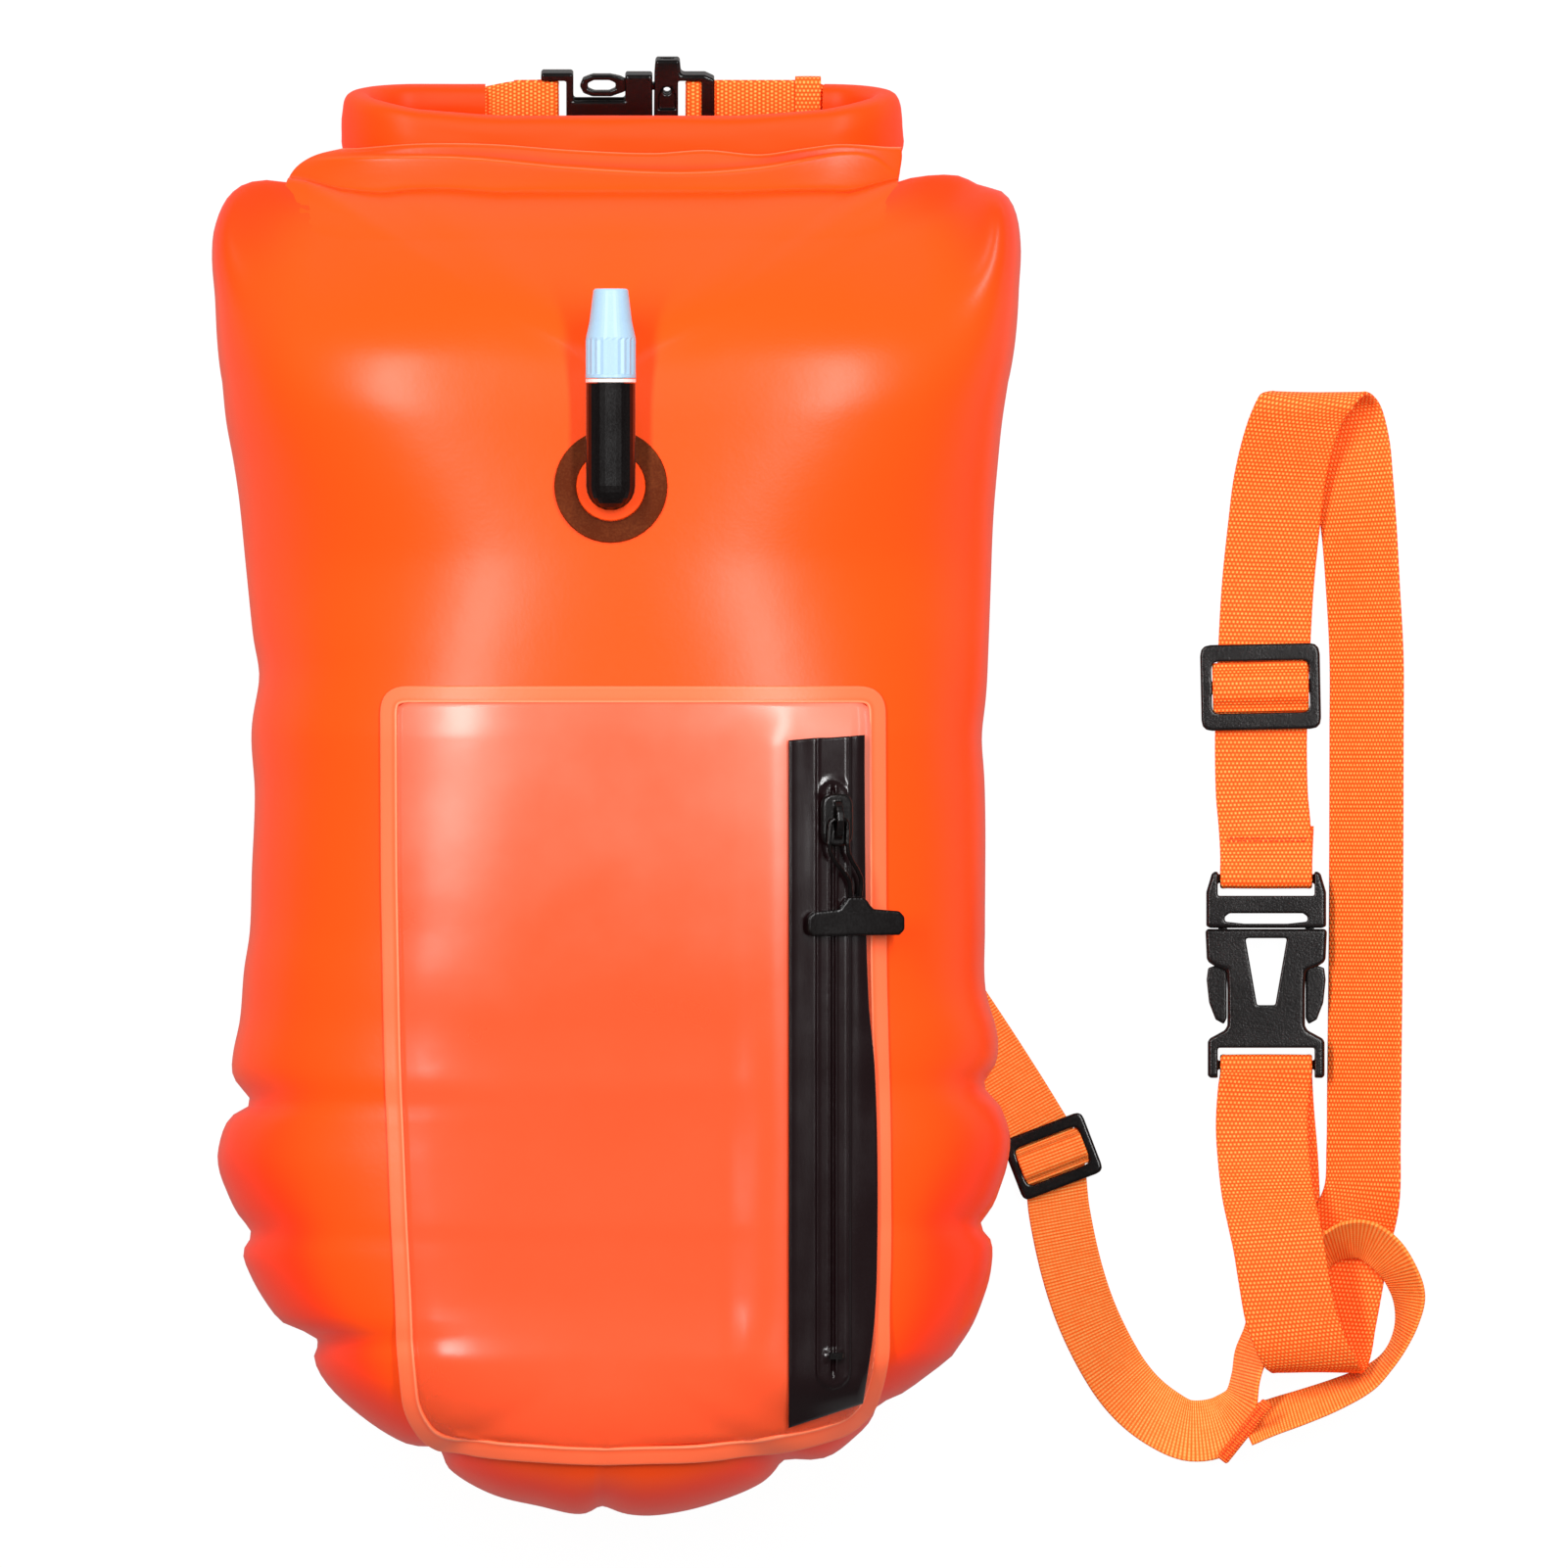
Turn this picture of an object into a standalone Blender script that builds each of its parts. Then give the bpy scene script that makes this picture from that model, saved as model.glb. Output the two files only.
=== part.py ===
"""Open water swim buoy with a roll-top dry bag, a phone pocket, a tow strap and a waist belt.

The buoy lies on its back, inflated and rolled shut. Metres, +Z up, +Y towards the roll top.
The origin is at the middle of the bag's footprint, on the surface that it lies on.
"""

import math
from bisect import bisect_right

import bmesh
import bpy
from mathutils import Matrix, Vector

MM = 0.001

# Clearances
CLEARANCE = 0.3 * MM
OVERRUN = 2.0 * MM
STRAP_SQUARENESS = 0.35
WELD_DISTANCE = 0.002 * MM

# Inflated bag
BAG_WIDTH = 261.0 * MM
BAG_LENGTH = 474.0 * MM
SEAM_HEIGHT = 72.0 * MM
BACK_DEPTH = 74.5 * MM
FILM = 1.0 * MM
RIM_HEIGHT = 1.4 * MM
MOUTH_RIM_HEIGHT = 16.0 * MM
MOUTH_MIDDLE_X = -6.0 * MM
MOUTH_HALF_WIDTH = 104.0 * MM
MOUTH_POWER = 8
SPINE_TOP_SHARE = 0.2746
SPINE_BOTTOM_SHARE = -0.39
BOTTOM_FULLNESS = 3.0
SEAM_SHARE = 0.97
SHEET_SHARE = 0.93
WELD_INNER_SHARE = 0.945
WELD_OUTER_SHARE = 0.985
LEVEL_SHARES = (0.0, 0.2, 0.389, 0.55, 0.7, 0.82, 0.91, 0.97, 1.0)
SIDE_ROWS = 25
BOTTOM_RAYS = 36

# Outline, as shares of the bag's length and width
RIGHT_SIDE_SHARES = (
    (-0.390, 0.4155), (-0.371, 0.4386), (-0.354, 0.4520), (-0.334, 0.4629), (-0.309, 0.4659),
    (-0.301, 0.4599), (-0.277, 0.4738), (-0.260, 0.4836), (-0.240, 0.4872), (-0.220, 0.4763),
    (-0.205, 0.4641), (-0.188, 0.4714), (-0.170, 0.4714), (-0.139, 0.4568), (-0.100, 0.4562),
    (-0.033, 0.4568), (0.034, 0.4556), (0.074, 0.4592), (0.128, 0.4629), (0.181, 0.4665),
    (0.222, 0.4726), (0.248, 0.4775), (0.2746, 0.4848),
)
LEFT_SIDE_SHARES = (
    (-0.390, 0.3808), (-0.377, 0.3863), (-0.368, 0.4142), (-0.351, 0.4386), (-0.334, 0.4556),
    (-0.319, 0.4653), (-0.306, 0.4629), (-0.280, 0.4824), (-0.264, 0.4933), (-0.250, 0.4951),
    (-0.227, 0.4824), (-0.217, 0.4665), (-0.197, 0.4775), (-0.183, 0.4763), (-0.160, 0.4678),
    (-0.127, 0.4629), (-0.100, 0.4556), (-0.060, 0.4532), (-0.006, 0.4495), (0.034, 0.4538),
    (0.074, 0.4477), (0.101, 0.4520), (0.155, 0.4617), (0.195, 0.4690), (0.222, 0.4763),
    (0.248, 0.4848), (0.2746, 0.4896),
)
# Angle round the end of the spine in degrees, then the reach as a share of the width
TOP_END_SHARES = (
    (0.0, 0.4848), (12.6, 0.5103), (18.9, 0.5289), (23.4, 0.5375), (26.3, 0.5326),
    (28.5, 0.5116), (31.4, 0.4923), (34.8, 0.4450), (40.0, 0.3660), (60.0, 0.2692),
    (90.0, 0.2330), (120.0, 0.2692), (140.0, 0.3640), (145.0, 0.4140), (147.6, 0.4700),
    (150.2, 0.5049), (152.2, 0.5245), (155.0, 0.5348), (159.2, 0.5341), (162.6, 0.5263),
    (168.8, 0.5078), (180.0, 0.4896),
)
BOTTOM_END_SHARES = (
    (180.0, 0.3808), (185.6, 0.3611), (192.9, 0.3275), (203.3, 0.2799), (207.2, 0.2577),
    (214.6, 0.2504), (227.0, 0.2326), (242.2, 0.2102), (259.0, 0.2007), (264.4, 0.1929),
    (282.0, 0.2024), (293.8, 0.2098), (306.2, 0.2214), (317.8, 0.2373), (328.3, 0.2523),
    (334.4, 0.2895), (341.7, 0.3133), (348.4, 0.3360), (354.6, 0.3720), (360.0, 0.4155),
)

# How blunt the panels' sides are: above the pocket by a share of the bag's length, and round
# the upper end by an angle in degrees
UPPER_FULLNESS_SHARES = ((0.036, 2.6), (0.09, 2.35), (0.16, 2.15), (0.2746, 3.3))
END_FULLNESS_SHARES = (
    (0.0, 3.3), (28.0, 3.8), (55.0, 2.5), (90.0, 2.0), (125.0, 2.5), (152.0, 3.8), (180.0, 3.3),
)

# Pocket on the front
POCKET_CORNERS = (
    (-75.4 * MM, 31.7 * MM), (-57.5 * MM, -208.0 * MM), (0.0, -217.0 * MM),
    (54.0 * MM, -213.0 * MM), (80.0 * MM, -196.0 * MM), (87.8 * MM, 31.7 * MM),
)
POCKET_CORNER_RADIUS = 9.0 * MM
POCKET_RIM_WIDTH = 5.5 * MM
POCKET_RIM_HEIGHT = 1.3 * MM
POCKET_STEP = 12.0 * MM
WINDOW_TOP_STEP = 4.0 * MM
POCKET_FILM = 0.5 * MM
SKIN_CLEARANCE = 0.45 * MM
END_LIFT = 1.1 * MM
END_LIFT_TOP = -165.0 * MM
END_LIFT_LENGTH = 20.0 * MM
POCKET_SPACE = 1.9 * MM
POCKET_LIFT_WIDTH = 12.0 * MM

# Zipper
ZIP_X = 69.0 * MM
ZIP_TOP = 17.0 * MM
ZIP_BOTTOM = -190.0 * MM
ZIP_RISE_TOP = 69.2 * MM
ZIP_RISE_BOTTOM = 60.0 * MM
ZIP_TILT = math.radians(16.0)
TAPE_LIFT = 0.5 * MM
TAPE_LEFT = 14.3 * MM
TAPE_RIGHT = 11.4 * MM
TAPE_TOP = 14.5 * MM
TAPE_TAIL = 15.5 * MM
TAIL_LIFT = 4.5 * MM
TAPE_THICKNESS = 0.8 * MM
FILM_SLIT = 3.5 * MM
TAPE_SLIT = 1.9 * MM
LIP_WIDTH = 5.6 * MM
LIP_HEIGHT = 1.6 * MM
LIP_TOP = 2.0 * MM
GARAGE_ARCH_RADIUS = 5.6 * MM
GARAGE_HEIGHT = 1.2 * MM
STOP_WIDTH = 4.8 * MM
STOP_LENGTH = 2.2 * MM
STOP_HEIGHT = 1.3 * MM
STOP_FROM_END = 5.5 * MM
SLIDER_WIDTH = 10.5 * MM
SLIDER_LENGTH = 17.0 * MM
SLIDER_HEIGHT = 2.6 * MM
SLIDER_TOP = -2.5 * MM
SLIDER_WEB = 1.2 * MM
SLIDER_WEB_LENGTH = 9.0 * MM
SLIDER_FOOT_WIDTH = 8.4 * MM
SLIDER_FOOT_LENGTH = 13.0 * MM
SLIDER_FOOT_HEIGHT = 1.0 * MM
BRIDGE_RADIUS = 4.2 * MM
BRIDGE_BAR = 1.6 * MM
BRIDGE_WIDTH = 2.2 * MM
PULL_CORD_RADIUS = 0.8 * MM
PULL_CORD_SPREAD = 2.9 * MM
PULL_LENGTH = 25.0 * MM
PULL_OFFSET = 6.3 * MM
PULL_BEND = 1.5 * MM
TEE_BAR_LENGTH = 32.4 * MM
TEE_BAR_WIDTH = 7.6 * MM
TEE_STEM_WIDTH = 8.4 * MM
TEE_STEM_LENGTH = 4.8 * MM
TEE_THICKNESS = 2.4 * MM

# Inflation valve
VALVE_X = -1.7 * MM
VALVE_Y = 96.0 * MM
FLANGE_RADIUS = 18.2 * MM
FLANGE_BORE_RADIUS = 11.4 * MM
FLANGE_THICKNESS = 0.9 * MM
SEAT_RADIUS = 11.1 * MM
SEAT_HEIGHT = 3.2 * MM
SEAT_FLOOR = 0.9 * MM
TUBE_RADIUS = 7.95 * MM
TUBE_LENGTH = 33.0 * MM
TUBE_BORE_RADIUS = 4.5 * MM
TUBE_BORE_DEPTH = 18.0 * MM
STEM_RADIUS = 4.1 * MM
STEM_COLLAR = 1.1 * MM
STEM_BORE_RADIUS = 1.7 * MM
CAP_RADIUS = 8.1 * MM
CAP_TIP_RADIUS = 5.6 * MM
CAP_LENGTH = 28.7 * MM
CAP_SHOULDER = 13.0 * MM
CAP_SOCKET_DEPTH = 11.0 * MM
FLUTE_DEPTH = 0.3 * MM
FLUTE_LENGTH = 12.0 * MM
FLUTES = 22

# Rolled top, which bends back into the carry loop
ROLL_HEIGHT = 23.0 * MM
ROLL_THICKNESS = 11.0 * MM
ROLL_CORNER = 4.4 * MM
MOUTH_REACH_SHARE = 0.233
MOUTH_Y = SPINE_TOP_SHARE * BAG_LENGTH + MOUTH_REACH_SHARE * BAG_WIDTH
ROLL_Y = MOUTH_Y + 14.1 * MM
ROLL_RISE = 11.0 * MM
ROLL_Z = 74.0 * MM
LOOP_DEPTH = 40.0 * MM
LOOP_TILT = math.radians(13.0)
LOOP_LEFT = -64.0 * MM
LOOP_RIGHT = 67.0 * MM
ROLL_LEFT_END = -43.0 * MM
STIFFENER_THICKNESS = 1.0 * MM
STIFFENER_HEIGHT = 17.0 * MM
COLLAR_THICKNESS = 2.6 * MM
COLLAR_HALF_WIDTH = 99.0 * MM
COLLAR_BOTTOM = MOUTH_Y + 0.8 * MM
COLLAR_TOP = MOUTH_Y + 17.0 * MM
COLLAR_DROP = 13.0 * MM
COLLAR_COLUMNS = 37
FOLD_HEIGHT = 1.2 * MM

# Closure of the roll top, with its whistle buckle
CLOSURE_PLACE = (11.3 * MM, MOUTH_Y + 25.5 * MM, 35.0 * MM)
CLOSURE_WIDTH = 25.0 * MM
CLOSURE_THICKNESS = 1.3 * MM
CLOSURE_STRAND = 0.85 * MM
WRAP_GAP = 0.35 * MM
WHISTLE_HALF_HEIGHT = 3.75 * MM
WHISTLE_CAVITY = 2.2 * MM
WHISTLE_BAR_RADIUS = 1.0 * MM
WHISTLE_BAR_AT = 5.0 * MM
WHISTLE_LIP = 0.9 * MM
WHISTLE_ARM_HALF_HEIGHT = 1.8 * MM
SOUND_HOLE_RADIUS = 1.3 * MM
SOUND_HOLE_PLACE = (9.6 * MM, -4.7 * MM)
KEEPER_AT = -50.5 * MM
KEEPER_LENGTH = 8.4 * MM
KEEPER_WALL = 1.0 * MM

# Waist belt
BELT_WIDTH = 30.0 * MM
BELT_THICKNESS = 1.4 * MM
BELT_BUCKLE_PLACE = (211.0 * MM, -47.0 * MM, 4.9 * MM)
BELT_HALF_HEIGHT = 4.6 * MM
BELT_CAVITY = 2.4 * MM
BELT_BAR_RADIUS = 1.5 * MM
BELT_ARM_HALF_HEIGHT = 2.1 * MM
BELT_SLIDER_PLACE = (209.2 * MM, 31.8 * MM, 0.0)
BELT_SLIDER_TURN = math.radians(1.2)
SLIDER_BAR_HALF = 1.9 * MM
BELT_BAR_AT_MM = 5.6

# Tow strap
TOW_WIDTH = 20.0 * MM
TOW_THICKNESS = 1.2 * MM
TOW_SLIDER_PLACE = (141.4 * MM, -121.0 * MM, 0.0)
TOW_SLIDER_TURN = math.radians(21.0)
ANCHOR_SIDE_SHARE = 0.34866
ANCHOR_PLACE = (ANCHOR_SIDE_SHARE * BAG_WIDTH, -44.0 * MM)
ANCHOR_TURN = math.radians(-54.0)
PATCH_LENGTH = 29.0 * MM
PATCH_WIDTH = 24.0 * MM
PATCH_THICKNESS = 0.8 * MM
PATCH_OVERHANG = 7.0 * MM
TAB_THICKNESS = 1.0 * MM
TAB_LENGTH = 17.0 * MM
TAB_WIDTH = 14.0 * MM
RING_RADIUS = 1.5 * MM
RING_HALF_WIDTH = 12.8 * MM
RING_CORNER = 2.4 * MM
RING_DEPTH = 13.0 * MM
RING_DROP = 8.09 * MM
TOW_REST = 2.7 * MM
TOW_RISE = 4.2 * MM
TOW_REST_AT = 14.0 * MM
TOW_RISE_AT = 7.0 * MM

# Outlines of the moulded pieces in millimetres: the right half, from the mouth of the
# buckle towards the webbing, as (half width, distance)
MOULD_HALVES = {
    "belt_socket": (
        (19.8, 0.0), (19.3, 10.5), (17.0, 12.0), (12.9, 13.5), (12.6, 20.0), (12.6, 31.5),
        (13.5, 33.0), (19.0, 36.0), (19.0, 48.5),
    ),
    "belt_window": ((6.8, 3.0), (3.0, 24.8)),
    "belt_socket_end": ((15.8, 38.7), (15.8, 50.0)),
    "belt_plug": ((17.5, -18.7), (19.5, -12.0), (19.5, -1.0), (19.0, -0.3)),
    "belt_plug_end": ((15.8, -20.0), (15.8, -10.8)),
    "belt_plug_slot": ((12.0, -5.1), (13.5, -4.0), (13.5, -2.4), (7.0, -1.7)),
    "whistle_socket": (
        (15.0, 0.0), (15.0, 8.9), (6.4, 8.9), (6.4, 25.7), (15.6, 25.7), (15.6, 36.2),
    ),
    "whistle_socket_end": ((13.0, 28.0), (13.0, 38.0)),
    "whistle_plug_slot": ((13.0, -15.9), (13.0, -8.3)),
    "whistle_plug_end": ((13.0, -22.0), (13.0, -8.3)),
    "slot": ((1.0, 0.0), (1.0, 1.0)),
}
BELT_CHANNEL_MM = ((7.8, -1.0), (17.3, -1.0), (17.3, 34.0), (7.8, 34.0))
WHISTLE_CHANNEL_MM = ((3.2, -1.0), (13.4, -1.0), (13.4, 27.0), (3.2, 27.0))
BELT_ARM_MM = (
    (12.7, 0.2), (15.6, 0.2), (15.6, 11.6), (18.9, 12.7), (19.4, 16.5), (18.6, 24.0),
    (16.5, 29.5), (13.8, 31.0), (12.8, 29.0), (12.8, 13.0),
)
BELT_ARM_PIVOT_MM = (14.1, 0.0)
WHISTLE_ARM_MM = (
    (9.6, 0.2), (11.9, 0.2), (12.2, 7.0), (13.9, 10.4), (14.6, 13.5), (14.6, 19.5), (13.4, 22.6),
    (10.9, 23.6), (8.6, 22.4), (7.5, 19.5), (7.5, 13.5), (8.6, 10.4), (9.6, 8.0),
)
WHISTLE_ARM_HOLE_MM = (
    (12.0, 12.0), (12.9, 14.0), (12.9, 19.0), (12.0, 21.0), (10.1, 21.0), (9.2, 19.0),
    (9.2, 14.0), (10.1, 12.0),
)
WHISTLE_ARM_PIVOT_MM = (10.7, 0.0)
WHISTLE_PLUG_MM = (
    (-13.5, -20.3), (13.5, -20.3), (15.0, -17.0), (15.0, -9.6), (15.8, -9.2), (19.9, -8.8),
    (19.9, -1.0), (15.4, -0.6), (-15.0, -0.3), (-15.0, -17.0),
)
RECESS_MM = ((3.6, -2.0), (8.0, -2.0), (11.0, -3.2), (11.0, -6.3), (8.0, -7.5), (3.6, -7.5))
AIR_WAY_MM = ((6.0, -6.9), (22.0, -6.9), (22.0, -2.7), (6.0, -2.7))
BELT_SLIDER_MM = (39.0, 28.0, 31.9, 17.0, 2.4, 5.0)
TOW_SLIDER_MM = (28.0, 21.0, 21.8, 13.0, 2.2, 4.4)

# Webbing that lies free, in millimetres: place, then the direction of its width as azimuth
# and elevation in degrees
BELT_ROUTE_MM = (
    (211.6, -13.3, 0.9, 0, 0), (211.2, -22.0, 1.4, 0, 0), (211.0, -28.6, 2.2, 0, 0),
    (211.0, -30.5, 2.3, 0, 0), (211.0, -32.4, 2.9, 0, 0), (211.0, -33.2, 4.9, 0, 0),
    (211.0, -32.4, 6.9, 0, 0), (211.0, -30.5, 7.6, 0, 0), (211.0, -28.3, 7.1, 0, 0),
    (211.0, -22.0, 4.7, 0, 0), (210.5, -13.0, 2.9, 0, 0), (209.6, -2.0, 1.1, 0, 0),
    (209.4, 18.0, 0.95, 0, 0), (210.5, 46.0, 0.95, 0, 0), (211.6, 65.0, 2.0, 0, 0),
    (213.5, 84.0, 5.5, 0, 0), (215.5, 100.0, 10.0, 0, 0), (219.5, 116.0, 17.0, 0, 0),
    (223.5, 124.0, 20.0, 0, 0), (228.5, 127.0, 15.0, 0, 4), (233.0, 123.0, 7.5, 0, 8),
    (236.5, 113.0, 6.0, 0, 18), (239.0, 100.6, 8.0, 0, 30), (241.0, 84.4, 9.8, 0, 36),
    (242.4, 64.4, 10.2, 0, 38), (243.6, 41.3, 10.2, 0, 38), (243.6, 17.8, 10.2, 0, 38),
    (243.4, -42.0, 10.2, 0, 38), (242.8, -101.3, 10.2, 0, 38), (242.6, -118.0, 10.4, 0, 38),
    (242.0, -133.0, 10.9, 0, 35), (237.0, -149.2, 6.0, 0, 18), (235.0, -160.0, 5.3, 0, 15),
    (233.2, -169.5, 5.0, 0, 13), (231.8, -177.0, 4.9, 0, 12), (230.8, -183.0, 6.0, 0, 9),
    (229.4, -187.8, 9.5, 0, 4), (227.8, -190.2, 14.0, 0, 0),
)
LOWER_BELT_ROUTE_MM = (
    (227.2, -190.5, 15.6, 0, 0), (225.4, -188.4, 20.5, 0, 0), (222.0, -182.0, 24.5, 0, 2),
    (218.8, -173.0, 25.6, 0, 6), (216.4, -160.0, 25.8, 0, 9), (214.8, -150.0, 24.4, 0, 10),
    (213.2, -142.0, 20.8, 0, 7), (211.4, -133.0, 14.4, 0, 3), (210.2, -122.0, 7.8, 0, 0),
    (209.6, -111.0, 5.2, 0, 0), (210.2, -100.0, 5.8, 0, 0), (211.0, -94.0, 7.1, 0, 0),
    (211.0, -91.2, 7.6, 0, 0), (211.0, -89.2, 6.9, 0, 0), (211.0, -88.5, 4.9, 0, 0),
    (211.0, -89.2, 2.9, 0, 0), (211.0, -91.2, 2.3, 0, 0), (211.0, -94.0, 2.1, 0, 0),
    (211.6, -105.0, 1.4, 0, 0), (213.0, -122.0, 0.9, 0, 0), (213.7, -137.6, 0.9, 0, 0),
)
TOW_ROUTE_MM = (
    (106.0, -65.0, 0.9, 36, 0), (111.0, -72.0, 0.8, 34, 0), (123.5, -91.0, 0.8, 32, 0),
    (135.7, -110.5, 0.8, 27, 0), (141.4, -121.0, 0.8, 21, 0), (143.7, -139.4, 0.8, 12, 0),
    (147.8, -158.4, 0.8, 14, 0), (153.2, -174.3, 0.8, 22, 0), (161.4, -190.2, 0.8, 38, 0),
    (168.7, -199.7, 0.8, 52, 0), (177.6, -206.7, 0.9, 70, 0), (186.5, -210.5, 1.2, 90, 0),
    (196.7, -208.6, 4.2, 112, -20), (202.4, -201.3, 9.0, 150, -55), (204.2, -193.5, 9.7, 165, -64),
    (206.2, -186.0, 9.3, 162, -58), (211.5, -179.0, 7.5, 158, -38), (216.0, -170.0, 5.4, 150, -12),
    (221.3, -160.5, 7.4, 135, 8), (226.0, -154.5, 12.5, 118, 45), (230.5, -151.0, 14.7, 102, 58),
    (236.0, -148.4, 15.6, 92, 54), (242.5, -148.0, 17.2, 74, 52), (248.5, -151.5, 18.6, 48, 52),
    (253.5, -157.5, 19.5, 25, 56), (257.0, -166.0, 16.5, 6, 60), (256.6, -174.5, 13.8, -8, 70),
    (254.0, -182.0, 12.0, -24, 76), (250.0, -188.0, 11.0, -40, 78), (243.5, -193.6, 10.6, -57, 72),
    (233.0, -198.7, 10.5, -68, 68), (222.0, -202.8, 10.3, -74, 66), (213.6, -205.6, 10.2, -78, 66),
)
FOLD_PLACE_MM = (204.2, -210.0, 15.5)
FOLD_TURN = math.radians(-128.0)
FOLD_PITCH = math.radians(23.0)
FOLD_SIZE_MM = (24.0, 6.0, 2.6)


def clear_scene():
    """Empty the scene that the script starts in."""
    for item in list(bpy.data.objects):
        bpy.data.objects.remove(item, do_unlink=True)


def finish_of(name, colour, roughness):
    """Give a finish: the Principled material of one piece."""
    look = bpy.data.materials.new(name)
    look.use_nodes = True
    shader = look.node_tree.nodes["Principled BSDF"]
    shader.inputs["Base Color"].default_value = (*colour, 1.0)
    shader.inputs["Roughness"].default_value = roughness
    shader.inputs["Metallic"].default_value = 0.0
    return look


FILM_ORANGE = ((1.0, 0.09, 0.012), 0.38)
CLEAR_ORANGE = ((1.0, 0.22, 0.11), 0.18)
WEB_ORANGE = ((1.0, 0.14, 0.02), 0.8)
BLACK_PLASTIC = ((0.02, 0.018, 0.018), 0.45)
BLACK_RUBBER = ((0.012, 0.01, 0.01), 0.3)
BROWN_RUBBER = ((0.16, 0.035, 0.004), 0.35)
PALE_BLUE = ((0.42, 0.62, 0.78), 0.4)
WHITE_PLASTIC = ((0.85, 0.78, 0.74), 0.4)


def add_object(name, mesh, finish, frame=None):
    """Put a mesh in the scene as one named piece with its own material."""
    piece = bpy.data.objects.new(name, mesh)
    bpy.context.scene.collection.objects.link(piece)
    mesh.materials.append(finish_of(name, *finish))
    if frame is not None:
        piece.matrix_world = frame
    return piece


def solid(name, points, faces, finish, frame=None):
    """Make one closed body from its points and faces, with the faces pointing out."""
    mesh = bpy.data.meshes.new(name)
    mesh.from_pydata([tuple(point) for point in points], [], faces)
    work = bmesh.new()
    work.from_mesh(mesh)
    bmesh.ops.remove_doubles(work, verts=work.verts, dist=WELD_DISTANCE)
    bmesh.ops.dissolve_degenerate(work, edges=work.edges, dist=WELD_DISTANCE)
    bmesh.ops.recalc_face_normals(work, faces=work.faces)
    work.to_mesh(mesh)
    work.free()
    return add_object(name, mesh, finish, frame)


def ring_faces(rings, ring_size, caps=True):
    """Faces of a loft through rings of points that are numbered one after another."""
    faces = []
    for ring in range(rings - 1):
        for i in range(ring_size):
            j = (i + 1) % ring_size
            low, high = ring * ring_size, (ring + 1) * ring_size
            faces.append((low + i, low + j, high + j, high + i))
    if caps:
        faces.append(tuple(reversed(range(ring_size))))
        faces.append(tuple(range((rings - 1) * ring_size, rings * ring_size)))
    return faces


def loft(name, rings, finish, frame=None):
    """A closed body through rings of points."""
    points = [point for ring in rings for point in ring]
    return solid(name, points, ring_faces(len(rings), len(rings[0])), finish, frame)


def turned(name, profile, sides, finish, frame=None):
    """Turn a closed profile of (radius, height) round the local Z axis."""
    points = []
    for radius, height in profile:
        for i in range(sides):
            angle = math.tau * i / sides
            points.append((radius * math.cos(angle), radius * math.sin(angle), height))
    faces = ring_faces(len(profile), sides, caps=False)
    last = (len(profile) - 1) * sides
    for i in range(sides):
        faces.append((last + i, last + (i + 1) % sides, (i + 1) % sides, i))
    return solid(name, points, faces, finish, frame)


def prism(name, outline, low, high, finish, frame=None):
    """Raise an outline in the local XY plane from one height to another."""
    rings = [[(x, y, low) for x, y in outline], [(x, y, high) for x, y in outline]]
    return loft(name, rings, finish, frame)


def grid_sheet(name, lower, upper, finish, skipped=()):
    """A thin sheet between two grids of points. Skipped cells (row, column) are openings."""
    rows, columns = len(lower), len(lower[0])
    points = [point for grid in (lower, upper) for row in grid for point in row]
    lift = rows * columns
    faces, edges = [], {}
    for row in range(rows - 1):
        for column in range(columns - 1):
            if (row, column) in skipped:
                continue
            a = row * columns + column
            corners = (a, a + 1, a + columns + 1, a + columns)
            faces.append(corners)
            faces.append(tuple(lift + corner for corner in reversed(corners)))
            for start, end in zip(corners, corners[1:] + corners[:1]):
                edges[start, end] = (end, start) not in edges
                if (end, start) in edges:
                    edges[end, start] = False
    for (start, end), outer in edges.items():
        if outer:
            faces.append((end, start, start + lift, end + lift))
    return solid(name, points, faces, finish)


def cut(piece, cutter, operation="DIFFERENCE"):
    """Cut one piece with another, or join the other to it, and hide the other."""
    change = piece.modifiers.new(operation.title(), "BOOLEAN")
    change.operation = operation
    change.object = cutter
    cutter.hide_render = True
    cutter.display_type = "WIRE"
    return piece


def soften(piece, width, segments=1):
    """Round the edges of a moulded piece."""
    bevel = piece.modifiers.new("Edge", "BEVEL")
    bevel.width = width
    bevel.segments = segments
    bevel.limit_method = "ANGLE"
    bevel.angle_limit = math.radians(40.0)
    bevel.use_clamp_overlap = True
    return piece


def smooth(piece, angle=40.0):
    """Shade a round piece smooth and keep its sharp edges."""
    piece.data.shade_smooth()
    piece.data.set_sharp_from_angle(angle=math.radians(angle))
    return piece


def frame_of(origin, along, up):
    """A frame whose local Y runs along a direction and whose local Z is the nearest to up."""
    y_axis = Vector(along).normalized()
    z_axis = (Vector(up) - Vector(up).dot(y_axis) * y_axis).normalized()
    x_axis = y_axis.cross(z_axis)
    frame = Matrix((x_axis, y_axis, z_axis)).transposed().to_4x4()
    frame.translation = Vector(origin)
    return frame


def read_smooth(table, place):
    """Read a table of (place, value) rows on a smooth curve through its rows."""
    places = [row[0] for row in table]
    place = min(max(place, places[0]), places[-1])
    right = min(max(bisect_right(places, place), 1), len(table) - 1)
    left = right - 1

    def slope(i):
        low, high = max(i - 1, 0), min(i + 1, len(table) - 1)
        return (table[high][1] - table[low][1]) / (table[high][0] - table[low][0])

    span = places[right] - places[left]
    t = (place - places[left]) / span
    rise = table[right][1] - table[left][1]
    bend = slope(left) * span - rise
    unbend = rise - slope(right) * span
    return table[left][1] + t * rise + t * (1 - t) * ((1 - t) * bend + t * unbend)


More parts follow.
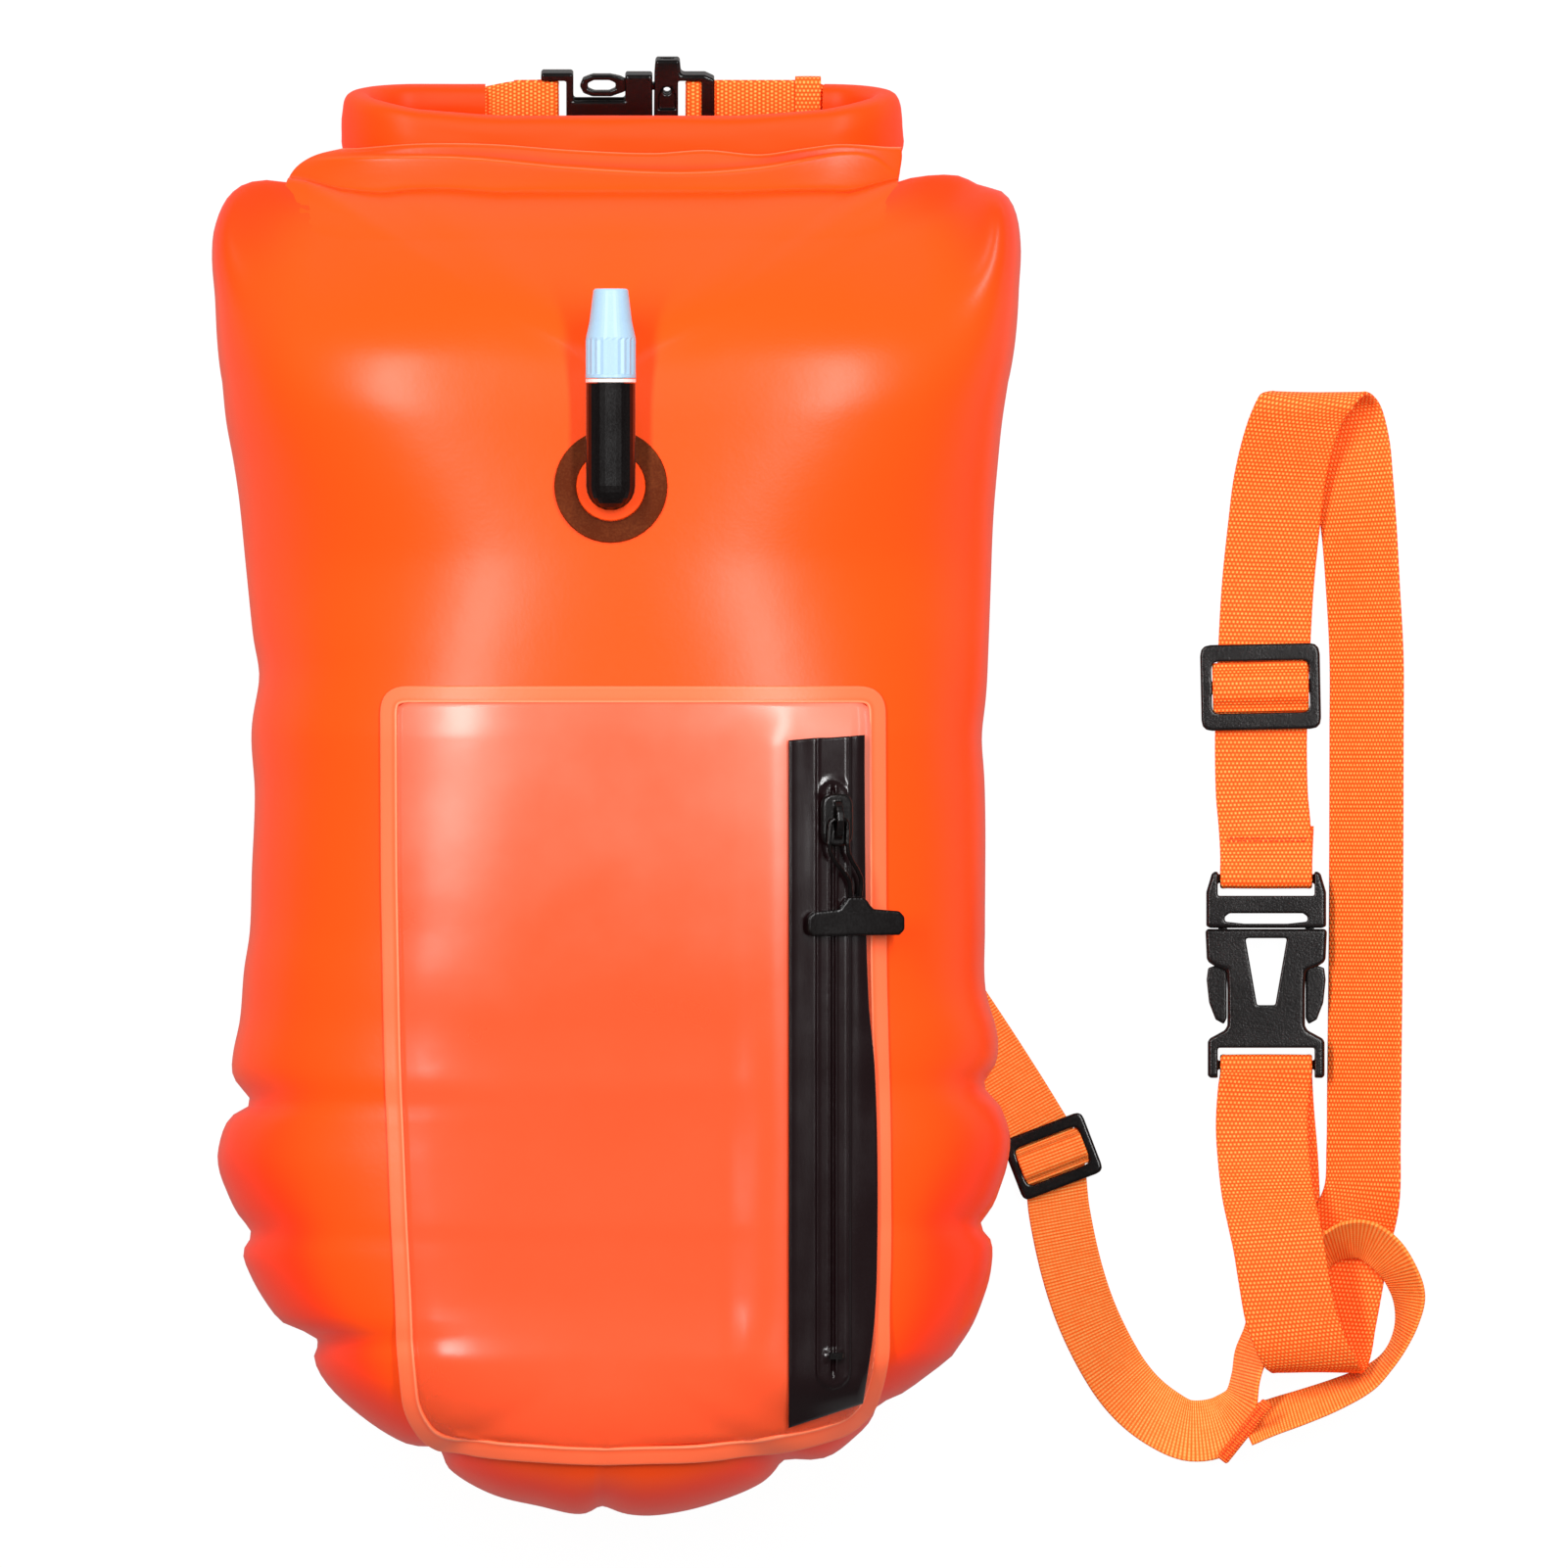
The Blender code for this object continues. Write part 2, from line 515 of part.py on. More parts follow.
def blend(start, end, share):
    """Ease from start to end as share goes from 0 to 1."""
    share = min(max(share, 0.0), 1.0)
    return start + (end - start) * share * share * (3 - 2 * share)


def smooth_route(points, steps):
    """Points on a smooth curve through a route's own points, each a tuple of equal length."""
    lengths = [math.dist(here[:3], after[:3]) for here, after in zip(points, points[1:])]

    def tangent(i):
        low, high = max(i - 1, 0), min(i + 1, len(points) - 1)
        span = sum(lengths[low:high])
        return [(b - a) / span for a, b in zip(points[low], points[high])]

    route = []
    for i, length in enumerate(lengths):
        leaving, arriving = tangent(i), tangent(i + 1)
        for step in range(steps):
            t = step / steps
            rise, lead, trail = t * t * (3 - 2 * t), t * (1 - t) ** 2 * length, t * t * (1 - t) * length
            route.append(
                tuple(
                    a + (b - a) * rise + m * lead - n * trail
                    for a, b, m, n in zip(points[i], points[i + 1], leaving, arriving)
                )
            )
    route.append(tuple(points[-1]))
    return route


def ribbon(name, route, width, thickness, finish, steps=3):
    """Flat webbing along a route of (x, y, z, azimuth, elevation) of its width, in degrees."""
    path = smooth_route(route, steps)
    centres = [Vector(row[:3]) for row in path]
    rings = []
    for i, row in enumerate(path):
        run = (centres[min(i + 1, len(path) - 1)] - centres[max(i - 1, 0)]).normalized()
        azimuth, elevation = math.radians(row[3]), math.radians(row[4])
        across = Vector(
            (
                math.cos(elevation) * math.cos(azimuth),
                math.cos(elevation) * math.sin(azimuth),
                math.sin(elevation),
            )
        )
        across = (across - across.dot(run) * run * STRAP_SQUARENESS).normalized()
        side, face = across * width / 2, run.cross(across).normalized() * thickness / 2
        centre = centres[i]
        rings.append(
            [centre - side - face, centre + side - face, centre + side + face, centre - side + face]
        )
    return loft(name, rings, finish)


def round_cord(name, points, radius, finish, resolution=2):
    """A round cord along a smooth route, as a bevelled curve with filled caps."""
    curve = bpy.data.curves.new(name, "CURVE")
    curve.dimensions = "3D"
    curve.bevel_depth = radius
    curve.bevel_resolution = resolution
    curve.use_fill_caps = True
    spline = curve.splines.new("POLY")
    spline.points.add(len(points) - 1)
    for target, point in zip(spline.points, points):
        target.co = (*point, 1.0)
    return add_object(name, curve, finish)


def rounded(corners, radius, arc_steps=3, closed=True):
    """An outline with its corners rounded, each arc cut short by its neighbours."""
    outline = []
    count = len(corners)
    for i, corner in enumerate(corners):
        here = Vector(corner)
        if not closed and i in (0, count - 1):
            outline.append(tuple(here))
            continue
        before = Vector(corners[i - 1]) - here
        after = Vector(corners[(i + 1) % count]) - here
        reach = min(radius, before.length * 0.45, after.length * 0.45)
        start, end = here + before.normalized() * reach, here + after.normalized() * reach
        for step in range(arc_steps + 1):
            t = step / arc_steps
            outline.append(tuple((1 - t) ** 2 * start + 2 * t * (1 - t) * here + t * t * end))
    return outline


# Form of the inflated bag

SPINE_TOP = SPINE_TOP_SHARE * BAG_LENGTH
SPINE_BOTTOM = SPINE_BOTTOM_SHARE * BAG_LENGTH
BACK_SHARE = 0.99
LAYER_GAP = CLEARANCE / 2
FRONT_BASE = SEAM_HEIGHT + LAYER_GAP + FILM + CLEARANCE
BACK_BASE = SEAM_HEIGHT - LAYER_GAP - FILM - CLEARANCE


def side_reach(y, right):
    """Half width of the outline at a height on its right or left side."""
    table = RIGHT_SIDE_SHARES if right else LEFT_SIDE_SHARES
    return read_smooth(table, y / BAG_LENGTH) * BAG_WIDTH


def end_reach(angle):
    """Reach of the outline round the end of the spine, by an angle in degrees from 0 to 360."""
    table = TOP_END_SHARES if angle <= 180.0 else BOTTOM_END_SHARES
    return read_smooth(table, angle) * BAG_WIDTH


def outline_rays():
    """Rays from the spine to the outline, counterclockwise: (centre, direction, reach)."""
    rows = [
        SPINE_BOTTOM + (SPINE_TOP - SPINE_BOTTOM) * i / (SIDE_ROWS - 1) for i in range(SIDE_ROWS)
    ]
    rays = [(Vector((0, y)), Vector((1, 0)), side_reach(y, True)) for y in rows]
    corners = [row[0] for row in TOP_END_SHARES]
    middles = [(low + high) / 2 for low, high in zip(corners, corners[1:])]
    for angle in sorted(corners[1:-1] + middles):
        turn = math.radians(angle)
        rays.append(
            (Vector((0, SPINE_TOP)), Vector((math.cos(turn), math.sin(turn))), end_reach(angle))
        )
    rays += [(Vector((0, y)), Vector((-1, 0)), side_reach(y, False)) for y in reversed(rows)]
    for i in range(1, BOTTOM_RAYS):
        angle = 180.0 + 180.0 * i / BOTTOM_RAYS
        turn = math.radians(angle)
        rays.append(
            (Vector((0, SPINE_BOTTOM)), Vector((math.cos(turn), math.sin(turn))), end_reach(angle))
        )
    return rays


def zip_share(y):
    """How far down the zipper a height is, from 0 at its top to 1 at its lower end."""
    return min(max((ZIP_TOP - y) / (ZIP_TOP - ZIP_BOTTOM), 0.0), 1.0)


def zip_rise(y):
    """Height of the zipper's straight line over the front chamber's base."""
    return ZIP_RISE_TOP + (ZIP_RISE_BOTTOM - ZIP_RISE_TOP) * zip_share(y)


def swell(share, fullness):
    """Rounded rise of an inflated panel, from 1 at the spine to 0 at the seam."""
    return max(1.0 - min(share, 1.0) ** fullness, 0.0) ** (1.0 / fullness)


def fullness_at(y):
    """How blunt the panel's sides are at a height."""
    if y > ZIP_TOP:
        return read_smooth(UPPER_FULLNESS_SHARES, y / BAG_LENGTH)
    upper = UPPER_FULLNESS_SHARES[0][1]
    return upper + (BOTTOM_FULLNESS - upper) * zip_share(y)


def fullness_along(y, direction):
    """How blunt the panel is along a ray from the spine."""
    if direction.y <= 0 or y < SPINE_TOP:
        return fullness_at(y)
    return read_smooth(END_FULLNESS_SHARES, math.degrees(math.atan2(direction.y, direction.x)))


def front_depth(y):
    """Depth of the front panel at the spine, which keeps the line under the zipper straight."""
    y = min(max(y, SPINE_BOTTOM), ZIP_TOP)
    return zip_rise(y) / swell(ZIP_X / side_reach(y, True), fullness_at(y))


def rim_height(x, y):
    """Height of the panel's rim over the seam, which is raised along the bag's mouth."""
    if y < SPINE_TOP:
        return RIM_HEIGHT
    share = min(abs(x - MOUTH_MIDDLE_X) / MOUTH_HALF_WIDTH, 1.0)
    return RIM_HEIGHT + (MOUTH_RIM_HEIGHT - RIM_HEIGHT) * (1 - share**MOUTH_POWER)


def front_height(x, y):
    """Height of the front panel's surface over a place in the footprint."""
    spine_y = min(max(y, SPINE_BOTTOM), SPINE_TOP)
    away = Vector((x, y - spine_y))
    if away.length < WELD_DISTANCE:
        return FRONT_BASE + front_depth(spine_y)
    if spine_y == y:
        reach = side_reach(y, x > 0)
    else:
        reach = end_reach(math.degrees(math.atan2(away.y, away.x)) % 360.0)
    edge = Vector((0, spine_y)) + away.normalized() * reach
    rim = rim_height(edge.x, edge.y)
    rise = swell(away.length / reach, fullness_along(spine_y, away))
    return FRONT_BASE + rim + (front_depth(spine_y) - rim) * rise


def chamber(name, base, sign, depth_at, share_scale, lowest):
    """One inflated chamber: a panel that swells from the seam, closed by a flat inner wall."""
    rays = outline_rays()
    rings = []
    for level in LEVEL_SHARES:
        ring = []
        for centre, direction, reach in rays:
            edge = centre + direction * reach
            rim = rim_height(edge.x, edge.y)
            place = centre + direction * reach * share_scale * level
            fullness = fullness_along(centre.y, direction)
            rise = rim + (depth_at(centre.y) - rim) * swell(level, fullness)
            ring.append((place.x, place.y, base + sign * min(rise, lowest)))
        rings.append(ring)
    inner = [
        (*(centre + direction * reach * share_scale * SEAM_SHARE), base)
        for centre, direction, reach in rays
    ]
    rings.append(inner)
    points = [point for ring in rings for point in ring]
    faces = ring_faces(len(rings), len(rays), caps=False)
    faces.append(tuple(range((len(rings) - 1) * len(rays), len(rings) * len(rays))))
    return smooth(solid(name, points, faces, FILM_ORANGE))


def inner_sheet(name, base):
    """One flat panel of the empty dry bag between the chambers."""
    outline = []
    for centre, direction, reach in outline_rays():
        edge = centre + direction * reach * SHEET_SHARE
        if direction.y > 0 and abs(edge.x - MOUTH_MIDDLE_X) < LOOP_RIGHT:
            edge = centre + direction * (COLLAR_BOTTOM - centre.y) / direction.y
        outline.append(tuple(edge))
    return prism(name, outline, base, base + FILM, FILM_ORANGE)


def perimeter_weld():
    """Welded band that joins the layers all round, up to both ends of the bag's mouth."""
    rays = outline_rays()

    def at_mouth(ray):
        edge = ray[0] + ray[1] * ray[2]
        return edge.y > SPINE_TOP and abs(edge.x - MOUTH_MIDDLE_X) < MOUTH_HALF_WIDTH

    start = next(i for i, ray in enumerate(rays) if at_mouth(ray))
    end = max(i for i, ray in enumerate(rays) if at_mouth(ray))
    band = rays[end + 1 :] + rays[:start]
    rings = []
    for centre, direction, reach in band:
        inner = centre + direction * reach * WELD_INNER_SHARE
        outer = centre + direction * reach * WELD_OUTER_SHARE
        half = FILM + LAYER_GAP
        rings.append(
            [
                (*inner, SEAM_HEIGHT - half), (*outer, SEAM_HEIGHT - half),
                (*outer, SEAM_HEIGHT + half), (*inner, SEAM_HEIGHT + half),
            ]
        )
    return loft("perimeter_weld", rings, FILM_ORANGE)


def build_bag():
    """Chambers, dry bag panels and the weld that joins them."""
    chamber("front_chamber", FRONT_BASE, 1, front_depth, 1.0, BAG_WIDTH)
    chamber("back_chamber", BACK_BASE, -1, lambda y: BACK_DEPTH, BACK_SHARE, BACK_BASE)
    inner_sheet("dry_bag_front_panel", SEAM_HEIGHT + LAYER_GAP)
    inner_sheet("dry_bag_back_panel", SEAM_HEIGHT - LAYER_GAP - FILM)
    perimeter_weld()


# Rolled top and carry loop

LOOP_RADIUS = LOOP_DEPTH / 2
LOOP_ACROSS = Vector((0, math.cos(LOOP_TILT), math.sin(LOOP_TILT)))


def loop_route():
    """Centre line of the roll: along the front, round both ends and back, as (x, depth)."""
    route = [(ROLL_LEFT_END, LOOP_DEPTH)]
    for i in range(7):
        turn = math.pi * i / 6
        route.append(
            (LOOP_LEFT - LOOP_RADIUS * math.sin(turn), LOOP_RADIUS * (1 + math.cos(turn)))
        )
    for i in range(1, 4):
        route.append((LOOP_LEFT + (LOOP_RIGHT - LOOP_LEFT) * i / 4, 0.0))
    for i in range(7):
        turn = math.pi * i / 6
        route.append(
            (LOOP_RIGHT + LOOP_RADIUS * math.sin(turn), LOOP_RADIUS * (1 - math.cos(turn)))
        )
    return route


def loop_point(x, depth):
    """A point of the carry loop's centre line."""
    return Vector(
        (
            x,
            ROLL_Y + ROLL_RISE * math.sqrt(max(depth, 0.0) / LOOP_DEPTH),
            ROLL_Z - depth * math.cos(LOOP_TILT),
        )
    )


def loop_rings(half_thickness, half_height, corner):
    """Rings of a band along the carry loop, with a rounded section."""
    section = rounded(
        (
            (-half_thickness, -half_height), (half_thickness, -half_height),
            (half_thickness, half_height), (-half_thickness, half_height),
        ),
        corner,
        arc_steps=2,
    )
    route = [loop_point(*place) for place in loop_route()]
    rings = []
    for i, centre in enumerate(route):
        run = route[min(i + 1, len(route) - 1)] - route[max(i - 1, 0)]
        run = Vector((run.x, 0, run.z)).normalized()
        outward = LOOP_ACROSS.cross(run).normalized()
        rings.append([centre + outward * u + LOOP_ACROSS * v for u, v in section])
    return rings


def rolled_top():
    """The rolled mouth of the dry bag, with the slot at its core that holds the stiffener."""
    outer = loop_rings(ROLL_THICKNESS / 2, ROLL_HEIGHT / 2, ROLL_CORNER)
    slot_thickness = STIFFENER_THICKNESS / 2 + CLEARANCE
    inner = loop_rings(slot_thickness, STIFFENER_HEIGHT / 2 + CLEARANCE, slot_thickness / 2)
    count, size = len(outer), len(outer[0])
    points = [point for ring in outer + inner for point in ring]
    faces = ring_faces(count, size, caps=False)
    shift = count * size
    faces += [tuple(shift + i for i in reversed(face)) for face in ring_faces(count, size, False)]
    for first in (0, (count - 1) * size):
        for i in range(size):
            j = (i + 1) % size
            faces.append((first + i, first + j, shift + first + j, shift + first + i))
    return smooth(solid("rolled_top", points, faces, FILM_ORANGE))


def mouth_edge(x):
    """Height of the bag's upper outline over a place across it."""
    edges = [centre + direction * reach for centre, direction, reach in outline_rays()]
    top = COLLAR_BOTTOM
    for here, after in zip(edges, edges[1:]):
        crossed = (here.x - x) * (after.x - x) <= 0 and here.x != after.x
        if crossed and min(here.y, after.y) > SPINE_TOP:
            top = max(top, here.y + (after.y - here.y) * (x - here.x) / (after.x - here.x))
    return top + CLEARANCE


def bend_drop(x):
    """How far the roll's face lies behind its straight part at a place across."""
    outer = LOOP_RADIUS + ROLL_THICKNESS / 2
    past = min(max(LOOP_LEFT - x, x - LOOP_RIGHT, 0.0), outer)
    return (outer - math.sqrt(outer**2 - past**2)) * math.cos(LOOP_TILT)


def collar():
    """Front of the neck between the chamber and the roll, with its two folds."""
    columns, heights = COLLAR_COLUMNS, (0.0, 0.3, 0.42, 0.54, 0.8, 0.9, 1.0)
    folds = {0.42: FOLD_HEIGHT, 0.9: FOLD_HEIGHT}
    lower, upper = [], []
    for share in heights:
        half = blend(COLLAR_HALF_WIDTH, LOOP_RIGHT + LOOP_RADIUS, share)
        middle = blend(MOUTH_MIDDLE_X, (LOOP_LEFT + LOOP_RIGHT) / 2, share)
        roll_face = ROLL_Z + ROLL_THICKNESS / 2 / math.cos(LOOP_TILT)
        roll_face += (COLLAR_TOP - ROLL_Y) * math.tan(LOOP_TILT) + 2 * CLEARANCE
        foot = FRONT_BASE + MOUTH_RIM_HEIGHT - COLLAR_THICKNESS
        base = blend(foot, max(roll_face, foot - COLLAR_DROP), share)
        low_row, high_row = [], []
        for i in range(columns):
            across = 2 * i / (columns - 1) - 1
            x = middle + half * across
            foot_y = mouth_edge(x)
            y = foot_y + (COLLAR_TOP - foot_y) * share
            drop = min(COLLAR_DROP * across**6, bend_drop(x))
            thickness = COLLAR_THICKNESS + folds.get(share, 0.0) * (1 - across**4)
            low_row.append((x, y, base - drop))
            high_row.append((x, y, base - drop + thickness))
        lower.append(low_row)
        upper.append(high_row)
    return smooth(grid_sheet("neck_collar", lower, upper, FILM_ORANGE))


def build_roll_top():
    """Roll, stiffener and collar."""
    rolled_top()
    strip = loop_rings(STIFFENER_THICKNESS / 2, STIFFENER_HEIGHT / 2, STIFFENER_THICKNESS / 4)
    smooth(loft("roll_stiffener", strip, BLACK_PLASTIC))
    collar()


# Phone pocket and its zipper

ZIP_SLOPE = (ZIP_RISE_TOP - ZIP_RISE_BOTTOM) / (ZIP_TOP - ZIP_BOTTOM)
TAPE_LEVEL = POCKET_SPACE + POCKET_FILM + TAPE_LIFT
LIP_LEVEL = TAPE_LEVEL + TAPE_THICKNESS + CLEARANCE
SLIDER_LEVEL = LIP_LEVEL + LIP_HEIGHT + CLEARANCE


def zip_frame(y):
    """Frame on the zipper's line at a height: X across, Y up the zipper, Z off the surface."""
    origin = (ZIP_X, y, FRONT_BASE + zip_rise(y))
    along = Vector((0, 1, ZIP_SLOPE))
    across = Vector((math.cos(ZIP_TILT), 0, -math.sin(ZIP_TILT)))
    return frame_of(origin, along, across.cross(along))


def zip_plane(x, y, level):
    """Height of the zipper's plane over a place, raised by a level off the surface."""
    top = FRONT_BASE + ZIP_RISE_TOP - (ZIP_TOP - y) * ZIP_SLOPE
    return top - (x - ZIP_X) * math.tan(ZIP_TILT) + level / math.cos(ZIP_TILT)


def pocket_outline(inset):
    """The pocket's outline, moved in from its outer edge."""
    corners = []
    count = len(POCKET_CORNERS)
    for i, corner in enumerate(POCKET_CORNERS):
        here = Vector(corner)
        before = (here - Vector(POCKET_CORNERS[i - 1])).normalized()
        after = (Vector(POCKET_CORNERS[(i + 1) % count]) - here).normalized()
        inward = Vector((-before.y, before.x)) + Vector((-after.y, after.x))
        corners.append(tuple(here + inward * inset / (1 + before.dot(after))))
    return rounded(corners, max(POCKET_CORNER_RADIUS - inset, inset), arc_steps=3)


def spread(outline, step):
    """An outline with its long sides divided."""
    points = []
    for i, point in enumerate(outline):
        here, after = Vector(point), Vector(outline[(i + 1) % len(outline)])
        parts = max(1, math.ceil((after - here).length / step))
        points += [here.lerp(after, k / parts) for k in range(parts)]
    return points


def on_front(place, lift):
    """A point at a distance off the front panel, along its surface's own direction."""
    x, y = place
    lift += blend(0.0, END_LIFT, (END_LIFT_TOP - y) / END_LIFT_LENGTH)
    step = POCKET_FILM
    dx = (front_height(x + step, y) - front_height(x - step, y)) / (2 * step)
    dy = (front_height(x, y + step) - front_height(x, y - step)) / (2 * step)
    return Vector((x, y, front_height(x, y))) + Vector((-dx, -dy, 1)).normalized() * lift


def tail_share(y):
    """How far down the zipper's tail a height is, from 0 at its start to 1 at its end."""
    return min(max((ZIP_BOTTOM - y) / TAPE_TAIL, 0.0), 1.0)


def pocket_rim():
    """Welded border of the pocket."""
    outer = spread(pocket_outline(0.0), POCKET_STEP)
    rings = []
    for i, point in enumerate(outer):
        run = outer[(i + 1) % len(outer)] - outer[i - 1]
        inward = Vector((-run.y, run.x)).normalized()
        inner = point + inward * POCKET_RIM_WIDTH
        crown = point + inward * POCKET_RIM_WIDTH / 2
        rings.append(
            [
                on_front(point, SKIN_CLEARANCE), on_front(inner, SKIN_CLEARANCE),
                on_front(inner, SKIN_CLEARANCE + POCKET_FILM),
                on_front(crown, SKIN_CLEARANCE + POCKET_RIM_HEIGHT),
                on_front(point, SKIN_CLEARANCE + POCKET_FILM),
            ]
        )
    points = [point for ring in rings for point in ring]
    faces = ring_faces(len(rings), 5, caps=False)
    last = (len(rings) - 1) * 5
    faces += [(last + i, last + (i + 1) % 5, (i + 1) % 5, i) for i in range(5)]
    return smooth(solid("pocket_rim", points, faces, CLEAR_ORANGE))


def span_at(outline, y):
    """Left and right edge of an outline at a height."""
    found = []
    for i, (x, edge_y) in enumerate(outline):
        next_x, next_y = outline[(i + 1) % len(outline)]
        if (edge_y - y) * (next_y - y) <= 0 and edge_y != next_y:
            found.append(x + (next_x - x) * (y - edge_y) / (next_y - edge_y))
    return min(found), max(found)


def pocket_window():
    """Clear front of the pocket, slit under the zipper, and lifted there for the slider."""
    outline = pocket_outline(POCKET_RIM_WIDTH + CLEARANCE)
    top = max(y for x, y in outline) - WELD_DISTANCE
    bottom = min(y for x, y in outline) + WELD_DISTANCE
    slit_rows = (LIP_TOP, ZIP_BOTTOM)
    heights = [top, top - WINDOW_TOP_STEP, TAPE_TOP, *slit_rows]
    heights += [LIP_TOP + (ZIP_BOTTOM - LIP_TOP) * i / 15 for i in range(1, 15)]
    heights += [ZIP_BOTTOM + (bottom - ZIP_BOTTOM) * i / 7 for i in range(1, 8)]
    heights = sorted(set(heights), reverse=True)
    tape_left, tape_right = ZIP_X - TAPE_LEFT - CLEARANCE, ZIP_X + TAPE_RIGHT + CLEARANCE
    slit_x = ZIP_X + POCKET_SPACE * math.sin(ZIP_TILT)
    slit_left, slit_right = slit_x - FILM_SLIT / 2, slit_x + FILM_SLIT / 2
    flat_left = [-0.98, -0.8, -0.6, -0.4, -0.2, 0.0, 0.2, 0.42, 0.6]
    lower, upper, skipped = [], [], set()
    for row, y in enumerate(heights):
        left, right = span_at(outline, y)
        ramp = tape_left - POCKET_LIFT_WIDTH
        places = [left + (ramp - left) * (share - flat_left[0]) / (flat_left[-1] - flat_left[0])
                  for share in flat_left]
        places += [tape_left - POCKET_LIFT_WIDTH / 2, tape_left, slit_left, slit_right, tape_right]
        places = [min(place, right) for place in places] + [right]
        low_row, high_row = [], []
        for column, x in enumerate(places):
            x = x if column < len(places) - 1 else right
            skin = on_front((x, y), SKIN_CLEARANCE)
            near = 1 - max(tape_left - x, x - tape_right, 0.0) / POCKET_LIFT_WIDTH
            ends = min((top - y) / (top - TAPE_TOP), 1 - tail_share(y))
            share = min(max(near, 0.0), 1.0) * min(max(ends, 0.0), 1.0)
            raised = zip_plane(x, y, POCKET_SPACE)
            z = blend(skin.z, max(raised, skin.z), share)
            low_row.append((skin.x, skin.y, z))
            high_row.append((skin.x, skin.y, z + POCKET_FILM / math.cos(ZIP_TILT)))
        lower.append(low_row)
        upper.append(high_row)
        if slit_rows[1] < y <= slit_rows[0]:
            skipped.add((row, len(places) - 4))
    return smooth(grid_sheet("pocket_window", lower, upper, CLEAR_ORANGE, skipped))


def zipper_tape():
    """Black tape on both sides of the slit, whose tail follows the bag."""
    columns = (-TAPE_LEFT, -LIP_WIDTH, -TAPE_SLIT / 2, TAPE_SLIT / 2, LIP_WIDTH, TAPE_RIGHT)
    heights = [TAPE_TOP, LIP_TOP, ZIP_BOTTOM]
    heights += [ZIP_BOTTOM - TAPE_TAIL * i / 6 for i in range(1, 7)]
    lower, upper = [], []
    for y in heights:
        low_row, high_row = [], []
        for across in columns:
            x = ZIP_X + across + TAPE_LEVEL * math.sin(ZIP_TILT)
            laid = front_height(x, y) + TAIL_LIFT
            z = blend(zip_plane(x, y, TAPE_LEVEL), laid, tail_share(y))
            low_row.append((x, y, z))
            high_row.append((x, y, z + TAPE_THICKNESS / math.cos(ZIP_TILT)))
        lower.append(low_row)
        upper.append(high_row)
    return grid_sheet("zipper_tape", lower, upper, BLACK_RUBBER, {(1, 2)})


def zipper_track():
    """Two sealing lips, the garage over their upper end and the stop on their lower end."""
    frame = zip_frame(LIP_TOP)
    length = (LIP_TOP - ZIP_BOTTOM) / math.cos(math.atan(ZIP_SLOPE)) - OVERRUN
    inner, outer = TAPE_SLIT / 2, TAPE_SLIT / 2 + LIP_WIDTH
    section = (
        (inner, 0.0), (outer, 0.0), (outer - LIP_HEIGHT / 4, LIP_HEIGHT * 0.6),
        (outer - LIP_WIDTH * 0.4, LIP_HEIGHT), (inner + LIP_HEIGHT / 3, LIP_HEIGHT),
        (inner, LIP_HEIGHT * 0.7),
    )
    ends = ((0.0, 1.0), (length - LIP_WIDTH, 1.0), (length - LIP_WIDTH / 3, 0.75), (length, 0.35))
    for name, sign in (("zipper_lip_left", -1), ("zipper_lip_right", 1)):
        rings = [
            [(sign * (inner + (u - inner) * share), -v, LIP_LEVEL + n) for u, n in section]
            for v, share in ends
        ]
        loft(name, rings, BLACK_RUBBER, frame)
    turns = [math.pi * i / 8 for i in range(9)]
    arch = [(GARAGE_ARCH_RADIUS * math.cos(t), GARAGE_ARCH_RADIUS * math.sin(t)) for t in turns]
    height = TAPE_TOP - LIP_TOP
    side = outer + CLEARANCE
    plate = [(side, 0.0), (side, height), (-side, height), (-side, 0.0)] + arch[::-1]
    lift = zip_frame(LIP_TOP + CLEARANCE)
    prism("zipper_garage", plate, LIP_LEVEL, LIP_LEVEL + GARAGE_HEIGHT, BLACK_RUBBER, lift)
    half = STOP_WIDTH / 2
    low, high = -length + STOP_FROM_END - STOP_LENGTH, -length + STOP_FROM_END
    bar = ((-half, low), (half, low), (half, high), (-half, high))
    soften(
        prism("zipper_stop", bar, SLIDER_LEVEL, SLIDER_LEVEL + STOP_HEIGHT, BLACK_PLASTIC, frame),
        STOP_HEIGHT / 4,
    )


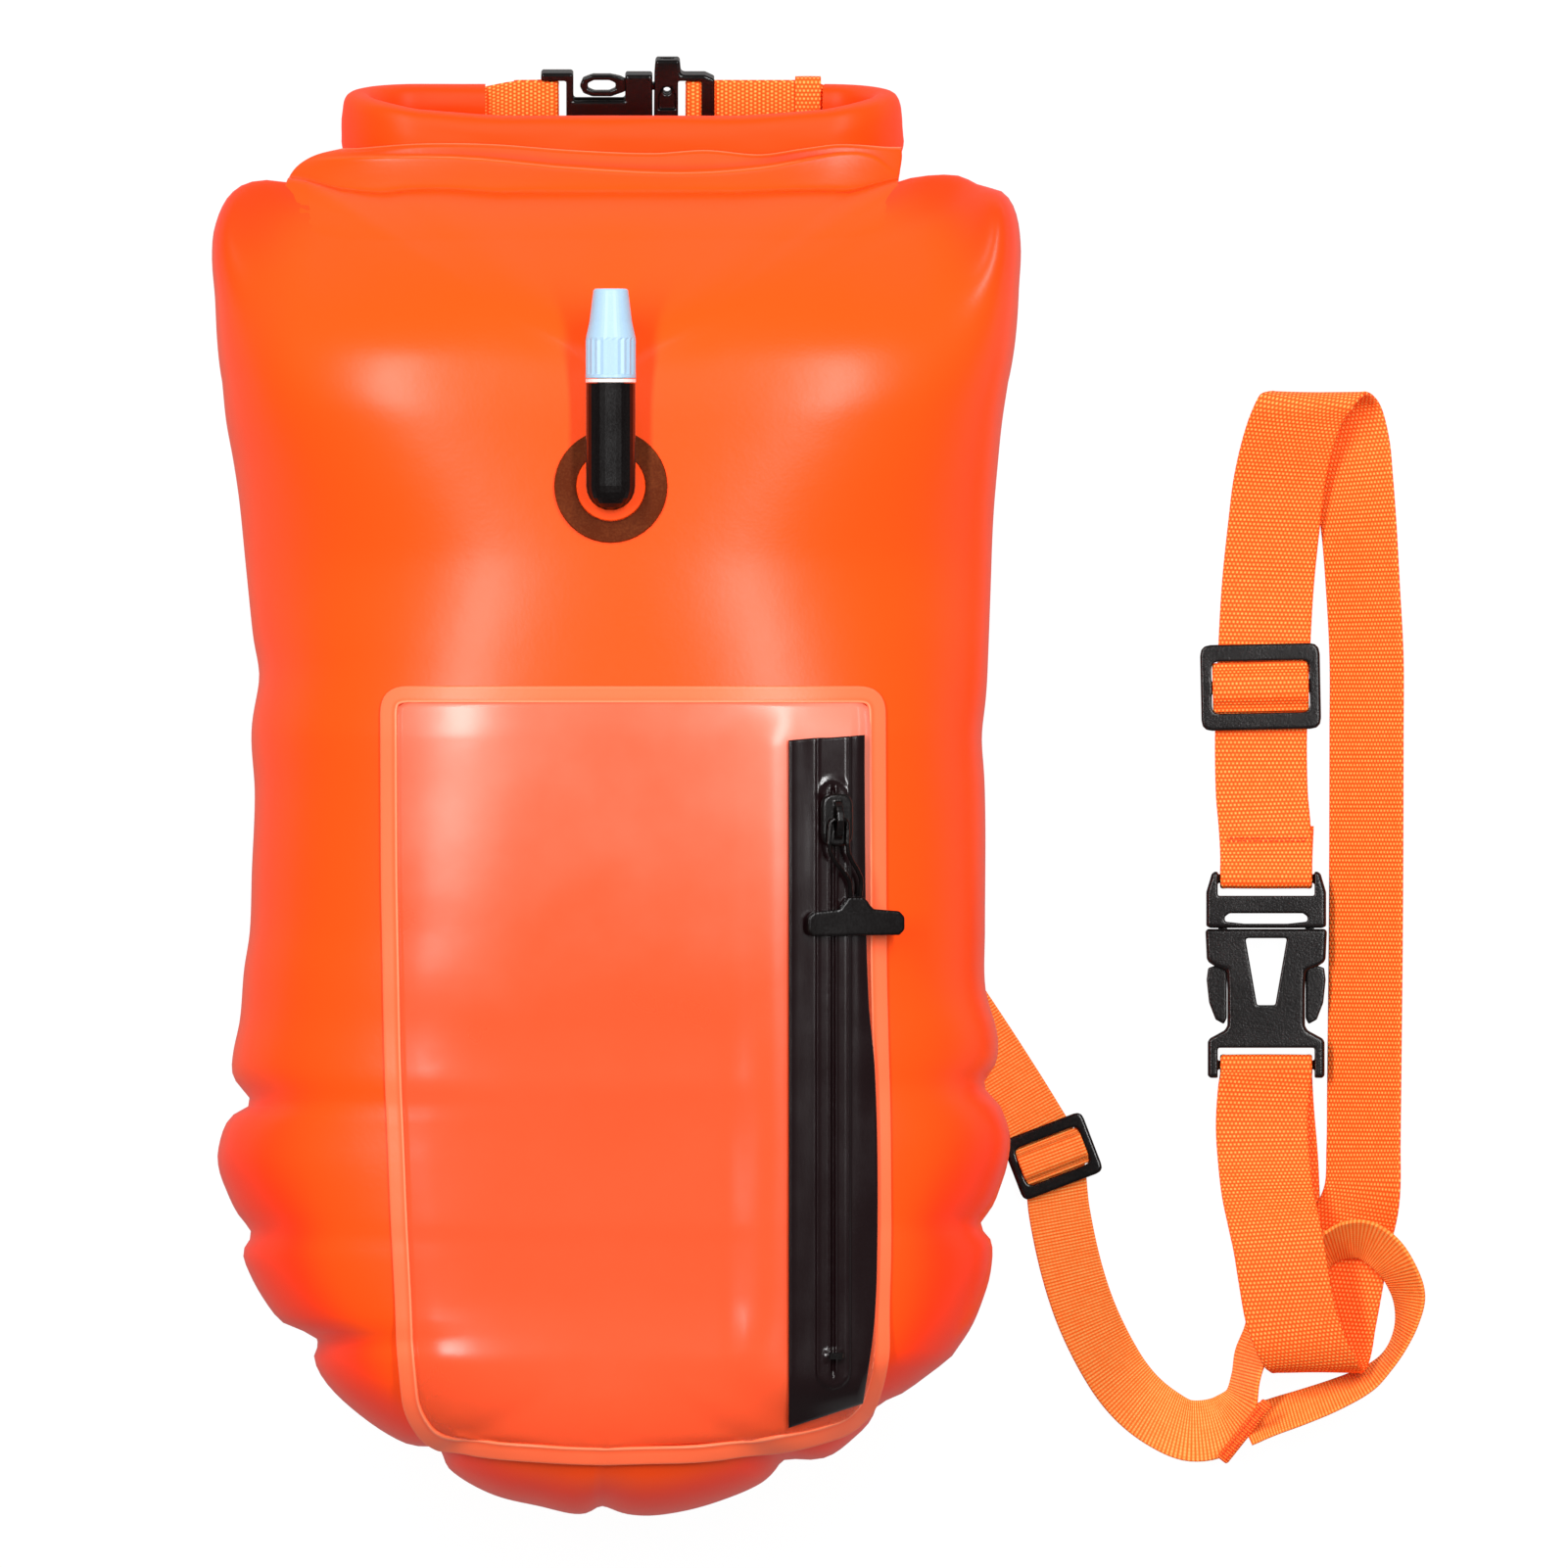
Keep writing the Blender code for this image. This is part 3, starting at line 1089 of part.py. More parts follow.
def zipper_slider():
    """Slider whose web runs in the slit, with its foot inside the pocket, and its pull."""
    frame = zip_frame(SLIDER_TOP - SLIDER_LENGTH / 2)
    half, long = SLIDER_WIDTH / 2, SLIDER_LENGTH / 2
    outline = rounded(
        ((-half, -long), (half, -long), (half * 1.0, long), (-half * 1.0, long)), half * 0.8, 4
    )
    top = SLIDER_LEVEL + SLIDER_HEIGHT
    body = prism("zipper_slider", outline, SLIDER_LEVEL, top, BLACK_PLASTIC, frame)
    soften(body, SLIDER_HEIGHT / 4)
    foot_level = POCKET_SPACE - CLEARANCE - SLIDER_FOOT_HEIGHT
    web, web_long = SLIDER_WEB / 2, SLIDER_WEB_LENGTH / 2
    blade = ((-web, -web_long), (web, -web_long), (web, web_long), (-web, web_long))
    join = SLIDER_FOOT_HEIGHT / 2
    web_body = prism("slider_web", blade, foot_level + join, SLIDER_LEVEL + join, BLACK_PLASTIC, frame)
    cut(body, web_body, "UNION")
    foot, foot_long = SLIDER_FOOT_WIDTH / 2, SLIDER_FOOT_LENGTH / 2
    corners = ((-foot, -foot_long), (foot, -foot_long), (foot, foot_long), (-foot, foot_long))
    foot_top = foot_level + SLIDER_FOOT_HEIGHT
    shoe = prism("slider_foot", rounded(corners, foot / 2, 2), foot_level, foot_top, BLACK_PLASTIC, frame)
    cut(body, shoe, "UNION")
    rings = []
    for i in range(9):
        turn = math.pi * i / 8
        ring = []
        for u, r in ((-1, -1), (1, -1), (1, 1), (-1, 1)):
            radius = BRIDGE_RADIUS + r * BRIDGE_BAR / 2
            ring.append(
                (
                    u * BRIDGE_WIDTH / 2,
                    radius * math.cos(turn) * 1.25,
                    top - BRIDGE_BAR / 2 + radius * math.sin(turn) * 0.9,
                )
            )
        rings.append(ring)
    cut(body, loft("slider_bridge", rings, BLACK_PLASTIC, frame), "UNION")
    pull(frame, top)


def pull(frame, top):
    """Cord loop and tee of the zipper pull, on the axis under the slider's bridge."""
    pivot_level = top + PULL_CORD_RADIUS + CLEARANCE
    axis = frame @ Matrix.Translation((0, 0, pivot_level))
    tee_level = SLIDER_LEVEL + TEE_THICKNESS / 2 - pivot_level
    reach = -PULL_LENGTH
    side = (
        (0.0, 0.0, 0.0), (PULL_CORD_SPREAD * 0.7, 0.0, 0.0), (PULL_CORD_SPREAD, -PULL_BEND, 0.0),
        (PULL_CORD_SPREAD * 1.1, reach * 0.42, 0.0),
        (PULL_OFFSET + PULL_CORD_RADIUS * 2, reach * 0.75, tee_level * 0.7),
        (PULL_OFFSET + PULL_CORD_RADIUS * 2, reach + CLEARANCE, tee_level),
    )
    other = (
        (-PULL_CORD_SPREAD * 0.7, 0.0, 0.0), (-PULL_CORD_SPREAD, -PULL_BEND, 0.0),
        (-PULL_CORD_SPREAD, reach * 0.42, 0.0),
        (PULL_OFFSET - PULL_CORD_RADIUS * 3, reach * 0.78, tee_level * 0.7),
        (PULL_OFFSET - PULL_CORD_RADIUS * 2, reach + CLEARANCE, tee_level),
    )
    route = smooth_route(tuple(reversed(other)) + side, 3)
    cord = round_cord("zipper_pull_cord", route, PULL_CORD_RADIUS, BLACK_RUBBER)
    cord.matrix_world = axis
    stem, bar = TEE_STEM_WIDTH / 2, TEE_BAR_LENGTH / 2
    low = reach - TEE_STEM_LENGTH
    lower = low - TEE_BAR_WIDTH
    outline = [
        (PULL_OFFSET + u, v)
        for u, v in (
            (stem, reach), (stem, low + stem / 4), (bar, low), (bar, lower),
            (-bar, lower), (-bar, low), (-stem, low + stem / 4), (-stem, reach),
        )
    ]
    outline = rounded(outline, TEE_STEM_WIDTH / 5, 1)
    tee = prism(
        "zipper_pull_tee", outline, tee_level - TEE_THICKNESS / 2, tee_level + TEE_THICKNESS / 2,
        BLACK_RUBBER, axis,
    )
    soften(tee, TEE_THICKNESS / 6)


def build_pocket():
    """Pocket with its zipper."""
    pocket_rim()
    pocket_window()
    zipper_tape()
    zipper_track()
    zipper_slider()


# Inflation valve

VALVE_BASE = FRONT_BASE + front_depth(VALVE_Y) + CLEARANCE
BALL_HEIGHT = VALVE_BASE + SEAT_FLOOR + CLEARANCE + TUBE_RADIUS


def build_valve():
    """Flange, seat, tilting tube, stem and turning cap."""
    base = Matrix.Translation((VALVE_X, VALVE_Y, VALVE_BASE))
    edge = FLANGE_THICKNESS / 3
    flange = (
        (FLANGE_BORE_RADIUS, 0.0), (FLANGE_RADIUS, 0.0), (FLANGE_RADIUS, edge),
        (FLANGE_RADIUS - edge, FLANGE_THICKNESS), (FLANGE_BORE_RADIUS, FLANGE_THICKNESS),
    )
    turned("valve_flange", flange, 40, BROWN_RUBBER, base)
    seat_profile = (
        (0.0, 0.0), (SEAT_RADIUS, 0.0), (SEAT_RADIUS, SEAT_HEIGHT - edge),
        (SEAT_RADIUS - edge, SEAT_HEIGHT), (0.0, SEAT_HEIGHT),
    )
    seat = turned("valve_seat", seat_profile, 40, FILM_ORANGE, base)
    axis = frame_of((VALVE_X, VALVE_Y, BALL_HEIGHT), (1, 0, 0), (0, 1, 0))
    hollow = TUBE_RADIUS + CLEARANCE
    channel = ball_profile(hollow, FLANGE_RADIUS)
    cut(seat, turned("seat_channel", channel, 28, FILM_ORANGE, axis))
    tube_profile = ball_profile(TUBE_RADIUS, TUBE_LENGTH)[:-1] + [
        (TUBE_BORE_RADIUS, TUBE_LENGTH), (TUBE_BORE_RADIUS, TUBE_LENGTH - TUBE_BORE_DEPTH),
        (0.0, TUBE_LENGTH - TUBE_BORE_DEPTH),
    ]
    smooth(turned("valve_tube", tube_profile, 28, BLACK_RUBBER, axis))
    collar_low = TUBE_LENGTH + CLEARANCE
    collar_high = collar_low + STEM_COLLAR
    stem_high = collar_high + CAP_SOCKET_DEPTH - 3 * CLEARANCE
    stem_low = TUBE_LENGTH - TUBE_BORE_DEPTH + 3 * CLEARANCE
    stem = (
        (STEM_BORE_RADIUS, stem_low), (STEM_RADIUS, stem_low), (STEM_RADIUS, collar_low),
        (CAP_RADIUS, collar_low), (CAP_RADIUS, collar_high), (STEM_RADIUS, collar_high),
        (STEM_RADIUS, stem_high), (STEM_BORE_RADIUS, stem_high),
    )
    smooth(turned("valve_stem", stem, 24, WHITE_PLASTIC, axis))
    valve_cap(axis, collar_high + CLEARANCE)


def ball_profile(radius, length):
    """Profile of a round bar with a ball end at the origin, open on the axis."""
    ball = [
        (radius * math.sin(math.pi / 2 * i / 6), -radius * math.cos(math.pi / 2 * i / 6))
        for i in range(7)
    ]
    return ball + [(radius, length), (0.0, length)]


def valve_cap(axis, start):
    """Fluted cap, which turns on the stem to open and shut the valve."""
    sides = FLUTES * 2
    shoulder, end = start + CAP_SHOULDER, start + CAP_LENGTH
    flute_low, flute_high = start + OVERRUN / 2, start + OVERRUN / 2 + FLUTE_LENGTH
    socket = start + CAP_SOCKET_DEPTH
    bore = TUBE_BORE_RADIUS
    round_edge = CAP_TIP_RADIUS / 10
    profile = (
        (bore, start, 0.0), (CAP_RADIUS, start, 0.0), (CAP_RADIUS, flute_low, 0.0),
        (CAP_RADIUS, flute_low + FLUTE_DEPTH, FLUTE_DEPTH),
        (CAP_RADIUS, flute_high - FLUTE_DEPTH * 3, FLUTE_DEPTH),
        (CAP_RADIUS - FLUTE_DEPTH / 2, shoulder, 0.0),
        (CAP_TIP_RADIUS + (CAP_RADIUS - CAP_TIP_RADIUS) / 2, shoulder + (end - shoulder) * 0.32, 0.0),
        (CAP_TIP_RADIUS, end - round_edge, 0.0), (CAP_TIP_RADIUS - round_edge, end, 0.0),
        (STEM_BORE_RADIUS, end, 0.0), (STEM_BORE_RADIUS, socket, 0.0), (bore, socket, 0.0),
    )
    points = []
    for radius, height, groove in profile:
        for i in range(sides):
            angle = math.tau * i / sides
            cut_radius = radius - (groove if i % 2 else 0.0)
            points.append((cut_radius * math.cos(angle), cut_radius * math.sin(angle), height))
    faces = ring_faces(len(profile), sides, caps=False)
    last = (len(profile) - 1) * sides
    faces += [(last + i, last + (i + 1) % sides, (i + 1) % sides, i) for i in range(sides)]
    return smooth(solid("valve_cap", points, faces, PALE_BLUE, axis), 50.0)


# Buckles, sliders and webbing


def in_metres(rows):
    """Rows of plan points in millimetres, in metres."""
    return [(u * MM, v * MM) for u, v in rows]


def mirrored(name):
    """A whole outline from the right half of a moulded piece."""
    half = in_metres(MOULD_HALVES[name])
    return half + [(-u, v) for u, v in reversed(half)]


def turned_by(angle):
    """A turn about the vertical."""
    return Matrix.Rotation(angle, 4, "Z")


def block(name, outline, low, high, frame):
    """A piece that cuts a moulding or joins it."""
    return prism(name, outline, low, high, BLACK_PLASTIC, frame)


def cross_bar(name, half_length, at, radius, frame):
    """A round bar across a buckle, for webbing to turn on."""
    rings = []
    for u in (-half_length, half_length):
        rings.append(
            [
                (u, at + radius * math.cos(math.tau * i / 12), radius * math.sin(math.tau * i / 12))
                for i in range(12)
            ]
        )
    return loft(name, rings, BLACK_PLASTIC, frame)


def laid_ribbon(name, frame, route, width, thickness, finish):
    """Flat webbing along a route in a frame's own YZ plane."""
    path = [Vector((0, y, z)) for y, z in smooth_route(route, 3)]
    rings = []
    for i, centre in enumerate(path):
        run = (path[min(i + 1, len(path) - 1)] - path[max(i - 1, 0)]).normalized()
        face = Vector((0, -run.z, run.y)) * thickness / 2
        side = Vector((width / 2, 0, 0))
        rings.append(
            [centre - side - face, centre + side - face, centre + side + face, centre - side + face]
        )
    return loft(name, rings, finish, frame)


def turn_route(at, radius, gap, side):
    """Route of webbing round a cross bar, away from it on one side."""
    reach = radius + gap
    return [
        (at - side * reach * math.sin(math.radians(turn)), reach * math.cos(math.radians(turn)))
        for turn in (0, 45, 90, 135, 180)
    ]


def arm_pair(name, frame, outline, hole, pivot, half_height):
    """Both spring arms of a buckle, each on the axis that it bends about."""
    arms = []
    for side, sign in (("right", 1), ("left", -1)):
        place = frame @ Matrix.Translation((sign * pivot[0], pivot[1], 0))
        points = [(sign * (u - pivot[0]), v - pivot[1]) for u, v in outline]
        arm = prism(f"{name}_{side}", points, -half_height, half_height, BLACK_PLASTIC, place)
        if hole:
            points = [(sign * (u - pivot[0]), v - pivot[1]) for u, v in hole]
            tall = half_height + OVERRUN
            cut(arm, block(f"{name}_hole_{side}", points, -tall, tall, place))
        arms.append(arm)
    return arms


def channels(piece, name, rows, half_height, frame):
    """Cut the channels of both arms into a socket."""
    points = in_metres(rows)
    for side, sign in (("right", 1), ("left", -1)):
        outline = [(sign * u, v) for u, v in points]
        cut(piece, block(f"{name}_{side}", outline, -half_height, half_height, frame))


def build_belt_buckle():
    """Side-release buckle of the belt. Its plug is above and its socket is below."""
    frame = frame_of(BELT_BUCKLE_PLACE, (0, -1, 0), (0, 0, 1))
    tall = BELT_HALF_HEIGHT + OVERRUN
    socket = prism(
        "belt_socket", mirrored("belt_socket"), -BELT_HALF_HEIGHT, BELT_HALF_HEIGHT,
        BLACK_PLASTIC, frame,
    )
    soften(socket, BELT_HALF_HEIGHT / 6)
    cut(socket, block("belt_window", mirrored("belt_window"), -tall, tall, frame))
    channels(socket, "belt_channel", BELT_CHANNEL_MM, BELT_CAVITY, frame)
    cut(socket, block("belt_socket_end", mirrored("belt_socket_end"), -tall, tall, frame))
    end, bar_half = MOULD_HALVES["belt_socket_end"], MOULD_HALVES["belt_socket_end"][0][0] * MM
    at = (end[0][1] + BELT_BAR_AT_MM) * MM
    bar_half += OVERRUN / 2
    cut(socket, cross_bar("belt_socket_bar", bar_half, at, BELT_BAR_RADIUS, frame), "UNION")
    plug = prism(
        "belt_plug", mirrored("belt_plug"), -BELT_HALF_HEIGHT, BELT_HALF_HEIGHT,
        BLACK_PLASTIC, frame,
    )
    soften(plug, BELT_HALF_HEIGHT / 6)
    cut(plug, block("belt_plug_end", mirrored("belt_plug_end"), -tall, tall, frame))
    cut(plug, block("belt_plug_slot", mirrored("belt_plug_slot"), -tall, tall, frame))
    at = (MOULD_HALVES["belt_plug_end"][1][1] - BELT_BAR_AT_MM) * MM
    cut(plug, cross_bar("belt_plug_bar", bar_half, at, BELT_BAR_RADIUS, frame), "UNION")
    pivot = in_metres([BELT_ARM_PIVOT_MM])[0]
    arm_pair("belt_arm", frame, in_metres(BELT_ARM_MM), None, pivot, BELT_ARM_HALF_HEIGHT)


def build_closure():
    """Whistle buckle behind the carry loop, with its webbing and keeper."""
    up = Vector((0, -math.sin(LOOP_TILT), math.cos(LOOP_TILT)))
    frame = frame_of(CLOSURE_PLACE, (-1, 0, 0), up)
    high, tall = WHISTLE_HALF_HEIGHT, WHISTLE_HALF_HEIGHT + OVERRUN
    socket = prism("whistle_socket", mirrored("whistle_socket"), -high, high, BLACK_PLASTIC, frame)
    soften(socket, high / 7)
    channels(socket, "whistle_channel", WHISTLE_CHANNEL_MM, WHISTLE_CAVITY, frame)
    end = mirrored("whistle_socket_end")
    cut(socket, block("whistle_socket_end", end, -tall, tall, frame))
    bar_half = end[0][0] + OVERRUN / 2
    socket_bar = end[0][1] + WHISTLE_BAR_AT
    radius = WHISTLE_BAR_RADIUS
    cut(socket, cross_bar("whistle_socket_bar", bar_half, socket_bar, radius, frame), "UNION")
    plug = prism("whistle_plug", in_metres(WHISTLE_PLUG_MM), -high, high, BLACK_PLASTIC, frame)
    soften(plug, high / 7)
    slot, end = mirrored("whistle_plug_slot"), mirrored("whistle_plug_end")
    lip = high - WHISTLE_LIP
    cut(plug, block("whistle_plug_slot", slot, -tall, tall, frame))
    cut(plug, block("whistle_plug_end", end, -tall, lip, frame))
    plug_bar = slot[1][1] - WHISTLE_BAR_AT
    cut(plug, cross_bar("whistle_plug_bar", bar_half, plug_bar, radius, frame), "UNION")
    cut(plug, block("sound_recess", in_metres(RECESS_MM), high - WHISTLE_LIP, tall, frame))
    way = SOUND_HOLE_RADIUS / 2
    cut(plug, block("air_way", in_metres(AIR_WAY_MM), -way, way, frame))
    hole_frame = frame @ Matrix.Translation((*SOUND_HOLE_PLACE, 0))
    hole = ((0.0, -tall), (SOUND_HOLE_RADIUS, -tall), (SOUND_HOLE_RADIUS, tall), (0.0, tall))
    cut(plug, turned("sound_hole", hole, 16, BLACK_PLASTIC, hole_frame))
    pivot = in_metres([WHISTLE_ARM_PIVOT_MM])[0]
    arm_pair(
        "whistle_arm", frame, in_metres(WHISTLE_ARM_MM), in_metres(WHISTLE_ARM_HOLE_MM), pivot,
        WHISTLE_ARM_HALF_HEIGHT,
    )
    closure_webbing(frame, socket_bar, plug_bar)


def closure_webbing(frame, socket_bar, plug_bar):
    """Webbing from both ends of the roll to the buckle, and the keeper of its free end."""
    centre = CLOSURE_PLACE[0]
    strand, gap = CLOSURE_STRAND, WRAP_GAP + CLOSURE_THICKNESS / 2
    left_end = centre - ROLL_LEFT_END - CLEARANCE
    right_end = centre - LOOP_RIGHT + 6 * CLEARANCE
    settle = 4 * WHISTLE_BAR_RADIUS + gap
    left = [(left_end, strand), (socket_bar + settle * 2, strand), (socket_bar + settle, strand * 1.3)]
    left += turn_route(socket_bar, WHISTLE_BAR_RADIUS, gap, 1)
    left += [(socket_bar + settle, -strand * 1.3), (socket_bar + settle * 2.4, -strand)]
    laid_ribbon("closure_webbing_left", frame, left, CLOSURE_WIDTH, CLOSURE_THICKNESS, WEB_ORANGE)
    right = [(right_end, -strand), (plug_bar - settle * 2, -strand), (plug_bar - settle, -strand * 1.3)]
    turn = [(y, z) for y, z in reversed(turn_route(plug_bar, WHISTLE_BAR_RADIUS, gap, -1))]
    right += turn + [(plug_bar - settle, strand * 1.3), (plug_bar - settle * 2, strand)]
    right += [(right_end, strand)]
    laid_ribbon("closure_webbing_right", frame, right, CLOSURE_WIDTH, CLOSURE_THICKNESS, WEB_ORANGE)
    place = frame @ Matrix.Translation((0, KEEPER_AT, 0))
    half, wall = CLOSURE_WIDTH / 2 + CLEARANCE, KEEPER_WALL
    inside = strand + CLOSURE_THICKNESS / 2 + CLEARANCE
    long = KEEPER_LENGTH / 2
    rings = []
    for v, grow in ((-long, wall), (long, wall), (long, 0.0), (-long, 0.0)):
        u, w = half + grow, inside + grow
        rings.append([(-u, v, -w), (u, v, -w), (u, v, w), (-u, v, w)])
    points = [point for ring in rings for point in ring]
    faces = ring_faces(4, 4, caps=False)
    faces += [(12 + i, 12 + (i + 1) % 4, (i + 1) % 4, i) for i in range(4)]
    solid("webbing_keeper", points, faces, WEB_ORANGE, place)


def strap_slider(name, place, turn, sizes, webbing, thickness):
    """Adjuster of a strap, and the loop of webbing that passes over its middle bar."""
    width, length, window_width, window_length, low, high = (size * MM for size in sizes)
    frame = Matrix.Translation(place) @ turned_by(turn)

    def rectangle(across, along, corner):
        u, v = across / 2, along / 2
        return rounded(((-u, -v), (u, -v), (u, v), (-u, v)), corner, 3)

    body = prism(name, rectangle(width, length, length / 8), low, high, BLACK_PLASTIC, frame)
    soften(body, (high - low) / 5)
    tall = OVERRUN
    opening = rectangle(window_width, window_length, (width - window_width) / 3)
    cut(body, block(f"{name}_window", opening, low - tall, high + tall, frame))
    bar = rectangle(window_width + OVERRUN / 2, SLIDER_BAR_HALF * 2, SLIDER_BAR_HALF / 4)
    cut(body, block(f"{name}_bar", bar, low, high - CLEARANCE, frame), "UNION")
    reach = window_length / 2 - CLEARANCE - thickness / 4
    foot = low + thickness / 4
    crown = high + thickness / 2 + CLEARANCE * 2
    route = [(-reach, foot), (-reach * 0.72, foot + thickness * 0.6), (-SLIDER_BAR_HALF * 1.5, crown * 0.94)]
    route += [(0, crown)] + [(-v, w) for v, w in reversed(route)]
    laid_ribbon(f"{name}_loop", frame, route, webbing, thickness, WEB_ORANGE)


def back_height(x, y):
    """Height of the back panel's surface over a place in the footprint, away from its ends."""
    reach = side_reach(y, x > 0) * BACK_SHARE
    rise = RIM_HEIGHT + (BACK_DEPTH - RIM_HEIGHT) * swell(abs(x) / reach, fullness_at(y))
    return BACK_BASE - min(rise, BACK_BASE)


def build_tow_strap():
    """Anchor under the bag, tow webbing, its slider and its stitched end."""
    ring_height = back_height(*ANCHOR_PLACE) - RING_DROP
    frame = Matrix.Translation((*ANCHOR_PLACE, ring_height)) @ turned_by(ANCHOR_TURN - math.pi / 2)
    lower, upper = [], []
    for row in range(7):
        along = PATCH_OVERHANG - PATCH_LENGTH * row / 6
        low_row, high_row = [], []
        for column in range(7):
            across = PATCH_WIDTH * (column / 6 - 0.5)
            x, y, z = frame @ Vector((across, along, 0))
            skin = back_height(x, y) - SKIN_CLEARANCE * 1.5
            low_row.append((x, y, skin - PATCH_THICKNESS))
            high_row.append((x, y, skin))
        lower.append(low_row)
        upper.append(high_row)
    smooth(grid_sheet("tow_patch", lower, upper, FILM_ORANGE))
    gap = WRAP_GAP + TAB_THICKNESS / 2
    reach = RING_RADIUS + gap

    def tab_level(along, layer):
        corners = [frame @ Vector((side * TAB_WIDTH / 2, along, 0)) for side in (-1, 1)]
        level = min(back_height(x, y) for x, y, z in corners)
        level -= SKIN_CLEARANCE * 1.5 + PATCH_THICKNESS
        return level - ring_height - CLEARANCE * 3 - TAB_THICKNESS * (0.5 + layer * 1.4)

    steps = (-TAB_LENGTH, -TAB_LENGTH * 0.7, -TAB_LENGTH * 0.42)
    route = [(along, tab_level(along, 0)) for along in steps]
    route += [(reach * math.sin(math.radians(t)), reach * math.cos(math.radians(t))) for t in (0, 45, 90, 135, 180)]
    route += [(along, tab_level(along, 1)) for along in reversed(steps)]
    laid_ribbon("tow_tab", frame, route, TAB_WIDTH, TAB_THICKNESS, WEB_ORANGE)
    half = RING_HALF_WIDTH
    corners = ((-half, 0.0), (half, 0.0), (half, RING_DEPTH), (-half, RING_DEPTH))
    bow = [(x, y, 0.0) for x, y in rounded(corners, RING_CORNER, 3)]
    ring = round_cord("tow_ring", bow, RING_RADIUS, BLACK_PLASTIC, 2)
    ring.data.splines[0].use_cyclic_u = True
    ring.matrix_world = frame
    azimuth = math.degrees(ANCHOR_TURN) + 90
    start = []
    reach = RING_RADIUS + WRAP_GAP + TOW_THICKNESS / 2
    for along, level in (
        (RING_DEPTH + TOW_REST_AT, TOW_REST), (RING_DEPTH + TOW_RISE_AT, TOW_RISE),
        (RING_DEPTH + reach * 0.8, ring_height + reach * 0.8), (RING_DEPTH, ring_height + reach),
        (RING_DEPTH - reach * 0.8, ring_height + reach * 0.7), (RING_DEPTH - reach, ring_height),
        (RING_DEPTH - reach * 0.8, ring_height - reach * 0.7), (RING_DEPTH, ring_height - reach),
    ):
        x, y, z = frame @ Vector((0, along, 0))
        start.append((x, y, level, azimuth, 0))
    route = start + [(x * MM, y * MM, z * MM, a, e) for x, y, z, a, e in TOW_ROUTE_MM]
    ribbon("tow_webbing", route, TOW_WIDTH, TOW_THICKNESS, WEB_ORANGE)
    strap_slider(
        "tow_slider", TOW_SLIDER_PLACE, TOW_SLIDER_TURN, TOW_SLIDER_MM, TOW_WIDTH, TOW_THICKNESS
    )
    length, width, height = (size * MM / 2 for size in FOLD_SIZE_MM)
    place = Matrix.Translation([size * MM for size in FOLD_PLACE_MM]) @ turned_by(FOLD_TURN)
    place = place @ Matrix.Rotation(FOLD_PITCH, 4, "Y")
    outline = rounded(((-length, -width), (length, -width), (length, width), (-length, width)), width / 2, 2)
    soften(prism("tow_end_fold", outline, 0.0, height * 2, WEB_ORANGE, place), height / 3)


def build_belt():
    """Waist belt with its slider and buckle."""
    for name, rows in (("belt_webbing", BELT_ROUTE_MM), ("belt_webbing_lower", LOWER_BELT_ROUTE_MM)):
        route = [(x * MM, y * MM, z * MM, a, e) for x, y, z, a, e in rows]
        ribbon(name, route, BELT_WIDTH, BELT_THICKNESS, WEB_ORANGE)
    strap_slider(
        "belt_slider", BELT_SLIDER_PLACE, BELT_SLIDER_TURN, BELT_SLIDER_MM, BELT_WIDTH,
        BELT_THICKNESS,
    )
    build_belt_buckle()


def main():
    """Build the buoy, assembly by assembly."""
    clear_scene()
    build_bag()
    build_roll_top()
    build_closure()
    build_pocket()
    build_valve()
    build_tow_strap()
    build_belt()


main()
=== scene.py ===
"""Looks of an open water swim buoy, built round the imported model.

Every length is in metres. The buoy lies on its back, with +Z up and +Y towards the roll top.
"""

import logging
import math
from bisect import bisect_right
from dataclasses import dataclass
from enum import Enum
from typing import Iterable, Sequence

import bmesh
import bpy
from mathutils import Matrix, Vector, noise


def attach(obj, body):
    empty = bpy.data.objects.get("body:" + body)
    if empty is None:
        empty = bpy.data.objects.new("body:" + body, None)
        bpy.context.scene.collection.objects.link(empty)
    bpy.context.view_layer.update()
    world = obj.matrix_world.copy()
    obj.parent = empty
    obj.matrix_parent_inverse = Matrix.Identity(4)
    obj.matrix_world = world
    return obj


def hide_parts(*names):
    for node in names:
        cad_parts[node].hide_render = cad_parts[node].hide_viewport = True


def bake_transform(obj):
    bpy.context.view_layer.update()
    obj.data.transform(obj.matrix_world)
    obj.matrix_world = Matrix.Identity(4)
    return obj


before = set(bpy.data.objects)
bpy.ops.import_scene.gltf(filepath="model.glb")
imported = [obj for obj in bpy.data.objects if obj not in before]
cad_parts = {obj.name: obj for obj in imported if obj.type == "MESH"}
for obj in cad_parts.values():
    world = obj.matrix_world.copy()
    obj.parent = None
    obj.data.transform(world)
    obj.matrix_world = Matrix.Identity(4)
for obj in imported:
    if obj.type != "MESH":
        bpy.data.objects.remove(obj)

LOG = logging.getLogger("buoy")
MM = 0.001

Colour = tuple[float, float, float]
Route = list[tuple[float, ...]]
Table = tuple[tuple[float, float], ...]


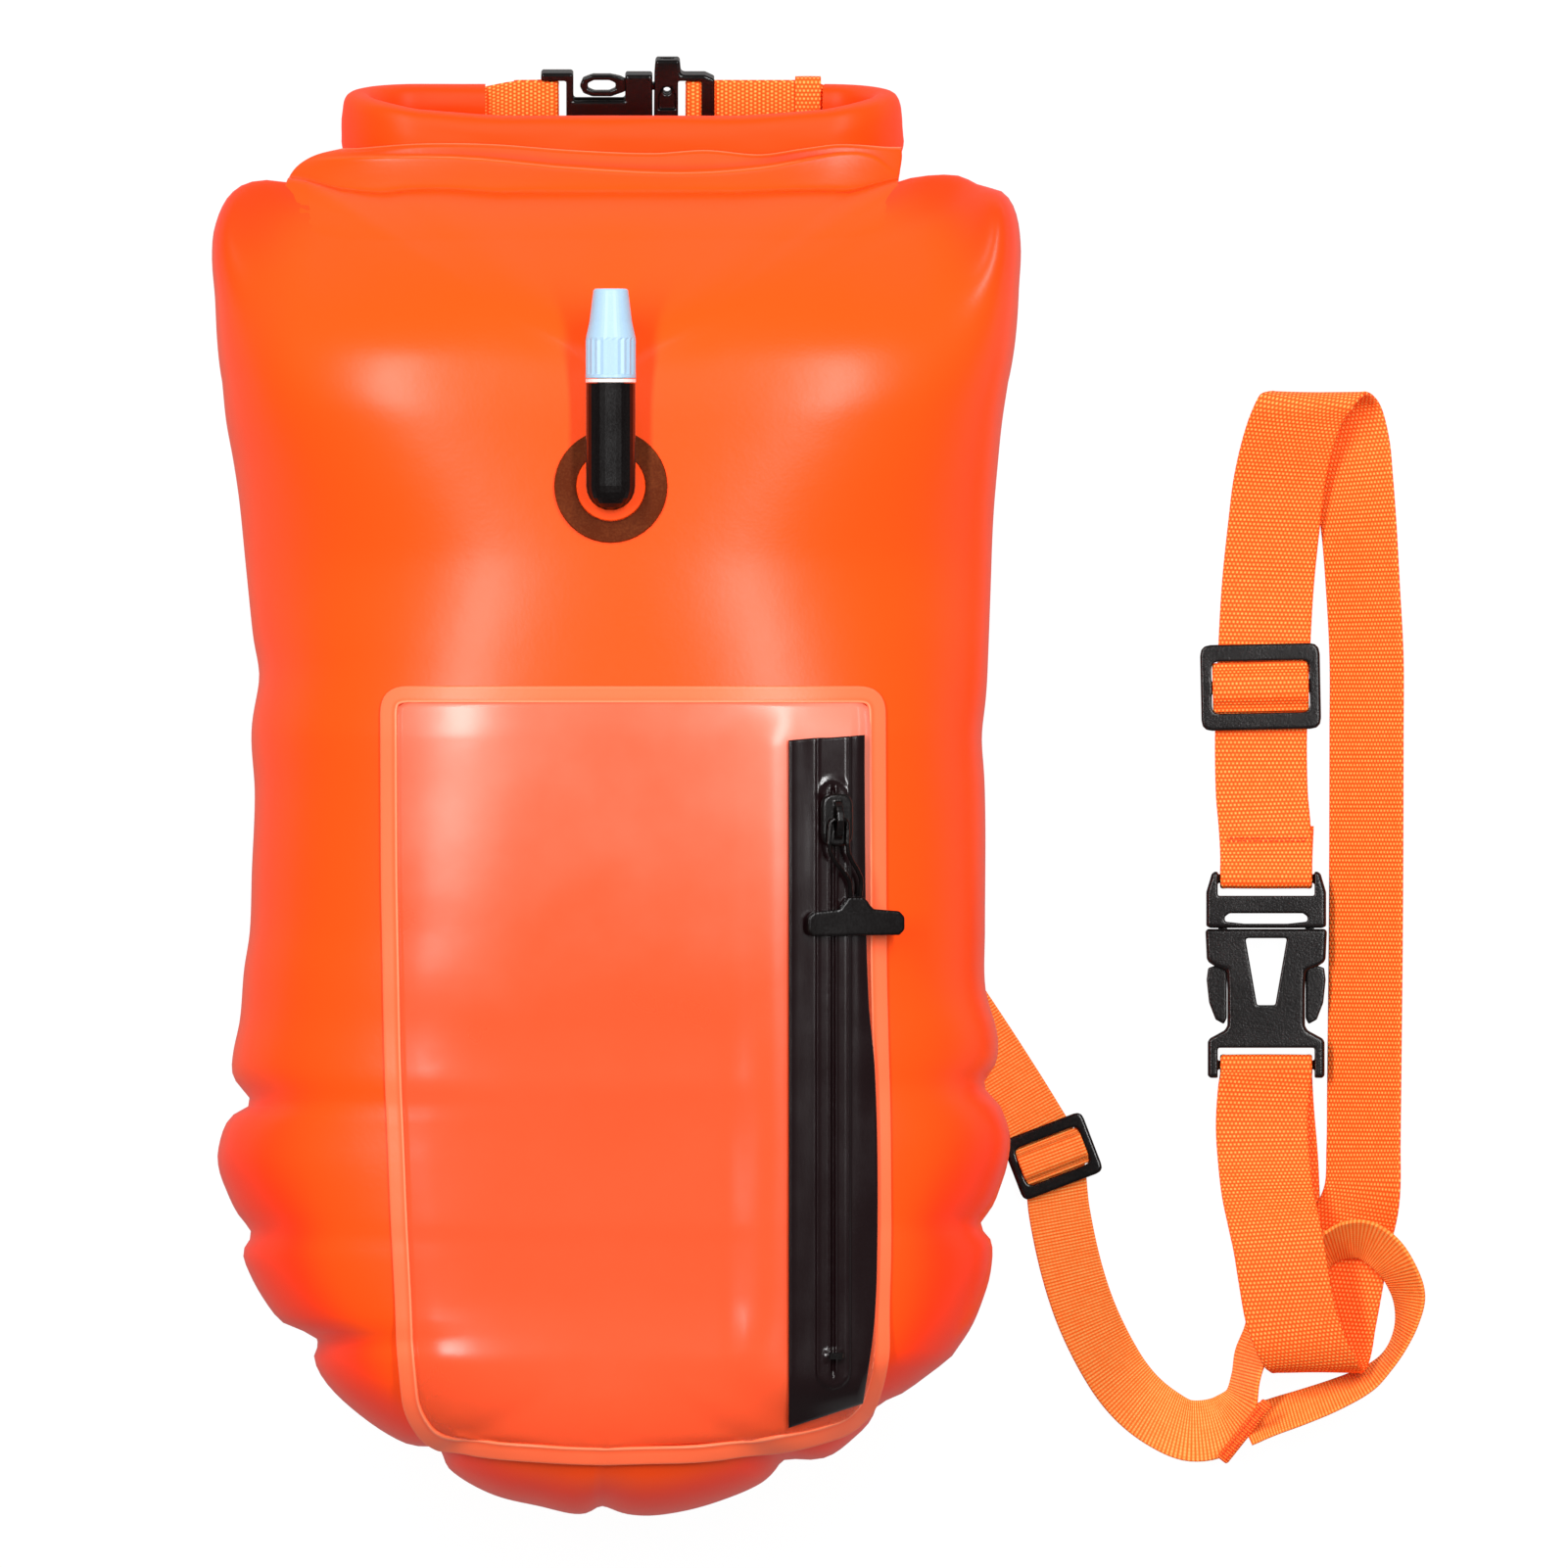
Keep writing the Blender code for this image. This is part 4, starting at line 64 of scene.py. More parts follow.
def read_smooth(table: Table, place: float) -> float:
    """Read a table of (place, value) rows on a smooth curve through its rows.

    Args:
        table: Rows in rising order of place.
        place: Where to read, held within the table.

    Returns:
        The value there.
    """
    places = [row[0] for row in table]
    place = min(max(place, places[0]), places[-1])
    right = min(max(bisect_right(places, place), 1), len(table) - 1)
    left = right - 1

    def slope(i: int) -> float:
        """Slope of the curve at a row."""
        low, high = max(i - 1, 0), min(i + 1, len(table) - 1)
        return (table[high][1] - table[low][1]) / (table[high][0] - table[low][0])

    span = places[right] - places[left]
    t = (place - places[left]) / span
    rise = table[right][1] - table[left][1]
    bend = slope(left) * span - rise
    unbend = rise - slope(right) * span
    return table[left][1] + t * rise + t * (1 - t) * ((1 - t) * bend + t * unbend)


def ease(start: float, end: float, share: float) -> float:
    """Ease from start to end as share goes from 0 to 1."""
    share = min(max(share, 0.0), 1.0)
    return start + (end - start) * share * share * (3 - 2 * share)


def settle(share: float) -> float:
    """Rise from 0 to 1 that starts and ends without any bend."""
    share = min(max(share, 0.0), 1.0)
    return share ** 3 * (share * (share * 6.0 - 15.0) + 10.0)


def bump_of(distance: float, width: float) -> float:
    """Bell curve, 1 at no distance and near 0 beyond twice the width."""
    return math.exp(-((distance / width) ** 2))


def smooth_route(points: Sequence[Sequence[float]], steps: int) -> Route:
    """Points on a smooth curve through a route's own points.

    Args:
        points: Rows whose first three numbers are a place.
        steps: How many parts each stretch is cut into.

    Returns:
        The rows of the denser route.
    """
    lengths = [math.dist(here[:3], after[:3]) for here, after in zip(points, points[1:])]

    def tangent(i: int) -> list[float]:
        """Rate of change of each number at a row."""
        low, high = max(i - 1, 0), min(i + 1, len(points) - 1)
        span = sum(lengths[low:high])
        return [(b - a) / span for a, b in zip(points[low], points[high])]

    route = []
    for i, length in enumerate(lengths):
        leaving, arriving = tangent(i), tangent(i + 1)
        for step in range(steps):
            t = step / steps
            rise = t * t * (3 - 2 * t)
            lead, trail = t * (1 - t) ** 2 * length, t * t * (1 - t) * length
            route.append(
                tuple(
                    a + (b - a) * rise + m * lead - n * trail
                    for a, b, m, n in zip(points[i], points[i + 1], leaving, arriving)
                )
            )
    route.append(tuple(points[-1]))
    return route


# Materials


class Wire:
    """A socket in a material. Python's operators on it add Math nodes."""

    def __init__(self, tree: "Tree", socket: bpy.types.NodeSocket) -> None:
        """Hold a socket and the tree that it is in."""
        self.tree, self.socket = tree, socket

    def math(self, operation: str, *values: "Wire | float") -> "Wire":
        """Add a Math node and give its result."""
        return self.tree.node("Math", {"operation": operation}, values)

    def __add__(self, other: "Wire | float") -> "Wire":
        """Sum."""
        return self.math("ADD", self, other)

    def __sub__(self, other: "Wire | float") -> "Wire":
        """Difference."""
        return self.math("SUBTRACT", self, other)

    def __rsub__(self, other: "Wire | float") -> "Wire":
        """Difference from a number."""
        return self.math("SUBTRACT", other, self)

    def __mul__(self, other: "Wire | float") -> "Wire":
        """Product."""
        return self.math("MULTIPLY", self, other)

    def __truediv__(self, other: "Wire | float") -> "Wire":
        """Quotient."""
        return self.math("DIVIDE", self, other)

    def __pow__(self, other: "Wire | float") -> "Wire":
        """Power."""
        return self.math("POWER", self, other)

    __radd__ = __add__
    __rmul__ = __mul__

    def sine(self) -> "Wire":
        """Sine of an angle in radians."""
        return self.math("SINE", self)

    def floor(self) -> "Wire":
        """Whole part."""
        return self.math("FLOOR", self)

    def size(self) -> "Wire":
        """The value without its sign."""
        return self.math("ABSOLUTE", self)

    def part(self) -> "Wire":
        """Fractional part."""
        return self.math("FRACT", self)

    def between(self, low: float, high: float) -> "Wire":
        """Share from 0 at low to 1 at high, held within them."""
        return self.tree.node("MapRange", {"interpolation_type": "SMOOTHSTEP"}, {0: self, 1: low, 2: high})


class Tree:
    """Nodes of one material."""

    def __init__(self, name: str) -> None:
        """Start a material with its Principled shader."""
        self.material = bpy.data.materials.new(name)
        self.material.use_nodes = True
        self.nodes = self.material.node_tree.nodes
        self.links = self.material.node_tree.links
        self.shader = self.nodes["Principled BSDF"]

    def node(
        self,
        kind: str,
        settings: dict[str, object] | None = None,
        inputs: "Sequence | dict" = (),
        output: int | str = 0,
    ) -> Wire:
        """Add any node.

        Args:
            kind: Its type, without the ShaderNode that all begin with.
            settings: Its properties, set before its sockets.
            inputs: Values or wires of its sockets, in order or by index or name.
            output: The output that is wanted.

        Returns:
            The wanted output.
        """
        made = self.nodes.new("ShaderNode" + kind)
        for key, value in (settings or {}).items():
            setattr(made, key, value)
        pairs = inputs.items() if isinstance(inputs, dict) else enumerate(inputs)
        for key, value in pairs:
            self.feed(made.inputs[key], value)
        return Wire(self, made.outputs[output])

    def feed(self, socket: bpy.types.NodeSocket, value: object) -> None:
        """Link a wire to a socket, or set a value on it."""
        if isinstance(value, Wire):
            self.links.new(value.socket, socket)
        elif isinstance(value, tuple) and len(value) == 3 and socket.type == "RGBA":
            socket.default_value = (*value, 1.0)
        else:
            socket.default_value = value

    def set(self, name: str, value: object) -> None:
        """Set or link one of the shader's own sockets."""
        self.feed(self.shader.inputs[name], value)

    def mix(self, share: object, first: object, second: object) -> Wire:
        """Mix two colours."""
        return self.node("Mix", {"data_type": "RGBA"}, {0: share, 6: first, 7: second}, 2)

    def place(self, output: str = "Object") -> Wire:
        """Coordinates on the piece."""
        return self.node("TexCoord", output=output)

    def noise(self, scale: float, detail: float = 2.0, place: Wire | None = None) -> Wire:
        """Noise on the piece, from 0 to 1."""
        return self.node(
            "TexNoise", None, {"Vector": place or self.place(), "Scale": scale, "Detail": detail}
        )

    def split(self, vector: Wire) -> tuple[Wire, Wire, Wire]:
        """The three numbers of a vector."""
        made = self.node("SeparateXYZ", None, (vector,)).socket.node
        return tuple(Wire(self, made.outputs[i]) for i in range(3))

    def attribute(self, name: str) -> Wire:
        """A number kept on the mesh."""
        return self.node("Attribute", {"attribute_name": name}, output="Fac")

    def bump(self, height: Wire, distance: float, strength: float = 1.0) -> None:
        """Raise the surface by a height."""
        self.set(
            "Normal",
            self.node("Bump", None, {"Height": height, "Distance": distance, "Strength": strength}),
        )


@dataclass(frozen=True)
class Finish:
    """A finish of one or more pieces."""

    name: str
    slot: str
    colour: Colour
    roughness: float
    gloss: float = 0.5

    def material(self) -> bpy.types.Material:
        """Give the material, made on first use."""
        found = bpy.data.materials.get(self.name)
        if found is not None:
            return found
        tree = Tree(self.name)
        tree.set("Base Color", self.colour)
        tree.set("Roughness", self.roughness)
        tree.set("Specular IOR Level", self.gloss)
        self.dress(tree)
        return tree.material

    def dress(self, tree: Tree) -> None:
        """Add what varies over the surface."""


@dataclass(frozen=True)
class FilmFinish(Finish):
    """Coated film, given painted shade by the mesh's tone (towards its seams, in its puckers and folds) and
    painted highlights where the tone is below zero.
    """

    gloss: float = 0.24
    # deep is the colour of the painted shade, reached at a tone of 1; light is the colour of painted
    # highlights, used where the tone is below zero.
    deep: Colour = (1.0, 0.036, 0.003)
    light: Colour = (1.0, 0.24, 0.12)
    grain: float = 900.0

    def dress(self, tree: Tree) -> None:
        """Paint shade by the mesh's tone and highlights where it is below zero, cloud the colour and give it
        a faint grain.
        """
        cloud = tree.noise(26.0, 3.0)
        tone = tree.attribute("tone") + (cloud - 0.5) * 0.25
        body = tree.mix(tone.between(0.0, 1.0), self.colour, self.deep)
        tree.set("Base Color", tree.mix((0 - tone).between(0.12, 1.0), body, self.light))
        fine = tree.noise(self.grain, 2.0)
        tree.set("Roughness", self.roughness - 0.05 + cloud * 0.06 + fine * 0.04)
        tree.bump(fine * 0.35 + tree.noise(140.0, 2.0) * 0.65, 0.00018, 0.4)


@dataclass(frozen=True)
class ClearFinish(Finish):
    """See-through film, with a painted reflection in a pale tint from the mesh's tone and faint random
    clouding.
    """

    # Pale tint of the painted reflection.
    reflection_tint: Colour = (1.0, 0.3, 0.2)
    body: float = 0.5

    def dress(self, tree: Tree) -> None:
        """Let the bag through, with the painted reflection and faint cloudy marks."""
        cloud = tree.noise(34.0, 4.0)
        # The mesh's tone paints a reflection of the lamps in the pale tint; the noise adds random clouding.
        pale_share = tree.attribute("tone") + (cloud - 0.5) * 0.3
        tree.set("Base Color", tree.mix(pale_share.between(0.0, 1.0), self.colour, self.reflection_tint))
        tree.set("Alpha", self.body + (cloud - 0.5) * 0.1)
        tree.set("Roughness", self.roughness + cloud * 0.06)
        tree.bump(tree.noise(60.0, 2.0), 0.0003, 0.3)


class Weave(Enum):
    """How a webbing's yarns cross."""

    DOTS = "dots"
    RIBS = "ribs"


@dataclass(frozen=True)
class WebbingFinish(Finish):
    """Woven webbing, whose pattern follows the strap, with painted shade between its yarns and painted
    highlights on their crowns.
    """

    gloss: float = 0.2
    # The first colour is painted highlight on the yarns' crowns, the second painted shade between the yarns.
    highlight_colour: Colour = (1.0, 0.42, 0.11)
    shade: Colour = (0.95, 0.07, 0.004)
    weave: Weave = Weave.DOTS
    across: float = 1.3 * MM
    along: float = 1.35 * MM

    def dress(self, tree: Tree) -> None:
        """Draw the yarns from the strap's own coordinates in metres, with painted shade between them and
        painted highlights on their crowns.
        """
        u, v, _ = tree.split(tree.place("UV"))
        row = v / self.along
        if self.weave is Weave.DOTS:
            shift = ((row / 2).part() * 2).floor() * 0.5
            crown = ((u / self.across + shift) * math.pi).sine().size()
            bow = (row * math.pi).sine().size()
            height = crown * bow
        else:
            crown = (u / self.across * math.pi).sine().size()
            bow = (row * math.pi).sine().size()
            height = bow * 0.75 + crown * bow * 0.25
        worn = tree.noise(420.0, 2.0)
        # Painted highlight on the yarns' crowns, broken up by random wear; painted shade in the gaps between
        # the yarns.
        highlight_share = (height ** 1.6) * (0.55 + worn * 0.7)
        body = tree.mix(height.between(0.05, 0.5), self.shade, self.colour)
        tree.set("Base Color", tree.mix(highlight_share.between(0.32, 0.95), body, self.highlight_colour))
        tree.set("Roughness", self.roughness - height * 0.12)
        tree.bump(height + worn * 0.12, 0.0003, 0.7)


@dataclass(frozen=True)
class MouldedFinish(Finish):
    """Moulded plastic or rubber with a fine eroded grain."""

    gloss: float = 0.35
    worn: Colour = (0.03, 0.026, 0.026)
    grain: float = 1500.0
    depth: float = 0.00008

    def dress(self, tree: Tree) -> None:
        """Give grain, faint rub marks and a paler tone on top of the grain."""
        fine, cloud = tree.noise(self.grain, 3.0), tree.noise(70.0, 3.0)
        pale_share = (fine * 0.6 + cloud * 0.4).between(0.42, 0.85)
        tree.set("Base Color", tree.mix(pale_share, self.colour, self.worn))
        tree.set("Roughness", self.roughness + (cloud - 0.5) * 0.12 + (fine - 0.5) * 0.1)
        tree.bump(fine, self.depth, 0.8)


@dataclass(frozen=True)
class FloorFinish(Finish):
    """White floor that keeps a shadow and shows white to the camera.

    Glossy rays see the grey of gloss_white in place of the white. That is a known fault.
    """

    gloss: float = 0.0
    glow: float = 0.96
    gloss_share: float = 0.9
    gloss_white: float = 0.25
    white: float = 1.02

    def dress(self, tree: Tree) -> None:
        """Mix a white glow over the floor for the rays that see it."""
        path = tree.node("LightPath").socket.node
        camera, gloss, clear = (
            Wire(tree, path.outputs[name])
            for name in ("Is Camera Ray", "Is Glossy Ray", "Is Transmission Ray")
        )
        seen = camera.math("MAXIMUM", camera, clear) * self.glow
        glow = tree.node("Emission", None, {0: (1.0, 1.0, 1.0), 1: self.white})
        pale = tree.node("Emission", None, {0: (1.0, 1.0, 1.0), 1: self.gloss_white})
        body = Wire(tree, tree.shader.outputs[0])
        mixed = tree.node("MixShader", None, {0: seen, 1: body, 2: glow})
        mixed = tree.node("MixShader", None, {0: gloss * self.gloss_share, 1: mixed, 2: pale})
        tree.links.new(mixed.socket, tree.nodes["Material Output"].inputs[0])


FILM = FilmFinish("orange_film", "bag_film", (1.0, 0.07, 0.003), 0.32)
# A darker copy of the film: its darker colour is painted shade on the roll.
SHADED_FOLDED_FILM = FilmFinish("shaded_folded_film", "bag_film", (1.0, 0.056, 0.0025), 0.42, gloss=0.12)
LINING = FilmFinish("lining_film", "bag_film", (0.95, 0.07, 0.008), 0.5)
CLEAR = ClearFinish("clear_film", "pocket_film", (1.0, 0.12, 0.035), 0.2)
BORDER = FilmFinish("pocket_border_film", "pocket_film", (1.0, 0.15, 0.055), 0.32, deep=(1.0, 0.09, 0.02))
BELT_WEB = WebbingFinish("belt_webbing_weave", "webbing", (1.0, 0.16, 0.014), 0.72)
TOW_WEB = WebbingFinish(
    "tow_webbing_weave", "webbing", (1.0, 0.22, 0.028), 0.72, highlight_colour=(1.0, 0.42, 0.11),
    shade=(1.0, 0.12, 0.008), weave=Weave.RIBS, along=1.05 * MM, across=1.1 * MM,
)
HEM_WEB = WebbingFinish(
    "hem_weave", "webbing", (1.0, 0.1, 0.007), 0.72, highlight_colour=(1.0, 0.24, 0.04), shade=(0.9, 0.045, 0.002),
    weave=Weave.RIBS, along=1.05 * MM, across=1.1 * MM,
)
THREAD = MouldedFinish("stitching_thread", "webbing", (0.9, 0.045, 0.003), 0.6, worn=(1.0, 0.1, 0.01))
BLACK = MouldedFinish(
    "black_moulding", "black_plastic", (0.005, 0.004, 0.004), 0.25, gloss=0.26, worn=(0.014, 0.012, 0.012)
)
GLOSS_BLACK = MouldedFinish(
    "black_gloss_moulding", "black_plastic", (0.003, 0.002, 0.002), 0.2, gloss=0.32,
    worn=(0.007, 0.006, 0.006), depth=0.00002,
)
RUBBER = MouldedFinish(
    "black_rubber_skin", "black_rubber", (0.003, 0.002, 0.002), 0.2, gloss=0.2,
    worn=(0.007, 0.006, 0.006), depth=0.00002,
)
TAPE = MouldedFinish(
    "zipper_tape_coating", "black_rubber", (0.007, 0.002, 0.0025), 0.19, gloss=0.42,
    worn=(0.011, 0.005, 0.006), grain=2200.0, depth=0.00001,
)
BROWN = MouldedFinish(
    "brown_rubber_skin", "brown_rubber", (0.085, 0.013, 0.002), 0.28, gloss=0.12,
    worn=(0.15, 0.03, 0.004), depth=0.00003,
)
BLUE = MouldedFinish(
    "pale_blue_moulding", "blue_plastic", (0.31, 0.46, 0.6), 0.4, worn=(0.36, 0.5, 0.64), depth=0.00003
)
WHITE = MouldedFinish(
    "white_moulding", "white_plastic", (0.75, 0.62, 0.58), 0.4, worn=(0.8, 0.7, 0.66), depth=0.00003
)
FLOOR = FloorFinish("white_floor", "", (0.95, 0.95, 0.95), 0.9)


# Modelling


def add_mesh(
    name: str,
    points: Iterable[Sequence[float]],
    faces: Iterable[Sequence[int]],
    tones: Sequence[float] | None = None,
    uvs: Sequence[tuple[float, float]] | None = None,
) -> bpy.types.Object:
    """Put a piece made of points and faces in the scene.

    Args:
        name: Name of the piece.
        points: Its points.
        faces: Its faces as lists of point numbers.
        tones: For each point, how deep its colour is, from 0 to 1.
        uvs: For each point, its place along and across the strap.

    Returns:
        The piece, shaded smooth.
    """
    mesh = bpy.data.meshes.new(name)
    mesh.from_pydata([tuple(point) for point in points], [], [tuple(face) for face in faces])
    tone = mesh.attributes.new("tone", "FLOAT", "POINT")
    tone.data.foreach_set("value", list(tones) if tones is not None else [0.0] * len(mesh.vertices))
    if uvs is not None:
        layer = mesh.uv_layers.new(name="UVMap")
        for loop in mesh.loops:
            layer.data[loop.index].uv = uvs[loop.vertex_index]
    piece = bpy.data.objects.new(name, mesh)
    bpy.context.scene.collection.objects.link(piece)
    mesh.shade_smooth()
    return piece


def clean(piece: bpy.types.Object, distance: float = 0.00001) -> bpy.types.Object:
    """Merge doubled points and turn every face outwards."""
    work = bmesh.new()
    work.from_mesh(piece.data)
    bmesh.ops.remove_doubles(work, verts=work.verts, dist=distance)
    bmesh.ops.dissolve_degenerate(work, edges=work.edges, dist=distance)
    bmesh.ops.recalc_face_normals(work, faces=work.faces)
    work.to_mesh(piece.data)
    work.free()
    return piece


def tube_faces(rings: int, size: int, caps: bool = True, closed: bool = False) -> list[tuple[int, ...]]:
    """Faces through rings of points.

    Args:
        rings: How many rings.
        size: Points in a ring.
        caps: Whether both ends get a face.
        closed: Whether the last ring joins the first.

    Returns:
        The faces.
    """
    faces = []
    for ring in range(rings if closed else rings - 1):
        after = (ring + 1) % rings
        for i in range(size):
            j = (i + 1) % size
            faces.append((ring * size + i, ring * size + j, after * size + j, after * size + i))
    if caps and not closed:
        faces.append(tuple(reversed(range(size))))
        faces.append(tuple(range((rings - 1) * size, rings * size)))
    return faces


def sheet_mesh(
    name: str,
    lower: list[list[Sequence[float]]],
    upper: list[list[Sequence[float]]],
    tones: list[list[float]] | None = None,
    skipped: set[tuple[int, int]] = frozenset(),
) -> bpy.types.Object:
    """A thin closed sheet between two grids of points.

    Args:
        name: Name of the piece.
        lower: Rows of points on its underside.
        upper: Rows of points on its top.
        tones: Rows of tones, the same for both sides.
        skipped: Cells by row and column that are openings.

    Returns:
        The piece.
    """
    rows, columns = len(lower), len(lower[0])
    lift = rows * columns
    faces, edges = [], {}
    for row in range(rows - 1):
        for column in range(columns - 1):
            if (row, column) in skipped:
                continue
            a = row * columns + column
            corners = (a, a + 1, a + columns + 1, a + columns)
            faces.append(corners)
            faces.append(tuple(lift + corner for corner in reversed(corners)))
            for pair in zip(corners, corners[1:] + corners[:1]):
                edges[pair] = pair[::-1] not in edges
                if pair[::-1] in edges:
                    edges[pair[::-1]] = False
    faces += [(b, a, a + lift, b + lift) for (a, b), outer in edges.items() if outer]
    points = [point for grid in (lower, upper) for row in grid for point in row]
    flat = [tone for row in tones for tone in row] * 2 if tones else None
    return clean(add_mesh(name, points, faces, flat))


def deselect() -> None:
    """Leave nothing selected, in object mode."""
    if bpy.context.object is not None and bpy.context.object.mode != "OBJECT":
        bpy.ops.object.mode_set(mode="OBJECT")
    bpy.ops.object.select_all(action="DESELECT")


def pick(piece: bpy.types.Object) -> bpy.types.Object:
    """Select one piece and make it active."""
    deselect()
    piece.select_set(True)
    bpy.context.view_layer.objects.active = piece
    return piece


def change(piece: bpy.types.Object, kind: str, **settings: object) -> bpy.types.Object:
    """Add a modifier and apply it.

    Args:
        piece: The piece to change.
        kind: The modifier's type.
        settings: The modifier's own properties.

    Returns:
        The changed piece.
    """
    pick(piece)
    modifier = piece.modifiers.new(kind, kind)
    for key, value in settings.items():
        setattr(modifier, key, value)
    bpy.ops.object.modifier_apply(modifier=modifier.name)
    return piece


def block(size: Sequence[float], place: Matrix, edge: float, segments: int = 3) -> bpy.types.Object:
    """A block with rounded edges, shaped in edit mode and laid in a frame.

    Args:
        size: Its full size along the frame's axes.
        place: The frame, at its middle.
        edge: Radius of its edges.
        segments: Steps of the rounding.

    Returns:
        The piece, with its place in its mesh.
    """
    deselect()
    bpy.ops.mesh.primitive_cube_add(size=1.0)
    piece = bpy.context.object
    piece.scale = size
    bpy.ops.object.transform_apply(location=False, rotation=False, scale=True)
    bpy.ops.object.mode_set(mode="EDIT")
    bpy.ops.mesh.select_all(action="SELECT")
    bpy.ops.mesh.bevel(offset=edge, segments=segments, profile=0.5, affect="EDGES")
    bpy.ops.object.mode_set(mode="OBJECT")
    piece.data.transform(place)
    return piece


def copies(piece: bpy.types.Object, moves: Sequence[Matrix]) -> bpy.types.Object:
    """Copy a piece by several moves, and join the copies into it.

    Args:
        piece: The first one, which the moves start from and which is used up.
        moves: Where each copy goes from there.

    Returns:
        One piece that holds all copies.
    """
    made = []
    for move in moves:
        copy = bpy.data.objects.new(piece.name, piece.data.copy())
        bpy.context.scene.collection.objects.link(copy)
        copy.data.transform(move)
        made.append(copy)
    bpy.data.objects.remove(piece)
    return join(made)


def join(pieces: Sequence[bpy.types.Object]) -> bpy.types.Object:
    """Join pieces into the first of them."""
    deselect()
    for piece in pieces:
        piece.select_set(True)
    bpy.context.view_layer.objects.active = pieces[0]
    if len(pieces) > 1:
        bpy.ops.object.join()
    return bpy.context.object


def dress(
    piece: bpy.types.Object,
    name: str,
    finish: Finish,
    body: str | None,
    nodes: Sequence[str] = (),
    angle: float | None = None,
) -> bpy.types.Object:
    """Name a finished piece, give it its finish and let it ride.

    Args:
        piece: The piece, with its place in its mesh.
        name: Its name in the table.
        finish: Its finish.
        body: The body that it rides on, or None where it is blended later.
        nodes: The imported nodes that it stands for.
        angle: Where its sharp edges begin, in degrees, or None to leave its shading.

    Returns:
        The piece.
    """
    piece.name = piece.data.name = name
    piece.data.materials.clear()
    piece.data.materials.append(finish.material())
    if angle is not None:
        pick(piece)
        bpy.ops.object.shade_smooth_by_angle(angle=math.radians(angle))
    if nodes:
        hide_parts(*nodes)
    if body is not None:
        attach(piece, body)
    LOG.info("%s: %d faces", name, len(piece.data.polygons))
    return piece


def refinish(finish: Finish, *nodes: str) -> None:
    """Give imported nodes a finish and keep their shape."""
    for name in nodes:
        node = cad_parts[name]
        for slot in node.material_slots:
            slot.material = finish.material()
        if not node.data.materials:
            node.data.materials.append(finish.material())


def moulded(
    node: str,
    finish: Finish,
    body: str,
    voxel: float = 0.32 * MM,
    rounds: int = 5,
    over: Matrix | None = None,
) -> bpy.types.Object:
    """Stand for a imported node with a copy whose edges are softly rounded, as moulding leaves them.

    Args:
        node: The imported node.
        finish: Its finish.
        body: The body that it rides on.
        voxel: Grain of the copy's mesh.
        rounds: How often it is smoothed.
        over: A frame over whose XY plane the copy is kept, or None to keep it whole.

    Returns:
        The piece.
    """
    piece = bpy.data.objects.new(node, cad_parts[node].data.copy())
    bpy.context.scene.collection.objects.link(piece)
    clean(piece)
    if over is not None:
        pick(piece)
        bpy.ops.object.mode_set(mode="EDIT")
        bpy.ops.mesh.select_all(action="SELECT")
        bpy.ops.mesh.bisect(
            plane_co=over.translation,
            plane_no=over.to_3x3() @ Vector((0, 0, 1)),
            use_fill=True,
            clear_inner=True,
        )
        bpy.ops.object.mode_set(mode="OBJECT")
    change(piece, "REMESH", mode="VOXEL", voxel_size=voxel, use_smooth_shade=True)
    change(piece, "SMOOTH", factor=0.5, iterations=rounds)
    return dress(piece, node + "_moulding", finish, body, [node])


def arm_root(
    name: str, finish: Finish, body: str, middle: Sequence[float], size: Sequence[float], tilt: float = 0.0
) -> bpy.types.Object:
    """Root that joins a buckle's arm to its plug.

    Args:
        name: Name of the piece.
        finish: Its finish.
        body: The body that it rides on.
        middle: Its middle, in millimetres.
        size: Its size, in millimetres.
        tilt: Its turn about X, in degrees.

    Returns:
        The piece.
    """
    place = Matrix.Translation(Vector(middle) * MM) @ Matrix.Rotation(math.radians(tilt), 4, "X")
    return dress(block([side * MM for side in size], place, 0.35 * MM), name, finish, body, (), 50.0)


def stitches(
    name: str, body: str, place: Matrix, length: float, count: int, rows: Sequence[float]
) -> bpy.types.Object:
    """Rows of thread stitches along a frame's X axis.

    Args:
        name: Name of the piece.
        body: The body that it rides on.
        place: The frame, at the middle of the stitching.
        length: Length of each row.
        count: Stitches in a row.
        rows: Where each row lies along the frame's Y axis.

    Returns:
        The piece.
    """
    pitch = length / count
    first = block((pitch * 0.68, 0.42 * MM, 0.34 * MM), place, 0.15 * MM, 2)
    back = place.inverted()
    moves = [
        place @ Matrix.Translation(((i + 0.5 * (k % 2) + 0.5) * pitch - length / 2, row, 0)) @ back
        for k, row in enumerate(rows) for i in range(count)
    ]
    return dress(copies(first, moves), name, THREAD, body, angle=50.0)


# Form of the inflated bag

